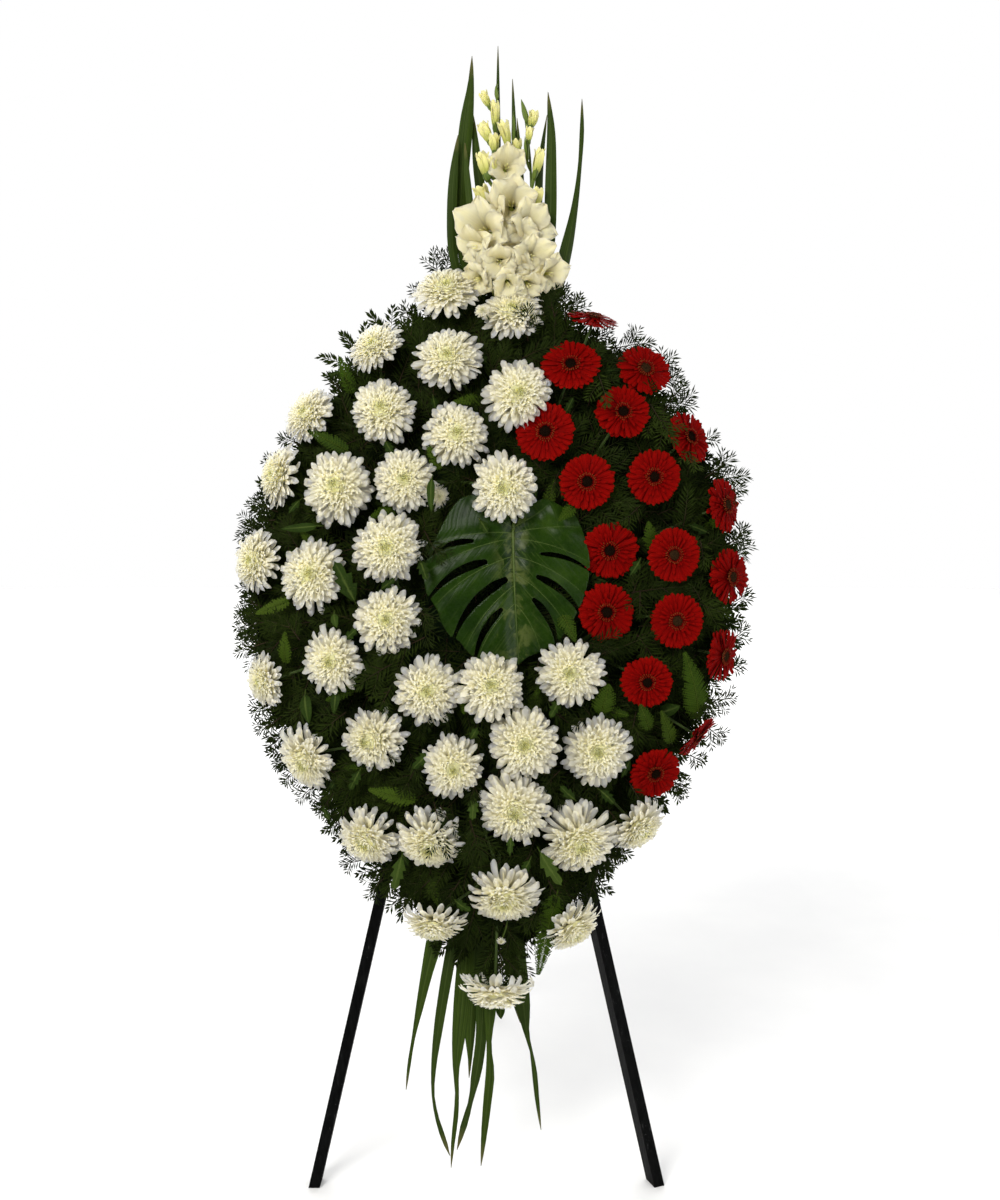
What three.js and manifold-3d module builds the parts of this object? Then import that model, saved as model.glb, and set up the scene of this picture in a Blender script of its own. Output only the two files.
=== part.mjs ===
// Oval funeral wreath of chrysanthemums, gerberas, gladioli, sword leaves and
// one split leaf, worked on a foam pad and a lath frame, standing on a folding
// three-legged easel of painted laths. Millimetres, +Z up. The origin is on the
// floor under the middle of the whole object; the wreath faces -Y.
import * as THREE from 'three';
import { mergeVertices } from 'three/addons/utils/BufferGeometryUtils.js';
import Module from 'manifold-3d';

const wasm = await Module();
wasm.setup();
const { Manifold, Mesh: SolidMesh } = wasm;

// ---------------------------------------------------------------- dimensions
const LEAN = THREE.MathUtils.degToRad(12);      // front legs and wreath lean back
const GAP = 0.3;                                // clearance between fitted pieces

const LEG_W = 20, LEG_D = 30;                   // front leg lath, width and depth
const LEG_FOOT = 322;                           // outer edge at the floor, from the middle
const LEG_APEX = 1423;                          // height up the lean where outer edges would meet
const LEG_TOP = 1330;                           // top end, measured up the lean
const RIGHT_TWIST = THREE.MathUtils.degToRad(-21); // the right lath is turned about its length

const BLOCK = { b0: 1210, b1: 1340, half0: 70, half1: 30, c0: -52.5, c1: -30.5 };
const PIN_B = 1300, PIN_C = -59.8, PIN_R = 2.5, BORE_R = 2.9, KNUCKLE_R = 5;
const LEAF_T = 2, LEAF_L = 60, HINGE_W = 30;
const REAR_OPEN = THREE.MathUtils.degToRad(18.1); // rear leg from the vertical
const REAR_W = 30, REAR_D = 20, REAR_ABOVE = 25.3;

const SPINE = { half: 14, b0: 660, b1: 1460, c0: 0.5, c1: 12.5 };
const RAIL_H = 28, RAIL = { c0: 12.8, c1: 24.8 };
const RAIL_UPPER = { b: 1190, half: 235 }, RAIL_LOWER = { b: 880, half: 235 };
const PEG_R = 4;

// wreath: centre of the oval and its radii every 7.5 degrees, from -180 degrees
const CENTRE = [8.3, 1067.9];
const OUTLINE = [473.9, 477.3, 479.2, 480.3, 483.9, 489.3, 496.1, 509.2, 533.4, 567.2, 609.8, 658.5,
  690.6, 678.1, 626.8, 571.1, 533.6, 510.1, 493.3, 483.4, 478.4, 475.2, 473.7, 474.8,
  479.0, 486.2, 495.1, 503.9, 511.5, 518.3, 527.4, 540.8, 557.1, 573.8, 591.2, 608.7,
  619.5, 613.0, 588.6, 558.8, 535.6, 520.5, 509.0, 497.3, 486.4, 478.9, 474.4, 472.5];
const FOAM_RHO = 0.62, FOAM_C0 = 32, FOAM_C1 = 90;  // a domed pad, its wall up to FOAM_C1
const BED_RHO = 0.945, BED_C0 = 30, BED_DROP = 60;
const CROWN_EDGE = 50, CROWN_RISE = 140;        // flower heads stand on an oval crown

// flower heads: across, up the lean, out of the lean, facing direction, radius
const MUMS = [
  [-71, 1624, 105.1, -0.041, 0.567, 0.822, 63.2],
  [48, 1579.6, 121.6, 0.019, 0.509, 0.86, 59.1],
  [-198.1, 1520.5, 110.9, -0.418, 0.396, 0.818, 52.1],
  [-67.3, 1490.3, 148.6, 0.018, 0.232, 0.973, 60.2],
  [-316.2, 1397.7, 108.7, -0.551, 0.228, 0.802, 52],
  [-181.9, 1395.7, 148.9, -0.094, 0.118, 0.989, 60],
  [-48.7, 1352.5, 172.6, -0.007, 0.038, 0.999, 57.7],
  [58.1, 1425.8, 167.6, -0.012, 0.152, 0.988, 63.1],
  [-368.6, 1287.1, 112.2, -0.753, 0.127, 0.646, 55.4],
  [-258.2, 1261.8, 154.5, -0.134, -0.044, 0.99, 65],
  [-141, 1271.6, 172.6, 0.014, -0.046, 0.999, 55.8],
  [35.2, 1256.9, 190.9, -0.003, -0.044, 0.999, 60.6],
  [-408.2, 1134.6, 113.3, -0.672, -0.008, 0.741, 55.2],
  [-169.8, 1152.1, 177.8, -0.012, -0.037, 0.999, 62.5],
  [-304.6, 1106.8, 154.3, -0.288, 0.035, 0.957, 63.1],
  [-170.9, 1026.9, 179.3, -0.025, -0.04, 0.999, 58.9],
  [-389.9, 921.2, 115.4, -0.755, -0.178, 0.631, 49.6],
  [-264.4, 956.2, 160.6, -0.229, -0.047, 0.972, 57.5],
  [-99.5, 904.3, 179.8, -0.047, -0.026, 0.999, 58.7],
  [12.8, 911.3, 194.3, 0.03, 0.145, 0.989, 60.1],
  [149, 935.3, 183.7, -0.015, -0.062, 0.998, 58.6],
  [-315.9, 785.5, 118.3, -0.52, -0.42, 0.744, 58.2],
  [-190.7, 822.5, 159.4, -0.314, -0.112, 0.943, 57.3],
  [-54.6, 773.2, 172.9, -0.026, -0.1, 0.995, 55.2],
  [69.5, 813.3, 183.6, -0.042, -0.089, 0.995, 63.7],
  [195, 800, 158.7, 0.013, -0.177, 0.984, 62.5],
  [52.4, 702.4, 167.7, -0.046, -0.319, 0.947, 63.9],
  [-207.5, 645.5, 119.6, -0.374, -0.581, 0.723, 59.8],
  [-97, 641.9, 148.4, -0.069, -0.57, 0.819, 59.1],
  [164.4, 642.6, 139.4, 0.067, -0.48, 0.875, 66.3],
  [270.8, 661.3, 104.1, 0.549, -0.645, 0.532, 56.7],
  [33.5, 544.2, 140.3, -0.03, -0.684, 0.729, 62.7],
  [-89.7, 492.3, 109.3, -0.075, -0.924, 0.374, 56.3],
  [154.1, 482.4, 92.9, 0.457, -0.715, 0.529, 54.9],
  [17.5, 370, 92, -0.034, -0.98, 0.195, 62],
];
const SPRAYS = [[1, 2], [3, 5, 6], [4, 8], [9, 10], [7, 11, 12], [13, 15], [14, 16], [17, 18],
  [22, 23, 28], [19, 24], [20, 21, 25], [26, 30, 31], [27, 29, 32], [33, 34, 35]];
const GERBERAS = [
  [196.5, 1578.3, 98, 0.187, 0.874, 0.449, 47],
  [152.4, 1481, 142.2, -0.114, 0.43, 0.896, 53.2],
  [287.1, 1481.1, 108.3, 0.315, 0.287, 0.905, 50.3],
  [244.2, 1396.6, 143.8, 0.143, 0.206, 0.968, 49.6],
  [105.3, 1356.6, 169.4, -0.052, 0.092, 0.994, 52.5],
  [366.2, 1356.8, 115.3, 0.606, 0.195, 0.771, 48.3],
  [178.3, 1268.2, 172, -0.008, -0.044, 0.999, 49.7],
  [297.6, 1279.9, 150.9, 0.156, -0.044, 0.987, 49.3],
  [430.4, 1235.3, 110.2, 0.744, 0.057, 0.665, 50],
  [218.8, 1150.1, 150, 0.098, -0.088, 0.991, 50.7],
  [331.6, 1142, 153.5, 0.088, -0.087, 0.992, 48.2],
  [437.7, 1106.1, 113.6, 0.679, -0.068, 0.731, 49.8],
  [213.1, 1041.6, 151, 0.082, -0.046, 0.996, 50.6],
  [336.5, 1026.3, 150.5, 0.105, -0.125, 0.987, 48.2],
  [424.7, 965.6, 109.6, 0.781, -0.188, 0.595, 48],
  [282.8, 919.7, 156, 0.108, -0.177, 0.978, 46.2],
  [376.4, 821.9, 104.7, 0.703, -0.609, 0.367, 44.4],
  [299.4, 759.5, 123, 0.314, -0.369, 0.875, 47.5],
];
const MUM_STEM = 3, SPRAY_STEM = 4, GERBERA_STEM = 3;

// the split leaf: outline, cuts from the rim inwards, leaf stalk
const LEAF_OUTLINE = [[49.2, 1190.1], [38.7, 1216.4], [12.5, 1239.3], [-17.2, 1246.3], [-41.7, 1241], [-62.7, 1216.4], [-83.5, 1176.1], [-100.9, 1139.3], [-106.1, 1106], [-102.5, 1076.3], [-93.7, 1062.4], [-81.5, 1041.4], [-76.2, 1024], [-60.5, 999.6], [-44.8, 990.9], [-29.2, 971.8], [-8.3, 956.2], [26.5, 950.9], [54.3, 949.2], [75.2, 963.1], [96.1, 971.8], [123.9, 987.5], [143.1, 1010.1], [160.6, 1039.7], [172.9, 1067.6], [181.7, 1100.8], [183.6, 1132.3], [178.4, 1158.5], [169.8, 1188.3], [155.9, 1214.7], [131.4, 1228.7], [105.2, 1239.3], [82.5, 1232.2], [65, 1214.7]];
const LEAF_CUTS = [[[-106.1, 1128.8], [-22.4, 1165.5], 8.5], [[-97.2, 1060.6], [0.3, 1128.8], 11.9], [[-51.8, 992.7], [35.2, 1097.3], 13.6], [[-15.2, 944], [28.2, 1044.9], 10.2], [[190.4, 1104.3], [98.1, 1142.8], 6.8], [[169.3, 1027.5], [92.8, 1102.5], 10.2], [[123.9, 975.3], [85.7, 1062.4], 10.2]];
const LEAF_C = 165, LEAF_THICK = 2, LEAF_BOW = 9;

// gladiolus florets: across, up, out, size
const SPIKES = {
  gladiolus_spike_left: {
    stem: [[26, 1442, 72], [24, 1560, 72], [21, 1742, 80], [21, 1935, 66], [20.9, 2024, 60]],
    florets: [[41.1, 1860.5, 86, 31.1], [3.1, 1737.2, 118, 43.2], [44.7, 1782.9, 96, 36.3], [-13, 1686.7, 122, 30.5], [35.5, 1670.4, 128, 28.7], [-6.3, 1798.6, 88, 20.1], [37.2, 1629, 140, 30.3], [-15, 1644.6, 110, 27], [-0.3, 1991.7, 66, 12.9], [17.3, 1971.3, 70, 13.8], [21, 2006.8, 66, 9.2], [-0.2, 1932.2, 74, 15.6], [17.3, 1904.5, 78, 15.6], [37, 1927.3, 72, 12.9], [-2.8, 1863.1, 84, 16.5], [57.7, 1899.6, 76, 11]],
  },
  gladiolus_spike_right: {
    stem: [[60, 1442, 74], [64, 1560, 72], [81, 1722, 84], [81.8, 1880, 64], [71, 1981, 54]],
    florets: [[86.1, 1744.6, 112, 36.1], [83.8, 1669.8, 130, 32.2], [112.7, 1645.4, 120, 32.3], [71, 1973.1, 56, 9.3], [88.4, 1958.3, 60, 12], [81.1, 1927.4, 62, 11.1], [77.5, 1894, 66, 11.1], [98.2, 1874.9, 72, 14.7], [92.1, 1796.7, 88, 14.6]],
  },
};
const BUD_MAX = 17;                             // florets smaller than this are still closed
const STALK_R = 4;

// sword leaves: rows of across, up, out, width
const FANS = {
  sword_leaves_upper_left: {
    tie: [3.5, 27.7, 1437, 1449, 41, 63],
    blades: [
      [[8.5, 1436, 57, 8], [0.8, 1536.7, 57, 11], [-28.5, 1618.1, 65.6, 16.5], [-55.7, 1684.8, 78.8, 16.4], [-61, 1774.5, 88, 18.2], [-57.5, 1852.4, 88, 14.6], [-50.3, 1917.4, 88, 2.7]],
      [[12.6, 1436, 52, 8], [8.1, 1537.9, 52, 12.9], [-17.6, 1620, 58.1, 18.4], [-41.3, 1709.6, 70.1, 20.2], [-43.2, 1838.7, 74, 23.8], [-34.2, 1954.7, 74, 23.9], [-26.9, 2022.3, 74, 11], [-25.1, 2071.2, 74, 2.8]],
      [[14.6, 1436, 61, 8], [11.8, 1535.8, 61, 9.2], [-10, 1634.2, 74.5, 11], [-20.7, 1721.3, 92.6, 10.9], [-28, 1784.8, 96, 12.7], [-33.5, 1840.2, 96, 10.9], [-37.3, 1899.5, 96, 2.7]],
      [[16.6, 1436, 47, 8], [15.4, 1539, 47, 11.1], [8.1, 1658, 55.5, 16.6], [-4.8, 1786.1, 64, 18.4], [-15.9, 1879.7, 64, 16.6], [-23.4, 1968.1, 64, 2.8]],
      [[22.7, 1436, 43, 8], [26.5, 1540, 43, 11.1], [24.7, 1659.7, 49.5, 14.8], [22.8, 1845.1, 56, 12.9], [22.8, 1976.9, 56, 8.3], [22.8, 2098.1, 56, 2.2]],
    ],
  },
  sword_leaves_upper_right: {
    tie: [51.4, 85.5, 1437, 1449, 44, 66],
    blades: [
      [[56.4, 1436, 46, 8], [48.6, 1539.3, 46, 11.1], [52.3, 1658.4, 54, 14.7], [56, 1805.5, 62, 12.9], [52.4, 1936.8, 62, 9.2], [49.6, 2033, 62, 2.2]],
      [[62.5, 1436, 56, 8], [59.6, 1536.9, 56, 9.2], [66.8, 1654.8, 67, 12.8], [66.8, 1800.1, 78, 11], [63.2, 1874.6, 78, 9.2], [57.7, 1953.1, 78, 2.2]],
      [[68.6, 1436, 51, 8], [70.7, 1538.1, 51, 11], [89, 1638.6, 58.3, 16.5], [96.2, 1765.5, 69.9, 16.5], [101.9, 1868.2, 70, 12.9], [113.1, 1961.9, 70, 2.2]],
      [[74.5, 1436, 60, 8], [81.5, 1536, 60, 12.8], [103.4, 1617.6, 67.2, 20.1], [115.9, 1724.1, 83.5, 22.8], [119.7, 1853.1, 86, 20.1], [119.8, 1927.5, 86, 14.6], [114.4, 1998.5, 86, 2.7]],
      [[80.5, 1436, 64, 8], [92.4, 1535.1, 64, 12.8], [123.4, 1607.4, 70.8, 21.9], [146.6, 1693.5, 86.9, 23.7], [162.9, 1779.9, 94, 12.7], [172.2, 1859.5, 94, 7.3], [176, 1924.4, 94, 8.2], [176.2, 1982.1, 94, 2.2]],
    ],
  },
  sword_leaves_lower_left: {
    tie: [-33.6, -17.1, 676, 688, 50, 59],
    blades: [
      [[-28.6, 690, 57, 8], [-27.6, 652.8, 57, 14.4], [-65.6, 544.2, 47.6, 28.9], [-91.3, 452.3, 33.4, 30.8], [-106, 393.5, 26.4, 21.8], [-118.7, 333.9, 24, 14.5], [-131.2, 271.3, 24, 6.3], [-138.3, 226.7, 24, 6.3], [-143.5, 182.2, 24, 2.2]],
      [[-22.1, 690, 52, 8], [-16.9, 652.2, 52, 14.5], [-42.3, 543.4, 42.3, 21.7], [-60.7, 442, 26.4, 20.9], [-73.6, 368.6, 18.7, 20], [-86.1, 287.7, 18, 16.4], [-94.2, 216.2, 18, 9.1], [-94.9, 171.6, 18, 5.4], [-87.6, 130.6, 18, 7.2], [-74.8, 91.5, 18, 9], [-63.9, 63, 18, 2.7]],
    ],
  },
  sword_leaves_lower_middle: {
    tie: [-7.6, 14.4, 676, 688, 40, 52],
    blades: [
      [[-2.6, 690, 47, 8], [-4.3, 651.7, 47, 14.5], [-22.5, 524.3, 34.8, 29], [-35.4, 413.5, 18.6, 31], [-44.5, 313.7, 14, 29.1], [-49.9, 259.8, 14, 21.8], [-53.4, 211.5, 14, 10.9], [-51.6, 175.8, 14, 7.3], [-53.3, 134.7, 14, 9.1], [-58.7, 86.6, 14, 7.2], [-62.2, 40.4, 14, 2.2]],
      [[1.7, 690, 42, 8], [2.9, 651.1, 42, 10.9], [-17.2, 467.9, 20.5, 21.9], [-24.6, 339.3, 8, 20.1], [-28.2, 276.3, 8, 18.2], [-28.2, 231.4, 8, 7.3], [-29.9, 199.1, 8, 2.2]],
      [[5, 690, 45, 8], [8.4, 651.5, 45, 14.5], [1, 487.1, 27, 29.1], [-4.5, 340.2, 12, 25.5], [-8.1, 268.3, 12, 20], [-17.1, 205.6, 12, 18.2], [-26.2, 160.9, 12, 9.1], [-38.8, 116.3, 12, 12.7], [-51.5, 71.7, 12, 2.7]],
      [[9.4, 690, 50, 8], [15.7, 652, 50, 12.7], [12, 488.4, 34.8, 21.8], [8.3, 324.5, 22, 21.8], [6.6, 261.9, 22, 9.1], [8.4, 208.3, 22, 16.3], [3.9, 163.8, 22, 15.4], [-2.4, 101.6, 22, 10.8], [-7.8, 46.7, 22, 2.2]],
    ],
  },
  sword_leaves_lower_right: {
    tie: [24.5, 37.7, 676, 688, 52, 59],
    blades: [
      [[32.7, 690, 57, 8], [31.9, 652.8, 57, 14.4], [48.2, 525.7, 44.1, 25.3], [61, 415.2, 26.9, 27.2], [70.1, 324.5, 22, 23.6], [75.5, 279.8, 22, 9.1], [82.7, 253, 22, 5.4], [88.1, 220.8, 22, 9.1], [93.5, 167.4, 22, 8.1], [100.6, 110.5, 22, 2.2]],
      [[29.5, 690, 54, 8], [26.5, 652.4, 54, 14.4], [35.5, 525.2, 40.7, 25.3], [48.3, 414.4, 23, 29.1], [61.1, 341.5, 18, 25.5], [70.1, 302, 18, 16.4]],
    ],
  },
};
const BLADE_T = 1.6;

// ------------------------------------------------------------------- helpers
const V = (a, b, c) => new THREE.Vector3(a, b, c);
const clamp01 = (x) => Math.max(0, Math.min(1, x));

function outline(phi) {
  const t = (((phi + Math.PI) / (2 * Math.PI)) % 1 + 1) % 1 * OUTLINE.length;
  const i = Math.floor(t), f = t - i;
  return OUTLINE[i % OUTLINE.length] * (1 - f) + OUTLINE[(i + 1) % OUTLINE.length] * f;
}
function rho(a, b) {
  const x = a - CENTRE[0], y = b - CENTRE[1];
  return Math.hypot(x, y) / outline(Math.atan2(y, x));
}
const crown = (r) => CROWN_EDGE + CROWN_RISE * Math.sqrt(1 - clamp01(r) ** 2);

function solid(geometry) {
  let g = geometry.clone();
  g.deleteAttribute('normal');
  g.deleteAttribute('uv');
  g = mergeVertices(g, 1e-3);
  return new Manifold(new SolidMesh({
    numProp: 3,
    vertProperties: new Float32Array(g.attributes.position.array),
    triVerts: new Uint32Array(g.index.array),
  }));
}
function largest(m) {
  const parts = m.decompose();
  parts.sort((p, q) => q.volume() - p.volume());
  return parts[0];
}
function geometryOf(m) {
  const mesh = m.getMesh();
  const g = new THREE.BufferGeometry();
  g.setAttribute('position', new THREE.BufferAttribute(new Float32Array(mesh.vertProperties), 3));
  g.setIndex(new THREE.BufferAttribute(new Uint32Array(mesh.triVerts), 1));
  g.computeVertexNormals();
  return g;
}
function box(a0, a1, b0, b1, c0, c1) {
  return new THREE.BoxGeometry(a1 - a0, b1 - b0, c1 - c0)
    .translate((a0 + a1) / 2, (b0 + b1) / 2, (c0 + c1) / 2);
}
function rod(p, q, r0, r1, sides) {
  const d = new THREE.Vector3().subVectors(q, p), len = d.length();
  const g = new THREE.CylinderGeometry(r1, r0, len, sides);
  g.applyQuaternion(new THREE.Quaternion().setFromUnitVectors(V(0, 1, 0), d.normalize()));
  return g.translate((p.x + q.x) / 2, (p.y + q.y) / 2, (p.z + q.z) / 2);
}
function turned(profile, segments, at, dir) {
  const g = new THREE.LatheGeometry(profile.map(([x, y]) => new THREE.Vector2(x, y)), segments);
  g.applyQuaternion(new THREE.Quaternion().setFromUnitVectors(V(0, 1, 0), dir.clone().normalize()));
  return g.translate(at.x, at.y, at.z);
}
const overlaps = (m, n) => {
  const p = m.boundingBox(), q = n.boundingBox();
  for (let i = 0; i < 3; i++) if (p.min[i] > q.max[i] || q.min[i] > p.max[i]) return false;
  return true;
};

// ---------------------------------------------------------------- materials
const paint = new THREE.MeshStandardMaterial({ color: 0x1b1b1c, roughness: 0.5, metalness: 0.0 });
const steel = new THREE.MeshStandardMaterial({ color: 0x8d8f91, roughness: 0.35, metalness: 0.9 });
const lath = new THREE.MeshStandardMaterial({ color: 0xb08d5f, roughness: 0.75, metalness: 0.0 });
const foam = new THREE.MeshStandardMaterial({ color: 0x2f5d3a, roughness: 0.9, metalness: 0.0 });
const fir = new THREE.MeshStandardMaterial({ color: 0x20401f, roughness: 0.7, metalness: 0.0 });
const sword = new THREE.MeshStandardMaterial({ color: 0x3c6a26, roughness: 0.5, metalness: 0.0 });
const split = new THREE.MeshStandardMaterial({ color: 0x17421c, roughness: 0.25, metalness: 0.0 });
const cream = new THREE.MeshStandardMaterial({ color: 0xf2efd8, roughness: 0.6, metalness: 0.0 });
const red = new THREE.MeshStandardMaterial({ color: 0xa8100c, roughness: 0.55, metalness: 0.0 });
const ivory = new THREE.MeshStandardMaterial({ color: 0xf4efdf, roughness: 0.5, metalness: 0.0 });

const lean = new THREE.Group();                 // X across, Y up the lean, Z out to the front
lean.rotation.x = Math.PI / 2 - LEAN;
const rear = new THREE.Group();                 // hangs from the hinge pin
rear.position.set(0, PIN_B * Math.sin(LEAN) - PIN_C * Math.cos(LEAN),
  PIN_B * Math.cos(LEAN) + PIN_C * Math.sin(LEAN));
rear.rotation.x = REAR_OPEN;

function put(group, name, m, material) {
  const mesh = new THREE.Mesh(geometryOf(m), material);
  mesh.name = name;
  group.add(mesh);
}

// the floor as a cutter, in each group's own axes
function floorIn(group) {
  group.updateMatrixWorld(true);
  const g = new THREE.BoxGeometry(3000, 3000, 600).translate(0, 0, -300);
  g.applyMatrix4(group.matrixWorld.clone().invert());
  return solid(g);
}
const floorLean = floorIn(lean), floorRear = floorIn(rear);

// --------------------------------------------------------------- easel, front
function blockShape(grow) {
  const s = new THREE.Shape();
  s.moveTo(-BLOCK.half0 - grow, BLOCK.b0 - grow);
  s.lineTo(BLOCK.half0 + grow, BLOCK.b0 - grow);
  s.lineTo(BLOCK.half1 + grow, BLOCK.b1 + grow);
  s.lineTo(-BLOCK.half1 - grow, BLOCK.b1 + grow);
  s.closePath();
  return new THREE.ExtrudeGeometry(s, { depth: BLOCK.c1 - BLOCK.c0 + 2 * grow, bevelEnabled: false })
    .translate(0, 0, BLOCK.c0 - grow);
}
const slope = Math.atan2(LEG_FOOT, LEG_APEX);
const blockGrown = solid(blockShape(GAP));

function legBody(side, twist, cMid) {
  // the lath's outer edge runs from (LEG_FOOT, 0) to (0, LEG_APEX)
  const len = 1500;
  const g = new THREE.BoxGeometry(LEG_W, len, LEG_D);
  g.rotateY(twist);
  g.translate(-LEG_W / 2, len / 2 - 90, cMid);
  g.rotateZ(slope);
  g.translate(LEG_FOOT, 0, 0);
  if (side < 0) {
    g.scale(-1, 1, 1);
    const idx = g.index.array;
    for (let i = 0; i < idx.length; i += 3) [idx[i], idx[i + 1]] = [idx[i + 1], idx[i]];
  }
  return solid(g)
    .subtract(floorLean)
    .subtract(solid(box(-200, 200, LEG_TOP, LEG_TOP + 200, -100, 100)));
}
const boltAt = (side) => V(side * (LEG_FOOT * (1 - 1276 / LEG_APEX) - LEG_W / 2 - 0.6), 1276, 0);
const pegAt = (side) => V(side * (LEG_FOOT * (1 - (RAIL_UPPER.b - RAIL_H / 2 - PEG_R - GAP) / LEG_APEX) - LEG_W / 2 - 0.4),
  RAIL_UPPER.b - RAIL_H / 2 - PEG_R - GAP, 0);

function bolt(side, grow) {
  const at = boltAt(side);
  return solid(turned([[0, -47 - grow], [2.5 + grow, -46 - grow], [3 + grow, -42], [3 + grow, 0.3 - grow],
    [6.2 + grow, 0.3 - grow], [6.2 + grow, 2.6], [0, 4.6 + grow]], 8,
  at.clone().setZ(side > 0 ? 0.2 : 0), V(0, 0, 1)));
}
function peg(side, grow) {
  const at = pegAt(side);
  const shank = solid(rod(V(at.x, at.y, -27 - grow), V(at.x, at.y, 29 + grow), PEG_R + grow, PEG_R + grow, 10));
  const tip = solid(box(at.x - PEG_R - grow, at.x + PEG_R + grow, at.y - 3, at.y + 16 + grow, 25.2 - grow, 29 + grow));
  return shank.add(tip);
}
const rightMid = -18.2;
let leftLeg = legBody(-1, 0, -LEG_D / 2).subtract(blockGrown);
let rightLeg = legBody(1, -RIGHT_TWIST, rightMid).subtract(blockGrown);
// where the two tops meet, each is planed to the middle
leftLeg = leftLeg.subtract(solid(box(-GAP, 200, 900, 1400, -100, 100)));
rightLeg = rightLeg.subtract(solid(box(-200, GAP, 900, 1400, -100, 100)));
let block = solid(blockShape(0));
for (const side of [-1, 1]) {
  const b = bolt(side, GAP + 0.1), p = peg(side, GAP + 0.1);
  if (side < 0) leftLeg = leftLeg.subtract(b).subtract(p); else rightLeg = rightLeg.subtract(b).subtract(p);
  block = block.subtract(b);
  put(lean, side < 0 ? 'left_leg_bolt' : 'right_leg_bolt', bolt(side, 0), steel);
  put(lean, side < 0 ? 'wreath_peg_left' : 'wreath_peg_right', peg(side, 0), steel);
}

// --------------------------------------------------------------------- hinge
function knuckle(a0, a1, b, c) {
  return solid(rod(V(a0, b, c), V(a1, b, c), KNUCKLE_R, KNUCKLE_R, 10));
}
const THIRD = 4.8, STEP = 5.4;
function screw(at, dir, grow) {
  return solid(turned([[0, -12 - grow], [1.6 + grow, -9], [1.6 + grow, GAP],
    [3.4 + (grow ? 0.2 : 0), GAP], [3.4 + (grow ? 0.2 : 0), 1 + grow], [0, 1.6 + grow]], 8, at, dir));
}
// fixed leaf, on the back of the block, below the pin
const fixFace = BLOCK.c0 - GAP;
let fixed = solid(box(-HINGE_W / 2, HINGE_W / 2, PIN_B - 6 - LEAF_L, PIN_B - 6, fixFace - LEAF_T, fixFace))
  .add(solid(box(-THIRD, THIRD, PIN_B - 8, PIN_B + 3.2, fixFace - LEAF_T - 0.6, fixFace)))
  .add(knuckle(-THIRD, THIRD, PIN_B, PIN_C))
  .subtract(solid(rod(V(-40, PIN_B, PIN_C), V(40, PIN_B, PIN_C), BORE_R, BORE_R, 10)));
const fixedScrews = [[-8, PIN_B - 22], [8, PIN_B - 50]];
fixedScrews.forEach(([a, b], i) => {
  const at = V(a, b, fixFace - LEAF_T), dir = V(0, 0, -1);
  const hole = screw(at, dir, GAP + 0.1);
  block = block.subtract(hole);
  fixed = fixed.subtract(hole);
  put(lean, 'hinge_screw_' + (i + 1), screw(at, dir, 0), steel);
});
put(lean, 'hinge_plate_fixed', fixed, steel);
put(lean, 'head_block', block, paint);
put(lean, 'left_leg', leftLeg, paint);
put(lean, 'right_leg', rightLeg, paint);
put(lean, 'hinge_pin', solid(turned([[0, -17.5], [PIN_R - 0.5, -17.5], [PIN_R, -17], [PIN_R, 15.6], [4.2, 15.6],
  [4.2, 17.2], [0, 17.8]], 10, V(0, PIN_B, PIN_C), V(1, 0, 0))), steel);

// --------------------------------------------------------------- easel, rear
const rearFace = 7;                             // the lath's front face, behind the pin
let rearLeg = solid(new THREE.BoxGeometry(REAR_W, REAR_D, 1480)
  .translate(0, rearFace + REAR_D / 2, REAR_ABOVE - 740)).subtract(floorRear);
let moving = solid(new THREE.BoxGeometry(HINGE_W, LEAF_T, LEAF_L)
  .translate(0, rearFace - GAP - LEAF_T / 2, -6 - LEAF_L / 2));
for (const side of [-1, 1]) {
  const a0 = side < 0 ? -HINGE_W / 2 : STEP, a1 = side < 0 ? -STEP : HINGE_W / 2;
  moving = moving
    .add(solid(new THREE.BoxGeometry(a1 - a0, rearFace - GAP - 3.6, 11.2)
      .translate((a0 + a1) / 2, (rearFace - GAP + 3.6) / 2, -2.4)))
    .add(solid(rod(V(a0, 0, 0), V(a1, 0, 0), KNUCKLE_R, KNUCKLE_R, 10)));
}
moving = moving.subtract(solid(rod(V(-40, 0, 0), V(40, 0, 0), BORE_R, BORE_R, 10)));
[[-8, -22], [8, -50]].forEach(([a, z], i) => {
  const at = V(a, rearFace - GAP - LEAF_T, z), dir = V(0, -1, 0);
  const hole = screw(at, dir, GAP + 0.1);
  rearLeg = rearLeg.subtract(hole);
  moving = moving.subtract(hole);
  put(rear, 'hinge_screw_' + (i + 3), screw(at, dir, 0), steel);
});
put(rear, 'hinge_plate_moving', moving, steel);
put(rear, 'rear_leg', rearLeg, paint);

// --------------------------------------------------------------- lath frame
put(lean, 'frame_spine', solid(box(-SPINE.half, SPINE.half, SPINE.b0, SPINE.b1, SPINE.c0, SPINE.c1)), lath);
for (const [name, r] of [['frame_rail_upper', RAIL_UPPER], ['frame_rail_lower', RAIL_LOWER]]) {
  put(lean, name, solid(box(-r.half, r.half, r.b - RAIL_H / 2, r.b + RAIL_H / 2, RAIL.c0, RAIL.c1)), lath);
}

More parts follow.
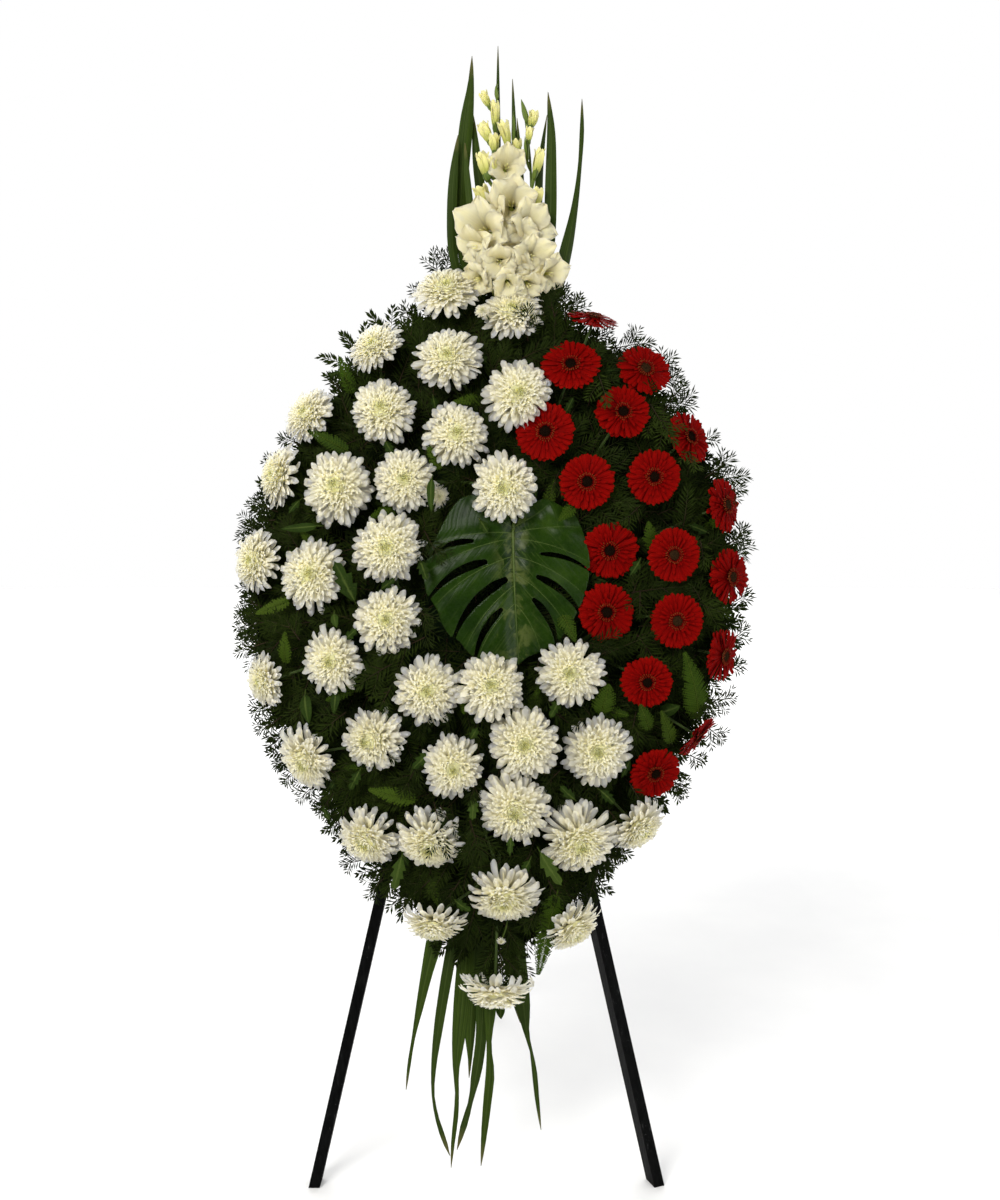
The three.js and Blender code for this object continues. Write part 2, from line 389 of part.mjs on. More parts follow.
// ------------------------------------------------------------ flower heads
// each flower keeps a slightly larger copy of itself, so that what is made
// after it is cut clear of it
const taken = [];                               // { name, grown: [solids] }
function clear(name, m) {
  for (const t of taken) {
    if (t.name === name) continue;
    for (const g of t.grown) if (overlaps(m, g)) m = m.subtract(g);
  }
  return largest(m);
}
function mumHead([a, b, c, x, y, z, R], grow) {
  const e = grow ? 0.5 : 0, r = R * 0.97 + e;
  return solid(turned([[0, -12 - e], [r, 0], [r * 0.86, 17 + e], [r * 0.4, 28 + e], [0, 30 + e]],
    8, V(a, b, c), V(x, y, z)));
}
function gerberaHead([a, b, c, x, y, z, R], grow) {
  const e = grow ? 0.5 : 0, r = R * 0.98 + e;
  return solid(turned([[0, -11 - e], [r, -1.5 - e], [r, 2 + e], [0, 9 + e]],
    8, V(a, b, c), V(x, y, z)));
}
function footIn(a, b) {                         // where a stem is pushed into the foam
  const x = a - CENTRE[0], y = b - CENTRE[1], r = rho(a, b);
  const s = r < 1e-6 ? 1 : 0.555 * Math.tanh(1.5 * r) / Math.tanh(1.5) / r;
  return V(CENTRE[0] + x * s, CENTRE[1] + y * s, 64 + 30 * (1 - clamp01(r) ** 2));
}
const back = ([a, b, c, x, y, z], d) => V(a - x * d, b - y * d, c - z * d);

function addFlower(name, heads, head, joint, foot, rHead, rMain, material) {
  const sticks = [];
  for (const h of heads) sticks.push([back(h, 8), joint || foot, rHead, rHead]);
  if (joint) sticks.push([joint, foot, rMain, rMain * 0.9]);
  let m = null;
  for (const h of heads) m = m ? m.add(head(h, false)) : head(h, false);
  for (const [p, q, r0, r1] of sticks) m = m.add(solid(rod(p, q, r0, r1, 5)));
  if (joint) m = m.add(solid(new THREE.IcosahedronGeometry(rMain * 1.7, 0).translate(joint.x, joint.y, joint.z)));
  m = clear(name, m);
  const grown = heads.map((h) => head(h, true));
  const coarse = heads.map((h) => solid(turned([[0, -13], [h[6] * 1.09, -2.5], [h[6] * 1.09, 26], [0, 34]], 6,
    V(h[0], h[1], h[2]), V(h[3], h[4], h[5]))));
  for (const [p, q, r0, r1] of sticks) {
    const d = q.clone().sub(p).normalize().multiplyScalar(0.5);
    grown.push(solid(rod(p.clone().sub(d), q.clone().add(d), r0 + 0.5, r1 + 0.5, 5)));
    coarse.push(solid(rod(p.clone().sub(d), q.clone().add(d), (r0 + 0.4) * 1.42, (r1 + 0.4) * 1.42, 4)));
  }
  if (joint) {
    const knot = solid(new THREE.IcosahedronGeometry(rMain * 1.7 + 0.6, 0).translate(joint.x, joint.y, joint.z));
    grown.push(knot);
    coarse.push(knot);
  }
  taken.push({ name, grown, coarse });
  put(lean, name, m, material);
}
const pad = (i) => String(i).padStart(2, '0');
const JOINTS = {                                // branching point and foot of some sprays
  1: [V(-8, 1532, 90), V(-10, 1420, 74)],
  14: [V(25, 588, 102), V(24, 700, 78)],
  13: [V(0, 655, 120), V(-8, 740, 72)],
};
SPRAYS.forEach((group, i) => {
  const heads = group.map((k) => MUMS[k - 1]);
  const mid = heads.reduce((s, h) => s.add(back(h, 12)), V(0, 0, 0)).multiplyScalar(1 / heads.length);
  const foot = footIn(mid.x, mid.y);
  const joint = mid.clone().lerp(foot, 0.5);
  const [j, f] = JOINTS[i + 1] || [joint, foot];
  addFlower('chrysanthemum_spray_' + pad(i + 1), heads, mumHead, j, f, MUM_STEM, SPRAY_STEM, cream);
});
GERBERAS.forEach((h, i) => {
  addFlower('gerbera_' + pad(i + 1), [h], gerberaHead, null, footIn(h[0], h[1]), GERBERA_STEM, GERBERA_STEM, red);
});

// --------------------------------------------------------------- split leaf
function leafAt(a) { return LEAF_C - LEAF_BOW * ((a - 38) / 145) ** 2; }
function leafPlate(grow) {
  const s = new THREE.Shape(LEAF_OUTLINE.map(([a, b]) => new THREE.Vector2(a, b)));
  let m = solid(new THREE.ExtrudeGeometry(s, { depth: LEAF_THICK + 2 * grow, bevelEnabled: false }).translate(0, 0, -grow));
  for (const [[a0, b0], [a1, b1], w] of LEAF_CUTS) {
    const d = new THREE.Vector2(a1 - a0, b1 - b0), n = new THREE.Vector2(-d.y, d.x).normalize().multiplyScalar(w / 2);
    const out = d.clone().normalize().multiplyScalar(-14);
    const cut = new THREE.Shape([
      new THREE.Vector2(a0 + out.x + n.x * 1.2, b0 + out.y + n.y * 1.2), new THREE.Vector2(a0 + out.x - n.x * 1.2, b0 + out.y - n.y * 1.2),
      new THREE.Vector2(a1 - n.x * 0.5, b1 - n.y * 0.5), new THREE.Vector2(a1 + n.x * 0.5, b1 + n.y * 0.5)]);
    m = m.subtract(solid(new THREE.ExtrudeGeometry(cut, { depth: 20, bevelEnabled: false }).translate(0, 0, -10)));
  }
  const g = geometryOf(m), p = g.attributes.position;
  for (let i = 0; i < p.count; i++) p.setZ(i, p.getZ(i) + leafAt(p.getX(i)));
  return solid(g);
}
const stalk = (grow) => solid(rod(V(50, 1186, LEAF_C + 0.8), V(52, 1150, 66 - grow), 2.6 + grow, 3 + grow, 6));
{
  const m = clear('monstera_leaf', leafPlate(0).add(stalk(0)));
  taken.push({ name: 'monstera_leaf', grown: [leafPlate(0.5), stalk(0.5)] });
  put(lean, 'monstera_leaf', m, split);
}

// ---------------------------------------------------------------- gladioli
function along(points, up) {
  for (let i = 1; i < points.length; i++) {
    if (up <= points[i][1] || i === points.length - 1) {
      const t = clamp01((up - points[i - 1][1]) / (points[i][1] - points[i - 1][1]));
      return V(...points[i - 1]).lerp(V(...points[i]), t);
    }
  }
  return V(...points[0]);
}
function spike({ stem, florets }, grow) {
  const parts = [];
  const path = new THREE.CatmullRomCurve3(stem.map((q) => V(...q)));
  const ring = new THREE.Shape(Array.from({ length: 4 }, (_, i) => {
    const t = 2 * Math.PI * i / 4, r = STALK_R + grow;
    return new THREE.Vector2(r * Math.cos(t), r * Math.sin(t));
  }));
  parts.push(new THREE.ExtrudeGeometry(ring, { extrudePath: path, steps: 5, bevelEnabled: false }));
  for (const [a, b, c, r] of florets) {
    const root = along(stem, b - r * 1.3), tip = V(a, b, c);
    if (r < BUD_MAX) {
      const d = tip.clone().sub(root).normalize();
      parts.push(rod(root, tip.addScaledVector(d, r * 0.6 + grow), 2.4 + grow, r * 0.55 + grow, 4));
    } else {
      parts.push(rod(root, tip, 3.4 + grow, r * 0.86 + grow, 7));
    }
  }
  return parts.map((g) => solid(g));
}
for (const [name, s] of Object.entries(SPIKES)) {
  let m = null;
  for (const p of spike(s, 0)) m = m ? m.add(p) : p;
  m = clear(name, m);
  taken.push({ name, grown: spike(s, 0.5) });
  put(lean, name, m, ivory);
}

// -------------------------------------------------------------- sword leaves
function blade(rows, grow) {
  const n = rows.length - 1;
  const g = new THREE.BoxGeometry(1, 1, 1, 1, n, 1), p = g.attributes.position;
  for (let i = 0; i < p.count; i++) {
    const k = Math.round((p.getY(i) + 0.5) * n), [a, b, c, w] = rows[k];
    const [pa, pb] = rows[Math.max(0, k - 1)], [na, nb] = rows[Math.min(n, k + 1)];
    const d = new THREE.Vector2(na - pa, nb - pb).normalize();
    const s = Math.sign(p.getX(i)) * (w / 2 + grow) * (d.y > 0 ? 1 : -1);
    const end = k === 0 ? -grow : k === n ? grow : 0;
    p.setXYZ(i, a + d.y * s * (d.y > 0 ? 1 : 1) + d.x * end, b - d.x * s + d.y * end,
      c + Math.sign(p.getZ(i)) * (BLADE_T / 2 + grow));
  }
  let m = null;
  try { m = solid(g); } catch (e) { m = null; }
  if (!m || m.volume() < 0 || m.isEmpty()) {
    const idx = g.index.array;
    for (let i = 0; i < idx.length; i += 3) [idx[i], idx[i + 1]] = [idx[i + 1], idx[i]];
    m = solid(g);
  }
  return m;
}
for (const [name, { tie, blades }] of Object.entries(FANS)) {
  const [a0, a1, b0, b1, c0, c1] = tie;
  let m = solid(box(...tie));
  const grown = [solid(box(a0 - 0.5, a1 + 0.5, b0 - 0.5, b1 + 0.5, c0 - 0.5, c1 + 0.5))];
  const coarse = [grown[0]];
  for (const rows of blades) {
    m = m.add(blade(rows, 0));
    grown.push(blade(rows, 0.5));
    coarse.push(blade(rows.slice(0, 4), 0.7));
  }
  m = clear(name, m);
  taken.push({ name, grown, coarse });
  put(lean, name, m, sword);
}

// ---------------------------------------------------- foam pad and greenery
function domed(profile, segments) {
  // a turned profile of (share of the oval's radius, height), drawn out to the oval
  const g = new THREE.LatheGeometry(profile.map(([x, y]) => new THREE.Vector2(x, y)), segments);
  const p = g.attributes.position;
  for (let i = 0; i < p.count; i++) {
    const x = p.getX(i), z = -p.getZ(i), r = Math.hypot(x, z), phi = Math.atan2(z, x);
    const R = r * outline(phi);
    p.setXYZ(i, CENTRE[0] + R * Math.cos(phi), CENTRE[1] + R * Math.sin(phi), p.getY(i));
  }
  return solid(g);
}
const bedTop = (r) => crown(r) - BED_DROP;
let pad0 = domed([[0, FOAM_C0], [FOAM_RHO - 0.02, FOAM_C0], [FOAM_RHO, FOAM_C0 + 9], [FOAM_RHO, FOAM_C1],
  [FOAM_RHO - 0.07, bedTop(FOAM_RHO - 0.07)], [0.34, bedTop(0.34)], [0, bedTop(0)]], 24);
let bed = domed([[FOAM_RHO + 0.003, BED_C0], [BED_RHO - 0.02, BED_C0], [BED_RHO, bedTop(BED_RHO)], [0.85, bedTop(0.85)],
  [0.72, bedTop(0.72)], [FOAM_RHO + 0.003, bedTop(FOAM_RHO + 0.003)], [FOAM_RHO + 0.003, BED_C0]], 24);
for (const side of [-1, 1]) { pad0 = pad0.subtract(peg(side, 0.5)); }
for (const t of taken) {
  for (const g of t.coarse || t.grown) {
    if (overlaps(pad0, g)) pad0 = pad0.subtract(g);
    if (overlaps(bed, g)) bed = bed.subtract(g);
  }
}
put(lean, 'foam_pad', largest(pad0), foam);
put(lean, 'greenery_bed', largest(bed), fir);

// -------------------------------------------------------------------- whole
const wreath = new THREE.Group();
wreath.add(lean, rear);
wreath.updateMatrixWorld(true);
const bounds = new THREE.Box3().setFromObject(wreath, true);
wreath.position.set(-(bounds.min.x + bounds.max.x) / 2, -(bounds.min.y + bounds.max.y) / 2, 0);
wreath.updateMatrixWorld(true);

export default wreath;
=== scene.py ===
import bpy, math
import numpy as np
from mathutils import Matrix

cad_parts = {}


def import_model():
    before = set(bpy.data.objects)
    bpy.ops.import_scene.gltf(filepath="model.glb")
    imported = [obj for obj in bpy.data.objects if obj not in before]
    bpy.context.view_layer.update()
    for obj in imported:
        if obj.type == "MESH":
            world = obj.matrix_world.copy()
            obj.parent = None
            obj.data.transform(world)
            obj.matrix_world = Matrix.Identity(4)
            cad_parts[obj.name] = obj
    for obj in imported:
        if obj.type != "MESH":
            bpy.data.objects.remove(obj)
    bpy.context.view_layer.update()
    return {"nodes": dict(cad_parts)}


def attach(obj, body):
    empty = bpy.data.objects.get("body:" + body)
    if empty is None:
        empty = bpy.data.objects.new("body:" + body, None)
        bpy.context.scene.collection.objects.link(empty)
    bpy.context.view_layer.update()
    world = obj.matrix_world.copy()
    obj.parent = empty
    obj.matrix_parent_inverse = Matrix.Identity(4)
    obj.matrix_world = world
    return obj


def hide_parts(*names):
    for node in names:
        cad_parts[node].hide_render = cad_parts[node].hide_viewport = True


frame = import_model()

# ------------------------------------------------------------------ the frame
# Flowers are laid out in millimetres across the wreath (a), up its lean (b)
# and out of its face (c); world() carries them into the row frame in metres.
LEAN = math.radians(12.0)
AX = np.array([1.0, 0.0, 0.0])
UPL = np.array([0.0, math.sin(LEAN), math.cos(LEAN)])
OUTL = np.array([0.0, -math.cos(LEAN), math.sin(LEAN)])
SHIFT = np.array([-0.010587, -0.351598, 0.0])


def world(P):
    P = np.asarray(P, float)
    return (P[..., 0:1] * AX + P[..., 1:2] * UPL + P[..., 2:3] * OUTL) * 0.001 + SHIFT


def unit(v):
    v = np.asarray(v, float)
    return v / np.maximum(np.linalg.norm(v, axis=-1, keepdims=True), 1e-12)


def smooth(x, lo, hi):
    t = np.clip((np.asarray(x, float) - lo) / (hi - lo), 0, 1)
    return t * t * (3 - 2 * t)


CENTRE = np.array([8.3, 1067.9])
OUTLINE = np.array([473.9, 477.3, 479.2, 480.3, 483.9, 489.3, 496.1, 509.2, 533.4, 567.2, 609.8, 658.5,
    690.6, 678.1, 626.8, 571.1, 533.6, 510.1, 493.3, 483.4, 478.4, 475.2, 473.7, 474.8,
    479.0, 486.2, 495.1, 503.9, 511.5, 518.3, 527.4, 540.8, 557.1, 573.8, 591.2, 608.7,
    619.5, 613.0, 588.6, 558.8, 535.6, 520.5, 509.0, 497.3, 486.4, 478.9, 474.4, 472.5])


def outline(phi):
    t = ((np.asarray(phi, float) + math.pi) / (2 * math.pi) % 1.0) * 48
    i = np.floor(t).astype(int)
    f = t - i
    return OUTLINE[i % 48] * (1 - f) + OUTLINE[(i + 1) % 48] * f


def rho_of(a, b):
    x, y = a - CENTRE[0], b - CENTRE[1]
    return np.hypot(x, y) / outline(np.arctan2(y, x))


def crown(r):
    return 50 + 140 * np.sqrt(1 - np.clip(r, 0, 1) ** 2)


def foot_in(a, b):
    """Where a stem whose head stands at (a, b) goes into the foam."""
    x, y = a - CENTRE[0], b - CENTRE[1]
    r = max(rho_of(a, b), 1e-3)
    s = 0.555 * math.tanh(1.5 * r) / math.tanh(1.5) / r
    return np.array([CENTRE[0] + x * s, CENTRE[1] + y * s, 64 + 30 * (1 - min(1.0, r) ** 2)])


# ------------------------------------------------------------- mesh gathering
class Soup:
    """Closed pieces of mesh in lean millimetres, with two attributes a point:
    pt = (along, across, random) and pk = (ring or kind, two spare)."""

    def __init__(self):
        self.v, self.f, self.pt, self.pk, self.rim, self.m = [], [], [], [], [], []
        self.n = 0

    def add(self, V, faces, pt, pk=None, rim=None, mat=0):
        V = np.asarray(V, float).reshape(-1, 3)
        k = len(V)
        self.v.append(V)
        for F in faces:
            F = np.asarray(F, np.int64)
            if F.size:
                self.f.append(F + self.n)
                self.m.append(np.full(len(F), mat, np.int32))
        self.pt.append(np.broadcast_to(np.asarray(pt, float).reshape(-1, 3), (k, 3)))
        self.pk.append(np.zeros((k, 3)) if pk is None else np.broadcast_to(np.asarray(pk, float).reshape(-1, 3), (k, 3)))
        self.rim.append(np.zeros(k, bool) if rim is None else np.asarray(rim, bool).reshape(-1))
        self.n += k

    def tris(self):
        return sum(len(f) * (f.shape[1] - 2) for f in self.f)

    def build(self, name, mats, body="easel_front", smooth_all=True, lean=True):
        V = np.concatenate(self.v)
        W = world(V) if lean else V
        mesh = bpy.data.meshes.new(name)
        mesh.vertices.add(len(W))
        mesh.vertices.foreach_set("co", W.astype(np.float32).ravel())
        loops = np.concatenate([f.ravel() for f in self.f])
        sizes = np.concatenate([np.full(len(f), f.shape[1], np.int64) for f in self.f])
        mesh.loops.add(len(loops))
        mesh.loops.foreach_set("vertex_index", loops.astype(np.int32))
        mesh.polygons.add(len(sizes))
        starts = np.concatenate([[0], np.cumsum(sizes)[:-1]])
        mesh.polygons.foreach_set("loop_start", starts.astype(np.int32))
        mesh.polygons.foreach_set("material_index", np.concatenate(self.m))
        mesh.polygons.foreach_set("use_smooth", np.full(len(sizes), smooth_all))
        mesh.update(calc_edges=True)
        for key, data in (("pt", self.pt), ("pk", self.pk)):
            at = mesh.attributes.new(key, "FLOAT_VECTOR", "POINT")
            at.data.foreach_set("vector", np.concatenate(data).astype(np.float32).ravel())
        rim = np.concatenate(self.rim)
        if rim.any():
            e = np.zeros(len(mesh.edges) * 2, np.int32)
            mesh.edges.foreach_get("vertices", e)
            e = e.reshape(-1, 2)
            at = mesh.attributes.new("sharp_edge", "BOOLEAN", "EDGE")
            at.data.foreach_set("value", rim[e[:, 0]] & rim[e[:, 1]])
        mesh.validate()
        for m in mats:
            mesh.materials.append(m)
        o = bpy.data.objects.new(name, mesh)
        bpy.context.scene.collection.objects.link(o)
        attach(o, body)
        return o


def strips(soup, C, S, W, th, cup=0.0, m=3, rnd=None, pk=None, tipround=None, ripple=None, mat=0, v=None, rim=True):
    """Closed thin strips: C (P,n,3) middle line, S (P,n,3) or (P,1,3) across,
    W (P,n) half width, th (P,n) half thickness, cup how far the edges lift."""
    C = np.asarray(C, float)
    P, n, _ = C.shape
    T = unit(np.gradient(C, axis=1))
    S = np.broadcast_to(np.asarray(S, float), C.shape)
    S = unit(S - T * np.sum(S * T, -1, keepdims=True))
    U = np.cross(S, T)
    W = np.broadcast_to(np.asarray(W, float), (P, n))
    th = np.broadcast_to(np.asarray(th, float), (P, n))
    cup = np.broadcast_to(np.asarray(cup, float), (P, n))
    x = np.linspace(-1, 1, m)
    prof = np.sqrt(np.clip(1 - x * x, 0, 1)) ** 0.5
    lift = cup[..., None] * W[..., None] * x ** 2
    if ripple is not None:
        lift = lift + ripple
    back = 0.0
    if tipround is not None:
        back = np.broadcast_to(np.asarray(tipround, float), (P, n))[..., None] * W[..., None] * x ** 2
    base = C[:, :, None, :] + S[:, :, None, :] * (W[..., None] * x)[..., None] + U[:, :, None, :] * lift[..., None]
    if tipround is not None:
        base = base - T[:, :, None, :] * back[..., None]
    off = U[:, :, None, :] * (th[..., None] * prof)[..., None]
    top = base + off
    bot = (base - off)[:, :, m - 2:0:-1]
    V = np.concatenate([top, bot], axis=2)          # (P,n,q,3)
    q = 2 * m - 2
    idx = np.arange(P * n * q).reshape(P, n, q)
    j2 = np.roll(np.arange(q), -1)
    a = idx[:, :-1, :]
    b = idx[:, :-1, :][:, :, j2]
    c = idx[:, 1:, :][:, :, j2]
    d = idx[:, 1:, :]
    quads = np.stack([a, b, c, d], -1).reshape(-1, 4)
    tip = idx[:, -1, :]
    basef = idx[:, 0, ::-1]
    vv = np.linspace(0, 1, n) if v is None else np.asarray(v, float)
    uu = np.concatenate([x, x[m - 2:0:-1]])
    rnd = np.zeros(P) if rnd is None else np.asarray(rnd, float)
    pt = np.stack(np.broadcast_arrays(vv[None, :, None], uu[None, None, :], rnd[:, None, None]), -1)
    if pk is not None:
        pk = np.asarray(pk, float)
        if pk.ndim == 1:
            pk = pk[None, :]
        pk = np.broadcast_to(pk[:, None, None, :] if pk.ndim == 2 else pk, (P, n, q, 3)).reshape(-1, 3)
    rimf = np.zeros((P, n, q), bool)
    if rim:
        rimf[:, :, 0] = True
        rimf[:, :, m - 1] = True
    soup.add(V.reshape(-1, 3), [quads, tip, basef], pt.reshape(-1, 3), pk, rimf.reshape(-1), mat)


def tube(soup, pts, rad, sides=6, rnd=0.0, kind=(0, 0, 0), mat=0, ripple=None):
    """A closed round stem through pts with radii rad."""
    pts = np.asarray(pts, float)
    n = len(pts)
    rad = np.broadcast_to(np.asarray(rad, float), (n,))
    T = unit(np.gradient(pts, axis=0))
    ref = np.array([0.31, 0.21, 0.93])
    if abs(T[0] @ ref) > 0.9:
        ref = np.array([1.0, 0, 0])
    S = unit(np.cross(T, ref))
    U = np.cross(S, T)
    ang = np.linspace(0, 2 * math.pi, sides, endpoint=False)
    # clockwise seen from the tip, like the strips
    ring = -np.cos(ang)[None, :, None] * S[:, None, :] + np.sin(ang)[None, :, None] * U[:, None, :]
    V = pts[:, None, :] + ring * rad[:, None, None]
    idx = np.arange(n * sides).reshape(n, sides)
    j2 = np.roll(np.arange(sides), -1)
    quads = np.stack([idx[:-1], idx[:-1][:, j2], idx[1:][:, j2], idx[1:]], -1).reshape(-1, 4)
    vv = np.linspace(0, 1, n)
    pt = np.stack(np.broadcast_arrays(vv[:, None], ang[None, :] / math.pi - 1, rnd), -1).reshape(-1, 3)
    soup.add(V.reshape(-1, 3), [quads, idx[-1:][:, ::1], idx[:1][:, ::-1]], pt, np.asarray(kind, float), None, mat)


def spline(points, n, cols=None):
    """Catmull-Rom through rows of numbers, n samples, spaced by length."""
    P = np.asarray(points, float)
    d = np.maximum(np.linalg.norm(np.diff(P[:, :3], axis=0), axis=1), 1e-6)
    s = np.concatenate([[0], np.cumsum(d)])
    t = np.linspace(0, s[-1], n)
    k = len(P)
    M = np.zeros_like(P)
    for i in range(k):
        if i == 0:
            M[i] = (P[1] - P[0]) / d[0]
        elif i == k - 1:
            M[i] = (P[-1] - P[-2]) / d[-1]
        else:
            M[i] = ((P[i + 1] - P[i]) / d[i] * d[i - 1] + (P[i] - P[i - 1]) / d[i - 1] * d[i]) / (d[i] + d[i - 1])
    i = np.clip(np.searchsorted(s, t, side="right") - 1, 0, k - 2)
    h = d[i][:, None]
    f = ((t - s[i]) / d[i])[:, None]
    return ((2 * f**3 - 3 * f**2 + 1) * P[i] + (f**3 - 2 * f**2 + f) * h * M[i]
            + (-2 * f**3 + 3 * f**2) * P[i + 1] + (f**3 - f**2) * h * M[i + 1])


def frame_of(nrm, turn=0.0, ref=(0, 1, 0)):
    """Three unit vectors, the third along nrm."""
    ez = unit(nrm)
    ref = np.asarray(ref, float)
    if abs(ez @ ref) > 0.95:
        ref = np.array([1.0, 0, 0])
    ex = unit(np.cross(ref, ez))
    ey = np.cross(ez, ex)
    c, s = math.cos(turn), math.sin(turn)
    return np.stack([c * ex + s * ey, -s * ex + c * ey, ez])


# ------------------------------------------------------------------ materials
class Nodes:
    """Shorthand for building a node material."""

    def __init__(self, name):
        self.mat = bpy.data.materials.new(name)
        self.mat.use_nodes = True
        self.t = self.mat.node_tree
        self.t.nodes.clear()
        self.out = self.t.nodes.new("ShaderNodeOutputMaterial")
        self.bsdf = self.t.nodes.new("ShaderNodeBsdfPrincipled")
        self.t.links.new(self.bsdf.outputs[0], self.out.inputs["Surface"])

    def put(self, socket, value):
        if isinstance(value, bpy.types.NodeSocket):
            self.t.links.new(value, socket)
        elif isinstance(value, tuple) and len(value) == 3 and socket.type == "RGBA":
            socket.default_value = (*value, 1.0)
        else:
            socket.default_value = value

    def node(self, kind, ins=None, **props):
        n = self.t.nodes.new(kind)
        for k, v in props.items():
            setattr(n, k, v)
        for k, v in (ins or {}).items():
            self.put(n.inputs[k], v)
        return n

    def math(self, op, a, b=0.0, c=0.0, clamp=False):
        n = self.node("ShaderNodeMath", {0: a, 1: b, 2: c}, operation=op, use_clamp=clamp)
        return n.outputs[0]

    def attr(self, name):
        a = self.node("ShaderNodeAttribute", attribute_name=name)
        s = self.node("ShaderNodeSeparateXYZ", {0: a.outputs["Vector"]})
        return s.outputs[0], s.outputs[1], s.outputs[2]

    def mix(self, f, a, b, blend="MIX"):
        n = self.node("ShaderNodeMix", data_type="RGBA", blend_type=blend)
        self.put(n.inputs[0], f)
        self.put(n.inputs[6], a)
        self.put(n.inputs[7], b)
        return n.outputs[2]

    def ramp(self, f, stops, interp="LINEAR"):
        n = self.node("ShaderNodeValToRGB", {0: f})
        e = n.color_ramp.elements
        n.color_ramp.interpolation = interp
        while len(e) < len(stops):
            e.new(0.5)
        for k, (p, c) in zip(e, stops):
            k.position = p
            k.color = (*c, 1.0) if len(c) == 3 else c
        return n.outputs[0]

    def map(self, x, a, b, c=0.0, d=1.0, smooth_=False):
        n = self.node("ShaderNodeMapRange", {0: x, 1: a, 2: b, 3: c, 4: d}, interpolation_type="SMOOTHSTEP" if smooth_ else "LINEAR")
        return n.outputs[0]

    def coords(self):
        return self.node("ShaderNodeTexCoord").outputs["Object"]

    def noise(self, scale, detail=3.0, rough=0.55, vec=None, dist=0.0):
        n = self.node("ShaderNodeTexNoise", {"Vector": vec or self.coords(), "Scale": scale, "Detail": detail, "Roughness": rough, "Distortion": dist})
        return n.outputs[0]

    def bump(self, height, strength=0.3, distance=0.001):
        n = self.node("ShaderNodeBump", {"Height": height, "Strength": strength, "Distance": distance})
        self.t.links.new(n.outputs[0], self.bsdf.inputs["Normal"])

    def combine(self, x, y, z):
        return self.node("ShaderNodeCombineXYZ", {0: x, 1: y, 2: z}).outputs[0]

    def set(self, **kw):
        names = {"color": "Base Color", "rough": "Roughness", "metal": "Metallic", "sub": "Subsurface Weight",
                 "subr": "Subsurface Radius", "subs": "Subsurface Scale", "spec": "Specular IOR Level", "sheen": "Sheen Weight",
                 "sheenr": "Sheen Roughness", "coat": "Coat Weight", "coatr": "Coat Roughness", "trans": "Transmission Weight", "ior": "IOR"}
        for k, v in kw.items():
            self.put(self.bsdf.inputs[names[k]], v)
        return self.mat


def streaks(n, v, u, rnd, across=9.0, along=1.2, seed=17.0):
    """Fine lines that run along a petal or leaf."""
    vec = n.combine(n.math("MULTIPLY", v, along), n.math("MULTIPLY", u, across), n.math("MULTIPLY", rnd, seed))
    return n.noise(1.0, 2.0, 0.5, vec)


def mat_mum():
    n = Nodes("chrysanthemum petal")
    v, u, r = n.attr("pt")
    ring, heart, shade_grey = n.attr("pk")
    # the heart of the head is yellow, the outer rings are creamy white
    inner = n.map(ring, 0.66, 0.98, 0.0, 1.0, True)
    root = n.map(v, 0.80, 0.10, 0.0, 1.0, True)
    shell = n.mix(n.map(ring, 0.0, 0.55, 0.0, 1.0, True), (0.955, 0.90, 0.67), (0.97, 0.91, 0.55))
    cream = n.mix(inner, shell, (0.95, 0.86, 0.24))
    deep = n.mix(inner, (0.88, 0.81, 0.38), (0.68, 0.62, 0.045))
    col = n.mix(n.math("MULTIPLY", root, n.map(ring, 0.0, 1.0, 0.45, 1.0)), cream, deep)
    col = n.mix(heart, col, (0.115, 0.155, 0.012))
    # old outer petals go thin and greyish
    # some outer petals are painted greyish towards their tips: painted shade on the outer rows
    col = n.mix(n.math("MULTIPLY", shade_grey, n.map(v, 0.3, 1.0, 0.10, 0.60)), col, (0.70, 0.675, 0.585))
    line = streaks(n, v, u, r, 7.0, 1.6)
    col = n.mix(n.map(line, 0.35, 0.75, 0.0, 0.30), col, (0.82, 0.745, 0.42))
    tip = n.math("MULTIPLY", n.map(v, 0.90, 1.0), n.map(r, 0.6, 1.0, 0.0, 0.30))
    col = n.mix(tip, col, (0.68, 0.57, 0.34))
    blot = n.noise(160.0, 4.0)
    col = n.mix(n.map(blot, 0.5, 0.8, 0.0, 0.18), col, (0.80, 0.74, 0.52))
    n.bump(n.math("ADD", line, n.math("MULTIPLY", blot, 0.3)), 0.3, 0.0005)
    return n.set(color=col, rough=n.map(blot, 0.3, 0.7, 0.50, 0.68), sub=0.85, subr=(1.0, 0.92, 0.66), subs=0.015, spec=0.05)


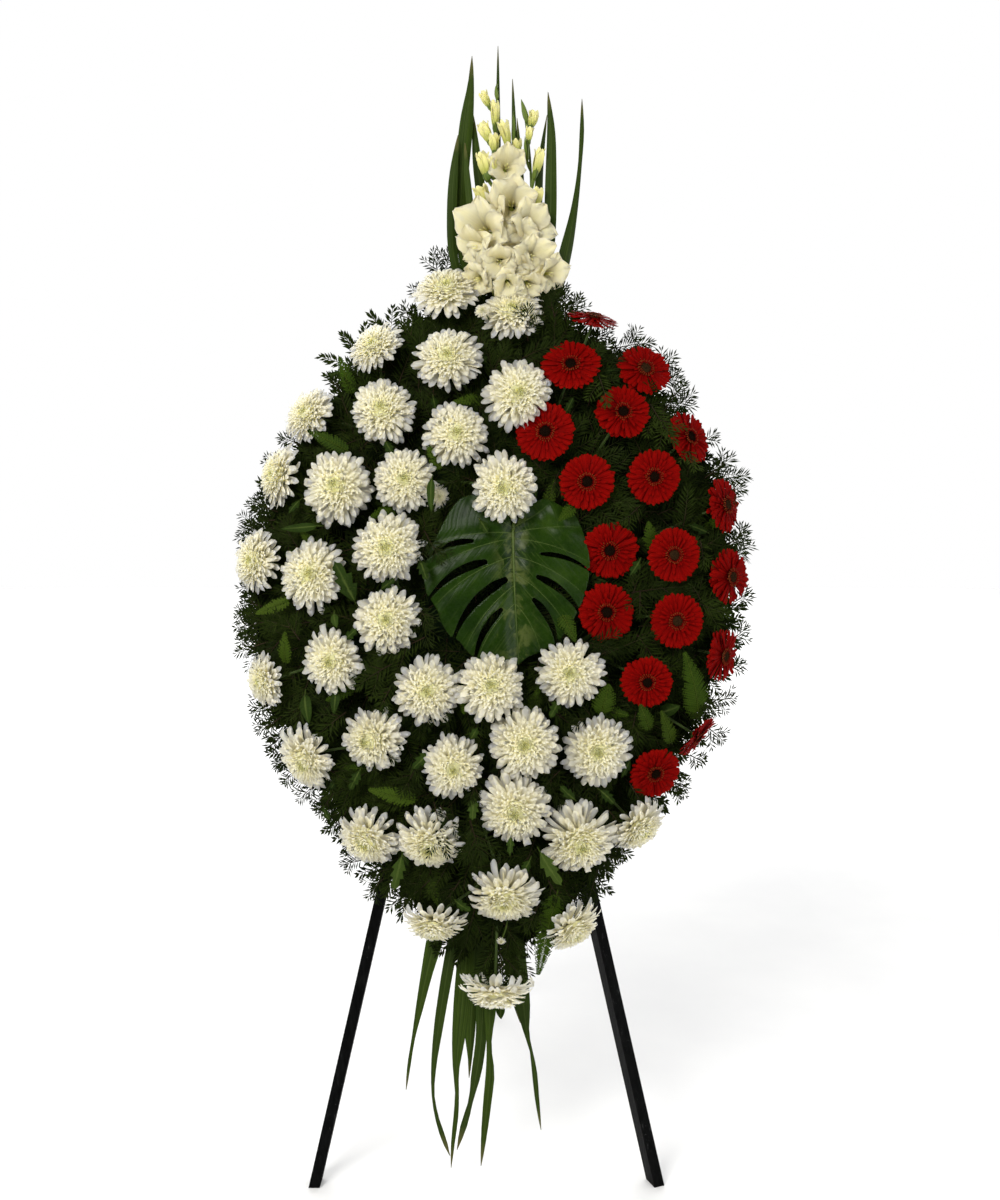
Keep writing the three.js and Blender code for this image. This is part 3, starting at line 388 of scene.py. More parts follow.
def mat_gerbera():
    n = Nodes("gerbera petal")
    v, u, r = n.attr("pt")
    ring, _, shade_grey = n.attr("pk")
    col = n.ramp(v, [(0.0, (0.034, 0.0005, 0.0003)), (0.35, (0.130, 0.0008, 0.0005)), (0.8, (0.205, 0.0014, 0.0007)), (1.0, (0.220, 0.0035, 0.0012))])
    # two furrows run along each petal; they are painted darker, painted shade in the grooves
    au = n.math("ABSOLUTE", u)
    furrow = n.math("MULTIPLY", n.map(au, 0.25, 0.42, 0.0, 1.0, True), n.map(au, 0.60, 0.44, 0.0, 1.0, True))
    col = n.mix(n.math("MULTIPLY", furrow, 0.55), col, (0.055, 0.0008, 0.0005))
    # the petal edges are painted darker too: painted shade between the petals
    edge = n.map(au, 0.72, 1.0, 0.0, 0.75, True)
    col = n.mix(edge, col, (0.055, 0.0008, 0.0005))
    line = streaks(n, v, u, r, 11.0, 2.0)
    col = n.mix(n.map(line, 0.4, 0.8, 0.0, 0.5), col, (0.135, 0.0018, 0.0010))
    col = n.mix(n.map(r, 0.0, 1.0, 0.0, 0.35), col, (0.160, 0.0012, 0.0006))
    n.bump(n.math("SUBTRACT", n.math("MULTIPLY", line, 0.5), furrow), 0.45, 0.0006)
    velvet = n.noise(900.0, 2.0)
    return n.set(color=col, rough=n.map(velvet, 0.3, 0.7, 0.45, 0.65), sub=0.08, subr=(1.0, 0.05, 0.03), subs=0.003, spec=0.015)


def mat_gerbera_ring():
    n = Nodes("gerbera ring florets")
    v, u, r = n.attr("pt")
    line = streaks(n, v, u, r, 5.0, 2.0)
    col = n.ramp(v, [(0.0, (0.016, 0.0008, 0.0005)), (0.45, (0.115, 0.0014, 0.0006)), (0.70, (0.150, 0.0040, 0.0012)), (0.84, (0.170, 0.046, 0.012)), (1.0, (0.22, 0.080, 0.022))])
    col = n.mix(n.map(line, 0.45, 0.8, 0.0, 0.5), col, (0.050, 0.0014, 0.0006))
    n.bump(line, 0.4, 0.0005)
    return n.set(color=col, rough=n.map(line, 0.3, 0.7, 0.5, 0.7), spec=0.02)


def mat_gerbera_eye(name, low, mid, high, fleck):
    n = Nodes(name)
    v, u, r = n.attr("pt")
    g = n.noise(1400.0, 3.0)
    col = n.ramp(v, [(0.0, low), (0.75, mid), (1.0, high)])
    col = n.mix(n.map(g, 0.5, 0.72, 0.0, 0.6), col, fleck)
    n.bump(g, 0.6, 0.0006)
    return n.set(color=col, rough=n.map(g, 0.3, 0.7, 0.55, 0.8), spec=0.02)


def mat_leafy(name, dark, light, pale, rough=0.45, spec=0.45, sub=0.03, bump=0.35, seed=3.0):
    """Green that changes from leaf to leaf and along each one."""
    n = Nodes(name)
    v, u, r = n.attr("pt")
    kind, young, _ = n.attr("pk")
    col = n.mix(n.map(r, 0.0, 1.0, 0.0, 1.0), dark, light)
    big = n.noise(14.0, 2.0)
    col = n.mix(n.map(big, 0.4, 0.7, 0.0, 0.55, True), col, light)
    au = n.math("ABSOLUTE", u)
    col = n.mix(n.math("MULTIPLY", n.map(au, 0.28, 0.0, 0.0, 0.55, True), n.map(v, 0.0, 1.0, 1.0, 0.4)), col, pale)
    col = n.mix(n.math("MULTIPLY", young, n.map(v, 0.0, 1.0, 0.5, 1.0)), col, pale)
    line = streaks(n, v, u, r, 8.0, 3.0, seed)
    col = n.mix(n.map(line, 0.45, 0.8, 0.0, 0.45), col, dark)
    fine = n.noise(420.0, 3.0)
    col = n.mix(n.map(fine, 0.55, 0.8, 0.0, 0.25), col, pale)
    n.bump(n.math("ADD", line, n.math("MULTIPLY", fine, 0.4)), bump, 0.0006)
    return n.set(color=col, rough=n.map(fine, 0.3, 0.7, rough - 0.08, rough + 0.1), spec=spec, sub=sub, subr=(0.3, 0.6, 0.1), subs=0.002)


def mat_stem():
    n = Nodes("green stem")
    v, u, r = n.attr("pt")
    g = n.noise(220.0, 4.0)
    line = streaks(n, v, u, r, 6.0, 14.0)
    col = n.mix(n.map(line, 0.3, 0.75), (0.018, 0.034, 0.006), (0.052, 0.080, 0.018))
    col = n.mix(n.map(g, 0.55, 0.75, 0.0, 0.5), col, (0.022, 0.030, 0.008))
    n.bump(n.math("ADD", line, g), 0.4, 0.0005)
    return n.set(color=col, rough=n.map(g, 0.3, 0.7, 0.45, 0.68), spec=0.12, sub=0.05, subr=(0.3, 0.6, 0.1), subs=0.002)


def mat_twig():
    n = Nodes("fir twig bark")
    g = n.noise(380.0, 5.0, 0.65)
    v, u, r = n.attr("pt")
    col = n.ramp(g, [(0.25, (0.008, 0.006, 0.0035)), (0.55, (0.028, 0.019, 0.010)), (0.8, (0.065, 0.046, 0.025))])
    col = n.mix(n.map(v, 0.3, 1.0, 0.0, 0.8), col, (0.022, 0.033, 0.008))
    n.bump(g, 0.7, 0.0008)
    return n.set(color=col, rough=n.map(g, 0.3, 0.7, 0.65, 0.9), spec=0.06)


# -------------------------------------------------------- chrysanthemum heads
MUM_ROWS = [  # tip out, tip up, petals, half width (all over R), lean of the tip, across points, stations
    (1.00, -0.13, 19, 0.102, -16, 5, 5), (0.985, -0.01, 22, 0.100, -8, 5, 5), (0.86, 0.12, 23, 0.086, 0, 5, 5),
    (0.755, 0.21, 25, 0.081, 8, 3, 4), (0.66, 0.275, 26, 0.074, 16, 3, 4), (0.57, 0.325, 26, 0.068, 25, 3, 4),
    (0.485, 0.365, 25, 0.063, 32, 3, 4), (0.405, 0.395, 22, 0.058, 42, 3, 4), (0.325, 0.41, 19, 0.052, 54, 3, 4),
    (0.25, 0.425, 15, 0.043, 68, 3, 3), (0.18, 0.41, 12, 0.038, 84, 3, 3), (0.115, 0.385, 8, 0.032, 100, 3, 3)]


def mum_head(soup, at, nrm, R, rng, loose=1.0, flop=0.0, mat=0, green=None, off=(0.0, 0.0), rows=MUM_ROWS):
    F = frame_of(nrm, rng.uniform(0, 2 * math.pi))
    at = np.asarray(at, float)
    nr = len(rows)
    # how far each side of the head spreads, so that no two heads are round
    k1, k2 = rng.uniform(0, 2 * math.pi, 2)
    down = np.array([0, -1.0, 0]) @ F.T      # gravity seen from the head
    shift = np.array([off[0], off[1], 0.0]) + np.array([*rng.normal(0, 0.03, 2), 0.0])
    shift = (shift - F[2] * (shift @ F[2])) * R
    for k, (ro, zo, count, hw, alpha, m, n) in enumerate(rows):
        t = k / (nr - 1)
        phi = (np.arange(count) + 0.5 * (k % 2) + rng.uniform(-0.30, 0.30, count)) * 2 * math.pi / count
        uneven = 1 + (0.035 * np.sin(phi + k1) + 0.03 * np.sin(2 * phi + k2)) * (1 - t)
        jit = rng.normal(0, (0.062 if k < 3 else 0.034) * loose, count)
        Rk = R * uneven * (1 + np.clip(jit, -0.17, 0.12))
        tip = np.stack([Rk * ro, R * zo + R * rng.normal(0, 0.030 if k < 3 else 0.018, count)], -1)
        al = np.radians(alpha + rng.normal(0, 13.0 if k < 3 else 9.0, count) * loose)
        if k < 3:
            wild = rng.random(count) < 0.16 * loose
            al = al - wild * np.radians(rng.uniform(15, 50, count))
            # petals on top of a head that hangs down fall back
            lift = (np.cos(phi) * down[0] + np.sin(phi) * down[1])
            hang = 0.62 * float(np.clip((-F[2][1] - 0.72) / 0.25, 0, 1))
            back = flop * np.maximum(np.clip(-lift, 0, 1), hang * (1.0, 0.6, 0.3)[k]) * (1.0, 0.85, 0.5)[k]
            tip = tip + np.stack([0.02 * R * back, -0.40 * R * back], -1)
            al = al - np.radians(38) * back
        base = np.stack([np.full(count, (0.17 - 0.13 * t) * R), np.full(count, (-0.20 + 0.16 * t) * R)], -1)
        d = tip - base
        L2 = 0.46 * np.linalg.norm(d, axis=1)
        ctl = tip - L2[:, None] * np.stack([np.cos(al), np.sin(al)], -1)
        ctl[:, 0] = np.maximum(ctl[:, 0], 0.02 * R)
        s = np.array({3: [0, .58, 1.0], 4: [0, .42, .8, 1.0], 5: [0, .34, .66, .88, 1.0]}[n])
        w = np.interp(s, [0, .3, .55, .78, .9, 1.0], [.34, .62, .9, 1.0, .93, .50])
        b = s[None, :, None]
        prof = (1 - b) ** 2 * base[:, None, :] + 2 * b * (1 - b) * ctl[:, None, :] + b**2 * tip[:, None, :]
        # sideways sway
        sway = rng.normal(0, 0.045, count)[:, None] * s[None, :] ** 2 * R
        er = np.stack([np.cos(phi), np.sin(phi), 0 * phi], -1)
        ep = np.stack([-np.sin(phi), np.cos(phi), 0 * phi], -1)
        C = prof[..., 0:1] * er[:, None, :] + sway[..., None] * ep[:, None, :]
        C[..., 2] += prof[..., 1]
        roll = rng.normal(0, 0.20 if k < 3 else 0.14, count)
        S = -ep * np.cos(roll)[:, None] + np.stack([0 * phi, 0 * phi, 1 + 0 * phi], -1) * np.sin(roll)[:, None]
        wid = hw * R * w[None, :] * (1 + rng.normal(0, 0.10, count))[:, None]
        th = np.interp(s, [0, 0.5, 1], [0.55, 0.42, 0.22])[None, :] * np.ones((count, 1))
        cup = np.interp(s, [0, 0.5, 0.85, 1], [0.5, 0.42, 0.30, 0.12])[None, :] * (1 + rng.normal(0, 0.3, count))[:, None]
        round_ = np.interp(s, [0, 0.8, 0.9, 1], [0, 0, 0.15, 0.75])[None, :]
        C = C @ F + at + (t * s)[None, :, None] * shift
        S = S @ F
        # some petals of the outer three rows get painted grey shade, more towards their tips
        shade_grey = (rng.random(count) < (0.5, 0.35, 0.2)[k]) * rng.uniform(0.3, 1, count) if k < 3 else 0.12 * rng.random(count)
        pk = np.stack([np.full(count, t), np.full(count, (0.0, 0.12, 0.40)[max(0, k - nr + 3)]), shade_grey], -1)
        strips(soup, C, S[:, None, :], wid, th, cup, m, rng.random(count), pk, round_, None, mat, s)
    # the heart under the inner petals, its green eye, and the green cup
    # the heart is painted a little grey as well: painted shade where it shows between the inner petals
    turned(soup, at + shift * 0.75, F, [(0.0, 0.28 * R), (0.07 * R, 0.30 * R), (0.20 * R, 0.315 * R), (0.32 * R, 0.285 * R), (0.42 * R, 0.21 * R), (0.47 * R, 0.11 * R),
        (0.46 * R, 0.01 * R), (0.30 * R, -0.08 * R), (0.0, -0.10 * R)], 16, mat, 0.3, (0.78, 0.0, 0.3))
    # the closed green florets in the middle
    cnt = 13
    i = np.arange(cnt)
    rr = 0.095 * R * np.sqrt((i + 0.3) / cnt)
    ph = i * 2.4 + k1
    B = np.stack([rr * np.cos(ph), rr * np.sin(ph), np.full(cnt, 0.24 * R)], -1)
    D = np.stack([0.25 * np.cos(ph) * (rr / R) * 10, 0.25 * np.sin(ph) * (rr / R) * 10, 1 + 0 * ph], -1)
    spindles(soup, B @ F + at + shift, D @ F, np.stack([-np.sin(ph), np.cos(ph), 0 * ph], -1) @ F, R * rng.uniform(0.12, 0.17, cnt),
             0.026 * R, 0.020 * R, rng.random(cnt), mat, pk=np.stack([np.ones(cnt), np.interp(rr / R, [0, 0.045, 0.095], [1.0, 0.85, 0.45]), 0 * rr], -1), mid=0.6)
    turned(soup, at, F, [(0.0, -0.14 * R), (0.17 * R, -0.15 * R), (0.20 * R, -0.21 * R), (0.12 * R, -0.30 * R), (0.05 * R, -0.33 * R), (0.0, -0.33 * R)], 9, green, 0.6)
    nb = 11
    ph = (np.arange(nb) + rng.uniform(-.2, .2, nb)) * 2 * math.pi / nb
    er = np.stack([np.cos(ph), np.sin(ph), 0 * ph], -1)
    ep = np.stack([-np.sin(ph), np.cos(ph), 0 * ph], -1)
    s = np.array([0, .5, 1.0])
    C = er[:, None, :] * (np.array([0.08, 0.24, 0.30]) * R)[None, :, None] + np.array([0, 0, 1.0]) * (np.array([-0.31, -0.255, -0.19]) * R)[None, :, None]
    strips(soup, C @ F + at, (-ep @ F)[:, None, :], np.array([[1.9, 2.1, 0.6]]), 0.3, 0.25, 3, rng.random(nb), None, None, None, green, s)


def turned(soup, at, F, profile, sides, mat, rnd=0.5, pk=(0, 0.3, 0)):
    """A closed turned piece about the third axis of F; profile runs top to bottom."""
    pr = np.asarray(profile, float)
    ang = np.linspace(0, 2 * math.pi, sides, endpoint=False)
    ringp = pr[1:-1]
    V = np.concatenate([[[0, 0, pr[0, 1]]], np.stack([np.outer(ringp[:, 0], np.cos(ang)), np.outer(ringp[:, 0], np.sin(ang)),
        np.repeat(ringp[:, 1:2], sides, 1)], -1).reshape(-1, 3), [[0, 0, pr[-1, 1]]]])
    k = len(ringp)
    idx = 1 + np.arange(k * sides).reshape(k, sides)
    j2 = np.roll(np.arange(sides), -1)
    quads = np.stack([idx[:-1], idx[1:], idx[1:][:, j2], idx[:-1][:, j2]], -1).reshape(-1, 4)
    top = np.stack([np.zeros(sides, int), idx[0], idx[0][j2]], -1)
    last = len(V) - 1
    bot = np.stack([np.full(sides, last), idx[-1][j2], idx[-1]], -1)
    vv = np.concatenate([[0], np.repeat(np.linspace(0.15, 0.9, k), sides), [1]])
    uu = np.concatenate([[0], np.tile(ang / math.pi - 1, k), [0]])
    soup.add(V @ F + at, [quads, top, bot], np.stack([vv, uu, np.full(len(V), rnd)], -1), pk, None, mat)


# ---------------------------------------------------------------- gerbera heads
def gerbera_head(soup, at, nrm, R, rng, loose=1.0, flop=0.0):
    """Materials in order: petal, ring florets, eye, green."""
    F = frame_of(nrm, rng.uniform(0, 2 * math.pi))
    at = np.asarray(at, float)
    k1, k2 = rng.uniform(0, 2 * math.pi, 2)
    for k, (count, reach, hw, z0, z1, al, n, m) in enumerate([
            (27, 1.0, 0.098, -0.03, -0.01, -3, 5, 5), (27, 0.965, 0.092, 0.00, 0.035, 0, 5, 5),
            (20, 0.70, 0.058, 0.03, 0.075, 6, 4, 3), (24, 0.46, 0.036, 0.05, 0.10, 14, 4, 3)]):
        phi = (np.arange(count) + 0.5 * (k % 2) + rng.uniform(-0.2, 0.2, count)) * 2 * math.pi / count
        reach_ = reach * R * (1 + 0.02 * np.sin(2 * phi + k1) + np.clip(rng.normal(0, 0.022 * loose, count), -.06, .05))
        lift = (rng.normal(0, 0.022 * loose, count) + 0.03 * loose * np.sin(phi + k2) + 0.02 * loose * np.sin(3 * phi + k1)) * R
        a = np.radians(al + rng.normal(0, 7 * loose, count))
        s = np.array({4: [0, .4, .82, 1.0], 5: [0, .34, .68, .91, 1.0]}[n])
        r0 = 0.15 * R
        base = np.stack([np.full(count, r0), np.full(count, z0 * R)], -1)
        tip = np.stack([reach_, z1 * R + lift - flop * R * 0.25], -1)
        ctl = tip - 0.5 * (reach_ - r0)[:, None] * np.stack([np.cos(a), np.sin(a)], -1)
        b = s[None, :, None]
        prof = (1 - b) ** 2 * base[:, None, :] + 2 * b * (1 - b) * ctl[:, None, :] + b**2 * tip[:, None, :]
        er = np.stack([np.cos(phi), np.sin(phi), 0 * phi], -1)
        ep = np.stack([-np.sin(phi), np.cos(phi), 0 * phi], -1)
        sway = rng.normal(0, 0.015, count)[:, None] * s[None, :] ** 2 * R
        C = prof[..., 0:1] * er[:, None, :] + sway[..., None] * ep[:, None, :]
        C[..., 2] += prof[..., 1]
        roll = rng.normal(0.05, 0.07, count)
        S = -ep * np.cos(roll)[:, None] + np.array([0, 0, 1.0]) * np.sin(roll)[:, None]
        w = np.interp(s, [0, .25, .5, .8, .93, 1.0], [.30, .52, .82, 1.0, .90, .50])
        wid = hw * R * w[None, :] * (1 + rng.normal(0, 0.06, count))[:, None]
        th = np.interp(s, [0, 0.5, 1], [0.5, 0.4, 0.22])[None, :] * np.ones((count, 1))
        cup = -0.10 + 0.12 * rng.normal(0, 1, count)[:, None] * np.ones((1, n))
        round_ = np.interp(s, [0, 0.8, 0.92, 1], [0, 0, 0.12, 0.6])[None, :]
        strips(soup, C @ F + at, (S @ F)[:, None, :], wid, th, cup, m, rng.random(count),
               np.array([k / 3.0, 0, 0]), round_, None, 0, s)
    # ring of small florets round the eye
    for k, (count, r0, r1, z0, z1, hw) in enumerate([(26, 0.20, 0.325, 0.06, 0.125, 0.020), (22, 0.17, 0.275, 0.07, 0.140, 0.018)]):
        phi = (np.arange(count) + 0.5 * k + rng.uniform(-0.25, 0.25, count)) * 2 * math.pi / count
        er = np.stack([np.cos(phi), np.sin(phi), 0 * phi], -1)
        ep = np.stack([-np.sin(phi), np.cos(phi), 0 * phi], -1)
        q = 1 + rng.normal(0, 0.06, count)
        C = er[:, None, :] * (np.array([r0, (r0 + r1) / 2, r1]) * R)[None, :, None] * q[:, None, None]
        C = C + np.array([0, 0, 1.0]) * (np.array([z0, z1, z1 - 0.01]) * R)[None, :, None]
        strips(soup, C @ F + at, (-ep @ F)[:, None, :], np.array([[hw, hw * 1.1, hw * 0.5]]) * R, 0.3, 0.2, 3, rng.random(count), None, None, None, 1)
    # eye: a low dome set with closed florets
    turned(soup, at, F, [(0.0, 0.105 * R), (0.09 * R, 0.10 * R), (0.165 * R, 0.085 * R), (0.20 * R, 0.04 * R), (0.17 * R, -0.03 * R), (0.0, -0.03 * R)], 12, 2, 0.5)
    cnt = 46
    i = np.arange(cnt)
    rr = 0.195 * R * np.sqrt((i + 0.5) / cnt)
    ph = i * 2.399963
    zz = 0.10 * R - 0.03 * R * (rr / (0.195 * R)) ** 2
    P = np.stack([rr * np.cos(ph), rr * np.sin(ph), zz], -1)
    D = unit(P * np.array([0.45, 0.45, 0]) + np.array([0, 0, 0.26 * R]))
    ln = (0.035 + 0.035 * smooth(rr / (0.195 * R), 0.5, 1.0)) * R * (1 + rng.normal(0, 0.12, cnt))
    S = unit(np.cross(D, np.array([0.2, 0.1, 1.0])))
    spindles(soup, P @ F + at, D @ F, S @ F, ln, 0.025 * R, 0.022 * R, rng.random(cnt), 2, vlo=0.2 + 0.6 * rr / (0.195 * R))
    # green cup underneath
    turned(soup, at, F, [(0.0, -0.035 * R), (0.16 * R, -0.04 * R), (0.24 * R, -0.10 * R), (0.17 * R, -0.20 * R), (0.06 * R, -0.24 * R), (0.0, -0.24 * R)], 12, 3, 0.5)
    nb = 18
    ph = (np.arange(nb) + rng.uniform(-.2, .2, nb)) * 2 * math.pi / nb
    er = np.stack([np.cos(ph), np.sin(ph), 0 * ph], -1)
    ep = np.stack([-np.sin(ph), np.cos(ph), 0 * ph], -1)
    C = er[:, None, :] * (np.array([0.12, 0.25, 0.36]) * R)[None, :, None] + np.array([0, 0, 1.0]) * (np.array([-0.215, -0.12, -0.055]) * R)[None, :, None]
    strips(soup, C @ F + at, (-ep @ F)[:, None, :], np.array([[1.4, 1.7, 0.5]]), 0.3, 0.1, 3, rng.random(nb), None, None, None, 3)


def spindles(soup, B, D, S, length, hw, ht, rnd, mat, bend=None, vlo=None, pk=None, mid=0.42):
    """Eight-sided closed needles: B base, D direction, S across (all (K,3))."""
    K = len(B)
    D = unit(D)
    S = unit(S - D * np.sum(S * D, -1, keepdims=True))
    U = np.cross(S, D)
    length = np.broadcast_to(np.asarray(length, float), (K,))[:, None]
    hw = np.broadcast_to(np.asarray(hw, float), (K,))[:, None]
    ht = np.broadcast_to(np.asarray(ht, float), (K,))[:, None]
    Mid = B + D * length * mid
    if bend is not None:
        Mid = Mid + bend
    tip = B + D * length
    V = np.stack([B, Mid - S * hw, Mid + U * ht, Mid + S * hw, Mid - U * ht, tip], 1)
    idx = np.arange(K * 6).reshape(K, 6)
    F = []
    for j in range(4):
        j2 = (j + 1) % 4
        F.append(np.stack([idx[:, 0], idx[:, 1 + j2], idx[:, 1 + j]], -1))
        F.append(np.stack([idx[:, 1 + j], idx[:, 1 + j2], idx[:, 5]], -1))
    rnd = np.broadcast_to(np.asarray(rnd, float), (K,))
    vv = np.array([0.0, 0.45, 0.45, 0.45, 0.45, 1.0])
    uu = np.array([0.0, -1.0, 0.0, 1.0, 0.0, 0.0])
    if vlo is None:
        VV = np.broadcast_to(vv, (K, 6))
    else:
        VV = np.broadcast_to(np.asarray(vlo, float)[:, None], (K, 6))
    pt = np.stack(np.broadcast_arrays(VV, uu[None, :], rnd[:, None]), -1).reshape(-1, 3)
    if pk is not None:
        pk = np.asarray(pk, float)
        pk = np.broadcast_to(pk[:, None, :] if pk.ndim == 2 else pk, (K, 6, 3)).reshape(-1, 3)
    rim = np.zeros((K, 6), bool)
    rim[:, [0, 1, 3, 5]] = True
    soup.add(V.reshape(-1, 3), [np.concatenate(F)], pt, pk, rim.reshape(-1), mat)


def kites(soup, B, D, S, length, hw, keel, rnd, mat, pk=None, mid=0.5):
    """Closed four-faced needles: B base, D direction, S across (all (K,3))."""
    K = len(B)
    D = unit(D)
    S = unit(S - D * np.sum(S * D, -1, keepdims=True))
    U = np.cross(S, D)
    length = np.broadcast_to(np.asarray(length, float), (K,))[:, None]
    hw = np.broadcast_to(np.asarray(hw, float), (K,))[:, None]
    keel = np.broadcast_to(np.asarray(keel, float), (K,))[:, None]
    M = B + D * length * mid + U * keel
    V = np.stack([B, M - S * hw, M + S * hw, B + D * length], 1)
    i = np.arange(K * 4).reshape(K, 4)
    F = np.concatenate([i[:, [0, 2, 1]], i[:, [3, 1, 2]], i[:, [0, 1, 3]], i[:, [0, 3, 2]]])
    rnd = np.broadcast_to(np.asarray(rnd, float), (K,))
    pt = np.stack(np.broadcast_arrays(np.array([0.0, 0.5, 0.5, 1.0])[None], np.array([0.0, -1.0, 1.0, 0.0])[None], rnd[:, None]), -1).reshape(-1, 3)
    if pk is not None:
        pk = np.broadcast_to(np.asarray(pk, float)[:, None, :], (K, 4, 3)).reshape(-1, 3)
    soup.add(V.reshape(-1, 3), [F], pt, pk, np.ones(K * 4, bool), mat)


# ---------------------------------------------------------------- the layout
# heads: across, up the lean, out of it, the way it faces, radius
MUMS = [
    [-71.0, 1624.0, 105.1, -0.041, 0.567, 0.822, 63.2],
    [48.0, 1579.6, 121.6, 0.019, 0.509, 0.86, 59.1],
    [-198.1, 1520.5, 110.9, -0.418, 0.396, 0.818, 52.1],
    [-67.3, 1490.3, 148.6, 0.018, 0.232, 0.973, 60.2],
    [-316.2, 1397.7, 108.7, -0.551, 0.228, 0.802, 52.0],
    [-181.9, 1395.7, 148.9, -0.094, 0.118, 0.989, 60.0],
    [-48.7, 1352.5, 172.6, -0.007, 0.038, 0.999, 57.7],
    [58.1, 1425.8, 167.6, -0.012, 0.152, 0.988, 63.1],
    [-368.6, 1287.1, 112.2, -0.753, 0.127, 0.646, 55.4],
    [-258.2, 1261.8, 154.5, -0.134, -0.044, 0.99, 65.0],
    [-141.0, 1271.6, 172.6, 0.014, -0.046, 0.999, 55.8],
    [35.2, 1256.9, 190.9, -0.003, -0.044, 0.999, 60.6],
    [-408.2, 1134.6, 113.3, -0.672, -0.008, 0.741, 55.2],
    [-169.8, 1152.1, 177.8, -0.012, -0.037, 0.999, 62.5],
    [-304.6, 1106.8, 154.3, -0.288, 0.035, 0.957, 63.1],
    [-170.9, 1026.9, 179.3, -0.025, -0.04, 0.999, 58.9],
    [-389.9, 921.2, 115.4, -0.755, -0.178, 0.631, 49.6],
    [-264.4, 956.2, 160.6, -0.229, -0.047, 0.972, 57.5],
    [-99.5, 904.3, 179.8, -0.047, -0.026, 0.999, 58.7],
    [12.8, 911.3, 194.3, 0.03, 0.145, 0.989, 60.1],
    [149.0, 935.3, 183.7, -0.015, -0.062, 0.998, 58.6],
    [-315.9, 785.5, 118.3, -0.52, -0.42, 0.744, 58.2],
    [-190.7, 822.5, 159.4, -0.314, -0.112, 0.943, 57.3],
    [-54.6, 773.2, 172.9, -0.026, -0.1, 0.995, 55.2],
    [69.5, 813.3, 183.6, -0.042, -0.089, 0.995, 63.7],
    [195.0, 800.0, 158.7, 0.013, -0.177, 0.984, 62.5],
    [52.4, 702.4, 167.7, -0.046, -0.319, 0.947, 63.9],
    [-207.5, 645.5, 119.6, -0.374, -0.581, 0.723, 59.8],
    [-97.0, 641.9, 148.4, -0.069, -0.57, 0.819, 59.1],
    [164.4, 642.6, 139.4, 0.067, -0.48, 0.875, 66.3],
    [270.8, 661.3, 104.1, 0.549, -0.645, 0.532, 56.7],
    [33.5, 544.2, 140.3, -0.03, -0.684, 0.729, 62.7],
    [-89.7, 492.3, 109.3, -0.075, -0.924, 0.374, 56.3],
    [154.1, 482.4, 92.9, 0.457, -0.715, 0.529, 54.9],
    [17.5, 370.0, 92.0, -0.034, -0.98, 0.195, 62.0],
]
GERBERAS = [
    [196.5, 1578.3, 98.0, 0.187, 0.874, 0.449, 47.0],
    [152.4, 1481.0, 142.2, -0.114, 0.43, 0.896, 53.2],
    [287.1, 1481.1, 108.3, 0.315, 0.287, 0.905, 50.3],
    [244.2, 1396.6, 143.8, 0.143, 0.206, 0.968, 49.6],
    [105.3, 1356.6, 169.4, -0.052, 0.092, 0.994, 52.5],
    [366.2, 1356.8, 115.3, 0.606, 0.195, 0.771, 48.3],
    [178.3, 1268.2, 172.0, -0.008, -0.044, 0.999, 49.7],
    [297.6, 1279.9, 150.9, 0.156, -0.044, 0.987, 49.3],
    [430.4, 1235.3, 110.2, 0.744, 0.057, 0.665, 50.0],
    [218.8, 1150.1, 150.0, 0.098, -0.088, 0.991, 50.7],
    [331.6, 1142.0, 153.5, 0.088, -0.087, 0.992, 48.2],
    [437.7, 1106.1, 113.6, 0.679, -0.068, 0.731, 49.8],
    [213.1, 1041.6, 151.0, 0.082, -0.046, 0.996, 50.6],
    [336.5, 1026.3, 150.5, 0.105, -0.125, 0.987, 48.2],
    [424.7, 965.6, 109.6, 0.781, -0.188, 0.595, 48.0],
    [282.8, 919.7, 156.0, 0.108, -0.177, 0.978, 46.2],
    [376.4, 821.9, 104.7, 0.703, -0.609, 0.367, 44.4],
    [299.4, 759.5, 123.0, 0.314, -0.369, 0.875, 47.5],
]
SPRAYS = [[1, 2], [3, 5, 6], [4, 8], [9, 10], [7, 11, 12], [13, 15], [14, 16], [17, 18],
    [22, 23, 28], [19, 24], [20, 21, 25], [26, 30, 31], [27, 29, 32], [33, 34, 35]]
JOINTS = {1: ([-8, 1532, 90], [-10, 1420, 74]), 14: ([25, 588, 102], [24, 700, 78]), 13: ([0, 655, 120], [-8, 740, 72])}
LEAF_OUTLINE = [[49.2, 1190.1], [38.7, 1216.4], [12.5, 1239.3], [-17.2, 1246.3], [-41.7, 1241.0], [-62.7, 1216.4], [-83.5, 1176.1], [-100.9, 1139.3], [-106.1, 1106.0], [-102.5, 1076.3], [-93.7, 1062.4], [-81.5, 1041.4], [-76.2, 1024.0], [-60.5, 999.6], [-44.8, 990.9], [-29.2, 971.8], [-8.3, 956.2], [26.5, 950.9], [54.3, 949.2], [75.2, 963.1], [96.1, 971.8], [123.9, 987.5], [143.1, 1010.1], [160.6, 1039.7], [172.9, 1067.6], [181.7, 1100.8], [183.6, 1132.3], [178.4, 1158.5], [169.8, 1188.3], [155.9, 1214.7], [131.4, 1228.7], [105.2, 1239.3], [82.5, 1232.2], [65.0, 1214.7]]
LEAF_CUTS = [[[-106.1, 1128.8], [-22.4, 1165.5], 8.5], [[-97.2, 1060.6], [0.3, 1128.8], 11.9], [[-51.8, 992.7], [35.2, 1097.3], 13.6], [[-15.2, 944.0], [28.2, 1044.9], 10.2], [[190.4, 1104.3], [98.1, 1142.8], 6.8], [[169.3, 1027.5], [92.8, 1102.5], 10.2], [[123.9, 975.3], [85.7, 1062.4], 10.2]]
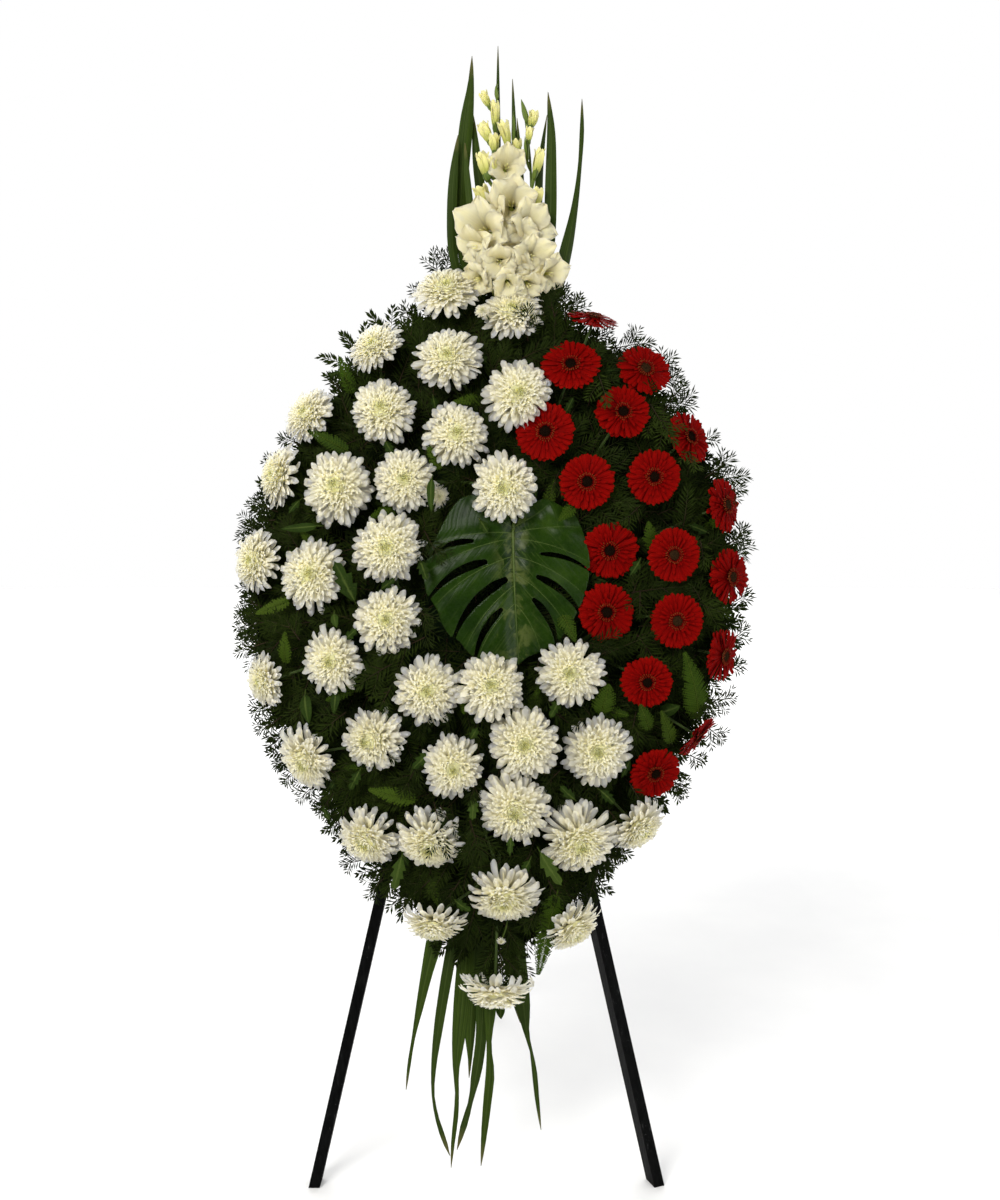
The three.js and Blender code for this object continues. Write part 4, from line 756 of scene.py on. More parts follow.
FANS = {
    "sword_leaves_upper_left": {"tie": [3.5, 27.7, 1437, 1449, 41.0, 63.0], "blades": [
        [[8.5, 1436.0, 57.0, 8.0], [0.8, 1536.7, 57.0, 11.0], [-28.5, 1618.1, 65.6, 16.5], [-55.7, 1684.8, 78.8, 16.4], [-61.0, 1774.5, 88.0, 18.2], [-57.5, 1852.4, 88.0, 14.6], [-50.3, 1917.4, 88.0, 2.7]],
        [[12.6, 1436.0, 52.0, 8.0], [8.1, 1537.9, 52.0, 12.9], [-17.6, 1620.0, 58.1, 18.4], [-41.3, 1709.6, 70.1, 20.2], [-43.2, 1838.7, 74.0, 23.8], [-34.2, 1954.7, 74.0, 23.9], [-26.9, 2022.3, 74.0, 11.0], [-25.1, 2071.2, 74.0, 2.8]],
        [[14.6, 1436.0, 61.0, 8.0], [11.8, 1535.8, 61.0, 9.2], [-10.0, 1634.2, 74.5, 11.0], [-20.7, 1721.3, 92.6, 10.9], [-28.0, 1784.8, 96.0, 12.7], [-33.5, 1840.2, 96.0, 10.9], [-37.3, 1899.5, 96.0, 2.7]],
        [[16.6, 1436.0, 47.0, 8.0], [15.4, 1539.0, 47.0, 11.1], [8.1, 1658.0, 55.5, 16.6], [-4.8, 1786.1, 64.0, 18.4], [-15.9, 1879.7, 64.0, 16.6], [-23.4, 1968.1, 64.0, 2.8]],
        [[22.7, 1436.0, 43.0, 8.0], [26.5, 1540.0, 43.0, 11.1], [24.7, 1659.7, 49.5, 14.8], [22.8, 1845.1, 56.0, 12.9], [22.8, 1976.9, 56.0, 8.3], [22.8, 2098.1, 56.0, 2.2]],
    ]},
    "sword_leaves_upper_right": {"tie": [51.4, 85.5, 1437, 1449, 44.0, 66.0], "blades": [
        [[56.4, 1436.0, 46.0, 8.0], [48.6, 1539.3, 46.0, 11.1], [52.3, 1658.4, 54.0, 14.7], [56.0, 1805.5, 62.0, 12.9], [52.4, 1936.8, 62.0, 9.2], [49.6, 2033.0, 62.0, 2.2]],
        [[62.5, 1436.0, 56.0, 8.0], [59.6, 1536.9, 56.0, 9.2], [66.8, 1654.8, 67.0, 12.8], [66.8, 1800.1, 78.0, 11.0], [63.2, 1874.6, 78.0, 9.2], [57.7, 1953.1, 78.0, 2.2]],
        [[68.6, 1436.0, 51.0, 8.0], [70.7, 1538.1, 51.0, 11.0], [89.0, 1638.6, 58.3, 16.5], [96.2, 1765.5, 69.9, 16.5], [101.9, 1868.2, 70.0, 12.9], [113.1, 1961.9, 70.0, 2.2]],
        [[74.5, 1436.0, 60.0, 8.0], [81.5, 1536.0, 60.0, 12.8], [103.4, 1617.6, 67.2, 20.1], [115.9, 1724.1, 83.5, 22.8], [119.7, 1853.1, 86.0, 20.1], [119.8, 1927.5, 86.0, 14.6], [114.4, 1998.5, 86.0, 2.7]],
        [[80.5, 1436.0, 64.0, 8.0], [92.4, 1535.1, 64.0, 12.8], [123.4, 1607.4, 70.8, 21.9], [146.6, 1693.5, 86.9, 23.7], [162.9, 1779.9, 94.0, 12.7], [172.2, 1859.5, 94.0, 7.3], [176.0, 1924.4, 94.0, 8.2], [176.2, 1982.1, 94.0, 2.2]],
    ]},
    "sword_leaves_lower_left": {"tie": [-33.6, -17.1, 676, 688, 50.0, 59.0], "blades": [
        [[-28.6, 690.0, 57.0, 8.0], [-27.6, 652.8, 57.0, 14.4], [-65.6, 544.2, 47.6, 28.9], [-91.3, 452.3, 33.4, 30.8], [-106.0, 393.5, 26.4, 21.8], [-118.7, 333.9, 24.0, 14.5], [-131.2, 271.3, 24.0, 6.3], [-138.3, 226.7, 24.0, 6.3], [-143.5, 182.2, 24.0, 2.2]],
        [[-22.1, 690.0, 52.0, 8.0], [-16.9, 652.2, 52.0, 14.5], [-42.3, 543.4, 42.3, 21.7], [-60.7, 442.0, 26.4, 20.9], [-73.6, 368.6, 18.7, 20.0], [-86.1, 287.7, 18.0, 16.4], [-94.2, 216.2, 18.0, 9.1], [-94.9, 171.6, 18.0, 5.4], [-87.6, 130.6, 18.0, 7.2], [-74.8, 91.5, 18.0, 9.0], [-63.9, 63.0, 18.0, 2.7]],
    ]},
    "sword_leaves_lower_middle": {"tie": [-7.6, 14.4, 676, 688, 40.0, 52.0], "blades": [
        [[-2.6, 690.0, 47.0, 8.0], [-4.3, 651.7, 47.0, 14.5], [-22.5, 524.3, 34.8, 29.0], [-35.4, 413.5, 18.6, 31.0], [-44.5, 313.7, 14.0, 29.1], [-49.9, 259.8, 14.0, 21.8], [-53.4, 211.5, 14.0, 10.9], [-51.6, 175.8, 14.0, 7.3], [-53.3, 134.7, 14.0, 9.1], [-58.7, 86.6, 14.0, 7.2], [-62.2, 40.4, 14.0, 2.2]],
        [[1.7, 690.0, 42.0, 8.0], [2.9, 651.1, 42.0, 10.9], [-17.2, 467.9, 20.5, 21.9], [-24.6, 339.3, 8.0, 20.1], [-28.2, 276.3, 8.0, 18.2], [-28.2, 231.4, 8.0, 7.3], [-29.9, 199.1, 8.0, 2.2]],
        [[5.0, 690.0, 45.0, 8.0], [8.4, 651.5, 45.0, 14.5], [1.0, 487.1, 27.0, 29.1], [-4.5, 340.2, 12.0, 25.5], [-8.1, 268.3, 12.0, 20.0], [-17.1, 205.6, 12.0, 18.2], [-26.2, 160.9, 12.0, 9.1], [-38.8, 116.3, 12.0, 12.7], [-51.5, 71.7, 12.0, 2.7]],
        [[9.4, 690.0, 50.0, 8.0], [15.7, 652.0, 50.0, 12.7], [12.0, 488.4, 34.8, 21.8], [8.3, 324.5, 22.0, 21.8], [6.6, 261.9, 22.0, 9.1], [8.4, 208.3, 22.0, 16.3], [3.9, 163.8, 22.0, 15.4], [-2.4, 101.6, 22.0, 10.8], [-7.8, 46.7, 22.0, 2.2]],
    ]},
    "sword_leaves_lower_right": {"tie": [24.5, 37.7, 676, 688, 52.0, 59.0], "blades": [
        [[32.7, 690.0, 57.0, 8.0], [31.9, 652.8, 57.0, 14.4], [48.2, 525.7, 44.1, 25.3], [61.0, 415.2, 26.9, 27.2], [70.1, 324.5, 22.0, 23.6], [75.5, 279.8, 22.0, 9.1], [82.7, 253.0, 22.0, 5.4], [88.1, 220.8, 22.0, 9.1], [93.5, 167.4, 22.0, 8.1], [100.6, 110.5, 22.0, 2.2]],
        [[29.5, 690.0, 54.0, 8.0], [26.5, 652.4, 54.0, 14.4], [35.5, 525.2, 40.7, 25.3], [48.3, 414.4, 23.0, 29.1], [61.1, 341.5, 18.0, 25.5], [70.1, 302.0, 18.0, 16.4]],
    ]},
}
SPIKES = {
  "gladiolus_spike_left": {
    "stem": [[26, 1442, 72], [24, 1560, 72], [21, 1742, 80], [21, 1935, 66], [20.9, 2024, 60]],
    "florets": [[39.3, 1858.3, 92, 35, 0.105, -0.105, 0.989, 0], [46.4, 1785.8, 104, 45, -0.07, -0.07, 0.995, 0], [-5.8, 1729.8, 124, 50, -0.342, -0.139, 0.931, 1], [-22.1, 1701.9, 114, 38, -0.616, -0.242, 0.765, 1], [24.7, 1669.2, 132, 34, -0.105, -0.342, 0.935, 0], [-16.6, 1640.5, 118, 31, -0.5, -0.438, 0.778, 0], [40.7, 1625.4, 140, 28, 0.087, -0.559, 0.826, 0], [8.3, 1771.2, 98, 34, -0.5, 0.0, 0.866, 0]],
    "buds": [[9.9, 1973.8, 68.5, -6.6, 2003.7, 73.5, 7.6, 0], [21.0, 1991.7, 66.0, 19.1, 2019.8, 71.0, 5.1, 1], [17.3, 1928.1, 75.0, 17.3, 1984.1, 80.0, 7.6, 0], [11.8, 1902.4, 78.6, -8.3, 1941.5, 83.6, 10.2, 0], [43.0, 1890.5, 80.3, 32.0, 1944.6, 85.3, 8.5, 0], [17.3, 1882.7, 81.4, 15.5, 1919.9, 86.4, 9.3, 0], [4.6, 1833.7, 88.4, -8.1, 1883.8, 93.4, 11.0, 0], [15.6, 1837.6, 87.8, 10.1, 1872.9, 92.8, 9.3, 0], [1.1, 1781.1, 96.0, -11.6, 1818.2, 101.0, 12.8, 0]],
  },
  "gladiolus_spike_right": {
    "stem": [[60, 1442, 74], [64, 1560, 72], [81, 1722, 84], [81.8, 1880, 64], [71, 1981, 54]],
    "florets": [[82.4, 1744.0, 114, 43, 0.375, -0.105, 0.922, 1], [83.8, 1679.5, 128, 37, 0.309, -0.276, 0.914, 1], [119.8, 1650.3, 122, 34, 0.588, -0.276, 0.778, 1], [66.2, 1715.9, 110, 36, 0.139, -0.139, 0.981, 0], [78.3, 1626.3, 130, 29, 0.242, -0.588, 0.785, 0], [58.9, 1662.4, 118, 30, 0.0, -0.342, 0.94, 0]],
    "buds": [[50.4, 1898.7, 73.4, 52.2, 1964.2, 78.4, 5.1, 1], [57.7, 1886.9, 75.1, 57.7, 1913.0, 80.1, 7.6, 0], [78.1, 1946.3, 66.7, 65.2, 1989.4, 71.7, 6.0, 1], [81.8, 1934.4, 68.4, 90.9, 1968.0, 73.4, 8.5, 0], [78.0, 1906.6, 72.3, 81.6, 1936.5, 77.3, 6.8, 0], [76.0, 1869.2, 77.6, 74.1, 1915.8, 82.6, 6.8, 1], [88.7, 1839.7, 81.8, 101.4, 1891.8, 86.8, 9.3, 0], [88.4, 1777.3, 90.8, 97.4, 1816.3, 95.8, 9.3, 0]],
  },
}
# named sprigs, fronds and leaves: foot, tip, then what each is like
SPRIGS = [
    [76.5, 1527.9, 125.9, 69.0, 1579.8, 148.8, 2, 15, 0.1, 0.35],
    [108.0, 1570.5, 92.9, 94.9, 1631.5, 111.3, 3, 15, 0.05, 0.3],
    [128.0, 1565.3, 91.3, 118.4, 1626.2, 110.5, 3, 15, 0.0, 0.3],
    [146.3, 1571.9, 87.2, 140.2, 1624.1, 104.9, 2, 14, 0.05, 0.4],
    [161.0, 1580.0, 84.2, 169.8, 1614.7, 92.1, 2, 13, 0.0, 0.15],
    [200.7, 1535.4, 86.4, 226.4, 1552.5, 106.6, 1, 12, 0.0, 0.2],
    [222.8, 1521.9, 81.3, 301.1, 1544.3, 64.0, 3, 16, 0.0, 0.15],
    [284.5, 1539.2, 46.4, 258.2, 1553.7, 94.1, 1, 14, 0.0, 0.15],
    [309.4, 1478.6, 69.0, 337.8, 1518.9, 62.0, 2, 16, 0.0, 0.2],
    [325.6, 1465.4, 70.3, 354.3, 1482.3, 60.0, 2, 16, 0.0, 0.2],
    [319.1, 1402.7, 91.4, 358.7, 1459.4, 81.6, 2, 16, 0.0, 0.15],
    [334.0, 1406.9, 88.4, 371.9, 1445.6, 77.3, 2, 16, 0.0, 0.15],
    [288.2, 1427.5, 95.2, 298.1, 1447.5, 121.8, 1, 15, 0.0, 0.2],
    [198.6, 1468.6, 141.3, 220.7, 1405.4, 172.9, 1, 14, 0.35, 0.9],
    [294.5, 1415.4, 120.4, 330.6, 1343.2, 143.7, 3, 15, 0.35, 0.9],
    [316.7, 1405.9, 113.5, 323.4, 1350.2, 144.5, 2, 14, 0.3, 0.8],
    [362.5, 1344.1, 116.1, 360.7, 1297.4, 140.6, 2, 12, 0.45, 0.9],
    [384.5, 1345.4, 86.0, 413.5, 1368.9, 86.8, 1, 13, 0.0, 0.2],
    [395.4, 1285.9, 95.1, 447.8, 1323.6, 73.6, 2, 17, 0.0, 0.2],
    [408.7, 1279.3, 90.1, 480.1, 1302.6, 54.0, 1, 19, 0.0, 0.3],
    [415.5, 1260.9, 92.1, 463.3, 1273.9, 76.1, 1, 17, 0.0, 0.2],
    [450.3, 1139.0, 81.8, 502.8, 1188.8, 54.0, 2, 16, 0.1, 0.6],
    [456.5, 1146.6, 77.3, 495.5, 1156.0, 52.0, 1, 16, 0.1, 0.6],
    [437.1, 1165.6, 87.1, 473.4, 1191.0, 86.9, 2, 15, 0.0, 0.2],
    [450.0, 1063.2, 79.9, 480.9, 1081.3, 79.0, 2, 15, 0.0, 0.3],
    [440.4, 994.7, 79.7, 476.7, 1011.3, 68.5, 2, 15, 0.0, 0.2],
    [437.5, 944.4, 72.9, 463.1, 951.7, 71.2, 2, 14, 0.0, 0.2],
    [407.0, 887.0, 81.0, 449.4, 886.5, 52.0, 2, 15, 0.0, 0.25],
    [392.9, 842.2, 76.9, 432.8, 817.7, 50.0, 2, 15, 0.0, 0.2],
    [368.2, 788.2, 71.0, 391.1, 775.0, 60.5, 2, 14, 0.0, 0.2],
    [327.4, 744.0, 79.0, 361.1, 730.6, 66.9, 2, 14, 0.0, 0.25],
    [334.1, 762.2, 84.1, 354.1, 707.7, 50.0, 2, 13, 0.0, 0.2],
    [-84.1, 1647.7, 52.3, -91.3, 1709.5, 58.0, 3, 13, 0.0, 0.15],
    [-73.0, 1651.0, 53.9, -73.0, 1713.9, 56.0, 2, 12, 0.0, 0.15],
    [-111.0, 1618.2, 64.9, -134.1, 1635.5, 76.4, 1, 13, 0.0, 0.2],
    [-137.3, 1573.4, 80.9, -146.9, 1597.6, 101.2, 2, 13, 0.0, 0.2],
    [129.3, 1619.0, 62.0, 147.0, 1639.1, 76.8, 2, 13, 0.0, 0.2],
    [-180.8, 1477.3, 100.6, -243.4, 1483.5, 105.6, 1, 13, 0.0, 0.2],
    [-263.2, 1438.2, 87.0, -268.6, 1469.2, 104.7, 2, 13, 0.0, 0.2],
    [-335.3, 1347.3, 84.9, -366.8, 1362.5, 92.5, 2, 13, 0.0, 0.2],
    [-368.3, 1306.2, 80.1, -393.3, 1327.6, 83.1, 2, 12, 0.0, 0.2],
    [-377.8, 1210.0, 95.1, -446.7, 1212.8, 52.0, 3, 15, 0.0, 0.2],
    [-372.5, 1224.4, 95.5, -418.2, 1242.9, 91.7, 3, 15, 0.0, 0.25],
    [-382.8, 1181.0, 96.2, -443.5, 1175.5, 78.0, 2, 15, 0.0, 0.2],
    [-392.3, 1238.3, 84.6, -401.1, 1260.2, 98.0, 2, 12, 0.0, 0.15],
    [-394.9, 1026.4, 101.6, -484.5, 1015.4, 54.0, 3, 17, 0.0, 0.45],
    [-399.6, 1040.9, 95.5, -472.4, 1046.4, 52.0, 1, 14, 0.0, 0.35],
    [-387.5, 990.7, 101.2, -462.6, 975.4, 52.0, 3, 16, 0.0, 0.35],
    [-399.7, 1055.3, 95.4, -431.1, 1060.4, 100.7, 1, 13, 0.0, 0.1],
    [-408.0, 1084.2, 90.5, -440.0, 1087.7, 92.6, 1, 12, 0.0, 0.1],
    [-364.0, 993.9, 115.2, -394.8, 951.3, 119.7, 2, 14, 0.0, 0.3],
    [-341.9, 1014.2, 145.9, -380.9, 1031.8, 144.0, 2, 16, 0.05, 0.5],
    [-323.8, 993.1, 148.4, -351.1, 1027.9, 155.2, 2, 15, 0.05, 0.5],
    [-374.0, 887.2, 91.0, -416.7, 867.3, 80.6, 3, 14, 0.0, 0.15],
    [-363.2, 858.7, 90.0, -403.2, 825.9, 73.3, 3, 14, 0.0, 0.15],
    [-360.5, 824.5, 82.5, -390.3, 804.5, 74.2, 2, 14, 0.0, 0.15],
    [-346.9, 779.4, 74.6, -377.3, 771.6, 63.6, 2, 14, 0.0, 0.15],
    [-336.4, 757.8, 71.9, -366.8, 741.8, 48.0, 2, 14, 0.0, 0.15],
    [-298.5, 744.6, 86.8, -336.0, 705.6, 46.0, 3, 14, 0.0, 0.15],
    [-267.3, 723.8, 93.2, -298.6, 687.5, 83.0, 3, 14, 0.0, 0.15],
    [-240.0, 699.4, 96.9, -269.5, 652.3, 85.7, 2, 14, 0.0, 0.15],
    [-220.8, 600.8, 70.0, -257.4, 590.5, 46.0, 2, 13, 0.0, 0.15],
    [-180.6, 569.9, 77.8, -215.6, 536.8, 46.0, 2, 14, 0.0, 0.15],
    [-103.9, 997.8, 166.7, -181.2, 957.8, 176.8, 3, 17, 0.1, 0.75],
    [-161.4, 951.0, 162.9, -223.0, 919.7, 171.5, 3, 16, 0.1, 0.7],
    [-243.1, 867.2, 143.7, -291.5, 832.4, 145.9, 3, 15, 0.05, 0.6],
    [-161.5, 912.7, 159.9, -184.8, 874.8, 170.9, 2, 14, 0.1, 0.7],
    [-215.5, 821.5, 136.6, -160.7, 784.7, 163.7, 2, 14, 0.05, 0.4],
    [-288.3, 778.2, 112.6, -243.2, 737.7, 135.3, 3, 15, 0.0, 0.4],
    [-121.8, 766.3, 145.7, -143.5, 729.2, 158.8, 2, 15, 0.0, 0.4],
    [-88.0, 712.0, 160.5, -68.0, 622.0, 169.2, 1, 12, 0.0, 0.3],
    [-77.1, 705.9, 160.1, -48.9, 658.8, 166.5, 0, 11, 0.0, 0.3],
    [-106.4, 1185.1, 162.6, -77.3, 1130.5, 186.8, 2, 15, 0.0, 0.3],
    [-126.9, 1062.4, 164.2, -90.9, 1023.2, 186.4, 2, 15, 0.0, 0.3],
    [-116.2, 881.4, 158.4, -70.0, 851.0, 182.6, 2, 15, 0.0, 0.3],
    [-8.2, 763.8, 161.1, -25.2, 716.8, 174.8, 2, 14, 0.0, 0.3],
    [132.6, 1161.4, 133.5, 202.7, 1204.6, 144.3, 1, 13, 0.0, 0.2],
    [179.0, 1496.3, 113.8, 205.2, 1519.0, 125.1, 2, 14, 0.05, 0.6],
    [132.2, 1292.4, 150.4, 110.0, 1249.7, 179.9, 2, 14, 0.0, 0.3],
    [273.7, 1231.6, 141.2, 242.6, 1194.7, 171.4, 2, 14, 0.2, 0.7],
    [381.9, 1171.4, 121.2, 389.3, 1123.5, 141.8, 2, 14, 0.2, 0.7],
    [272.3, 1080.9, 147.0, 269.8, 1034.2, 170.4, 2, 13, 0.0, 0.4],
    [381.7, 1064.8, 117.6, 367.2, 1091.4, 147.4, 2, 14, 0.0, 0.4],
    [219.1, 975.6, 148.5, 185.8, 957.8, 176.0, 2, 14, 0.0, 0.3],
    [201.3, 853.3, 146.3, 154.3, 861.1, 176.1, 2, 14, 0.0, 0.3],
    [265.5, 866.9, 133.4, 252.7, 822.4, 155.7, 3, 15, 0.1, 0.6],
    [363.2, 905.3, 114.1, 403.2, 859.1, 105.5, 3, 15, 0.0, 0.4],
    [131.1, 766.4, 147.3, 102.5, 740.3, 168.9, 2, 14, 0.0, 0.3],
    [254.1, 741.3, 130.3, 280.0, 700.0, 118.0, 1, 13, 0.0, 0.3],
    [215.3, 696.2, 137.7, 240.0, 668.0, 126.0, 1, 12, 0.0, 0.35],
    [210.9, 636.1, 98.7, 225.2, 593.5, 95.4, 2, 13, 0.0, 0.2],
    [225.5, 639.1, 93.8, 249.0, 610.2, 88.2, 1, 12, 0.0, 0.2],
    [-25.8, 679.4, 143.8, -4.7, 611.6, 154.2, 4, 15, 0.0, 0.6],
    [0.3, 647.9, 140.7, -42.9, 614.7, 151.6, 3, 15, 0.0, 0.6],
    [26.5, 609.0, 134.1, -4.8, 572.7, 146.6, 3, 14, 0.0, 0.6],
    [-96.7, 571.6, 114.9, -132.0, 539.5, 110.4, 3, 14, 0.0, 0.2],
    [-43.6, 573.0, 124.9, -68.0, 529.8, 126.1, 2, 14, 0.0, 0.2],
    [96.7, 537.3, 118.2, 75.6, 485.6, 120.9, 3, 14, 0.05, 0.5],
    [110.9, 572.0, 117.7, 131.7, 529.0, 120.9, 2, 14, 0.0, 0.3],
    [119.6, 583.3, 72.0, 188.0, 525.0, 62.0, 3, 17, 0.0, 0.10],
    [137.5, 568.8, 70.0, 158.9, 501.1, 68.0, 3, 16, 0.0, 0.10],
    [201.9, 590.4, 72.0, 187.9, 528.8, 64.0, 2, 15, 0.0, 0.10],
    [22.9, 486.2, 74.0, 31.8, 377.3, 84.0, 3, 15, 0.0, 0.10],
    [48.0, 485.5, 70.0, 21.2, 403.7, 76.0, 2, 15, 0.0, 0.10],
    [40.8, 497.6, 68.0, 37.2, 371.6, 74.0, 3, 18, 0.0, 0.10],
    [37.2, 467.8, 70.0, 55.0, 380.9, 76.0, 2, 13, 0.0, 0.10],
]
FRONDS = [
    [201.0, 860.4, 151.2, 214.4, 912.9, 184.4, 26, 0.1],
    [379.7, 848.1, 94.7, 358.1, 971.9, 156.1, 30, 0.0],
    [330.8, 809.9, 113.4, 308.6, 867.5, 156.5, 17, 0.3],
    [-343.7, 1063.9, 135.8, -400.7, 1037.6, 131.0, 15, 0.5],
    [-116.4, 714.4, 147.4, -199.6, 732.1, 152.9, 20, 0.3],
    [-239.8, 1327.3, 131.6, -315.5, 1364.1, 125.2, 18, 0.0],
    [-78.8, 1291.2, 158.7, -99.1, 1330.7, 176.7, 14, 0.3],
    [128.3, 555.2, 121.4, 81.6, 404.3, 78.7, 27, 0.05],
    [-351.7, 951.3, 124.0, -351.4, 1005.2, 152.3, 16, 0.25],
    [157.9, 1229.4, 159.4, 130.5, 1200.1, 185.7, 14, 0.1],
    [290.7, 835.1, 126.1, 269.8, 878.0, 161.9, 18, 0.1],
    [-158.1, 1221.5, 151.1, -196.5, 1208.5, 172.9, 16, 0.1],
    [131.4, 1045.4, 155.0, 156.4, 992.4, 177.2, 18, 0.0],
    [-29.2, 905.8, 160.9, -38.9, 868.3, 186.1, 15, 0.1]]
LEAVES = [
    [-145.1, 615.4, 129.8, -159.8, 554.5, 117.3, 14, 0.9, 3],
    [-18.4, 721.5, 169.8, -21.7, 682.7, 176.5, 12, 0.85, 3],
    [96.0, 625.0, 151.1, 130.8, 565.6, 145.5, 15, 1.0, 3],
    [-225.9, 1058.7, 167.8, -254.6, 1131.1, 179.0, 20, 0.25, 3],
    [-315.6, 898.6, 139.4, -307.1, 846.4, 147.7, 11, 0.45, 0],
    [-293.9, 1193.8, 146.2, -358.0, 1182.0, 140.8, 8, 0.45, 0],
    [-262.2, 1037.8, 168.9, -257.3, 1013.1, 179.3, 7, 0.8, 0],
    [-259.8, 902.2, 152.4, -258.7, 864.1, 159.8, 8, 0.35, 0],
    [-91.9, 1274.2, 179.2, -97.7, 1212.7, 197.5, 7, 0.6, 0],
    [45.5, 653.6, 161.0, 42.0, 619.9, 165.5, 8, 0.7, 2],
    [26.5, 340.2, 44.0, 28.3, 315.5, 52.0, 8, 0.6, 0],
    [-94.7, 798.7, 167.2, -125.5, 771.5, 171.9, 12, 0.4, 3],
    [130.5, 888.6, 169.2, 109.1, 861.4, 185.4, 11, 0.5, 3],
    [-25.4, 819.6, 171.4, -11.3, 840.9, 187.6, 10, 0.5, 2],
    [-243.4, 992.7, 163.1, -219.2, 1013.1, 180.1, 9, 0.55, 2],
    [271.2, 1132.6, 161.1, 252.0, 1105.1, 178.8, 10, 0.4, 2],
    [157.2, 714.4, 147.5, 130.1, 740.4, 170.5, 11, 0.45, 3],
    [-112.5, 1131.4, 176.3, -97.7, 1095.5, 192.2, 12, 0.3, 3],
    [-328.1, 1241.7, 131.1, -344.2, 1215.7, 140.4, 9, 0.35, 2],
    [-176.2, 1345.6, 150.6, -162.3, 1310.8, 169.5, 10, 0.35, 3],
    [-8.3, 1200.9, 178.6, 5.8, 1175.2, 191.9, 9, 0.4, 2],
    [-182.3, 1079.5, 170.1, -153.4, 1095.9, 185.3, 10, 0.3, 3],
    [201.1, 731.3, 142.3, 228.9, 710.5, 143.0, 11, 0.35, 3],
    [-218.6, 765.8, 138.3, -235.9, 731.0, 138.3, 11, 0.3, 3],
    [-276.5, 673.8, 87.8, -289.1, 699.9, 102.0, 9, 0.3, 2],
    [78.7, 610.4, 145.2, 64.6, 587.5, 154.3, 10, 0.5, 3],
    [-52.2, 538.7, 127.3, -25.8, 519.2, 135.3, 10, 0.4, 3],
    [254.5, 783.0, 134.8, 235.6, 756.1, 148.6, 10, 0.3, 2],
    [106.0, 1426.0, 148.9, 96.6, 1395.9, 166.6, 8, 0.4, 2],
    [-275.1, 1321.6, 133.9, -287.5, 1296.5, 146.4, 9, 0.35, 2]]
BUDS = [[-5.3, 1574.3, 156.2, 8.5], [28.3, 465.9, 117.5, 5.0]]
BUD_FEET = [[8.7, 1559.9, 135.0], [40.5, 506.3, 119.9]]

M_MUM = mat_mum()
M_GREEN = mat_stem()
M_GERB = mat_gerbera()
M_RING = mat_gerbera_ring()
M_EYE = mat_gerbera_eye("gerbera eye", (0.0035, 0.0020, 0.0012), (0.010, 0.0040, 0.0018), (0.045, 0.0130, 0.0040), (0.035, 0.018, 0.007))
M_EYE_OPEN = mat_gerbera_eye("gerbera eye opened", (0.014, 0.0080, 0.0040), (0.045, 0.0200, 0.0080), (0.090, 0.0380, 0.0120), (0.110, 0.065, 0.022))


def back_of(h, d):
    h = np.asarray(h, float)
    return h[:3] - unit(h[3:6]) * d


def bowed(p, q, sag, n=7):
    """A stem from p to q that bows by sag."""
    p, q, sag = (np.asarray(x, float) for x in (p, q, sag))
    t = np.linspace(0, 1, n)[:, None]
    return p * (1 - t) + q * t + sag * (4 * t * (1 - t))


# how loosely each head is built: (looseness, how far the top petals fall back)
MUM_HABIT = {1: (1.0, 0.5), 2: (1.1, 0.3), 3: (1.2, 0.0), 5: (1.0, 0.0), 9: (1.3, 0.0), 13: (1.4, 0.0), 17: (1.3, 0.0), 22: (1.2, 0.3),
    10: (1.25, 0.0), 11: (1.0, 0.0), 15: (1.4, 0.0), 18: (1.4, 0.0), 19: (1.4, 0.0), 23: (1.5, 0.0), 24: (1.3, 0.0), 27: (1.2, 0.6),
    28: (1.3, 0.9), 29: (1.3, 0.9), 30: (1.3, 1.0), 31: (1.2, 0.8), 32: (1.25, 1.3), 33: (1.25, 1.5), 34: (1.2, 1.1), 35: (1.25, 1.5)}

# heads whose eye sits off the middle
MUM_OFF = {3: (0.05, -0.05), 6: (-0.05, 0.10), 10: (-0.04, 0.05), 15: (0.04, 0.02), 18: (-0.06, -0.02), 22: (0.06, -0.16), 23: (-0.22, -0.10),
    24: (0.02, -0.12), 27: (0.0, -0.10), 29: (-0.05, -0.10), 30: (0.10, -0.12), 20: (-0.03, 0.05)}

for g, group in enumerate(SPRAYS, 1):
    node = "chrysanthemum_spray_%02d" % g
    heads = [MUMS[k - 1] for k in group]
    for k in group:
        h = MUMS[k - 1]
        rng = np.random.default_rng(1000 + k)
        soup = Soup()
        loose, flop = MUM_HABIT.get(k, (1.05, 0.0))
        mum_head(soup, h[:3], h[3:6], h[6], rng, loose, flop, 0, 1, MUM_OFF.get(k, (0.0, 0.0)))
        o = soup.build("chrysanthemum_head_%02d" % k, [M_MUM, M_GREEN])
        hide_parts(node)
    rng = np.random.default_rng(1500 + g)
    mid = np.mean([back_of(h, 12) for h in heads], axis=0)
    foot = foot_in(mid[0], mid[1])
    joint = (mid + foot) / 2
    if g in JOINTS:
        joint, foot = (np.array(p, float) for p in JOINTS[g])
    soup = Soup()
    tube(soup, bowed(joint + unit(joint - foot) * 3, foot, (0, 0, 0)), np.linspace(3.6, 3.2, 7), 8, 0.3)
    for h in heads:
        top = back_of(h, 0.31 * h[6])
        pts = bowed(top, joint, rng.normal(0, 2.5, 3))
        tube(soup, pts, np.linspace(2.3, 3.0, 7), 7, rng.random())
    o = soup.build("chrysanthemum_stems_%02d" % g, [M_GREEN])
    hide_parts(node)

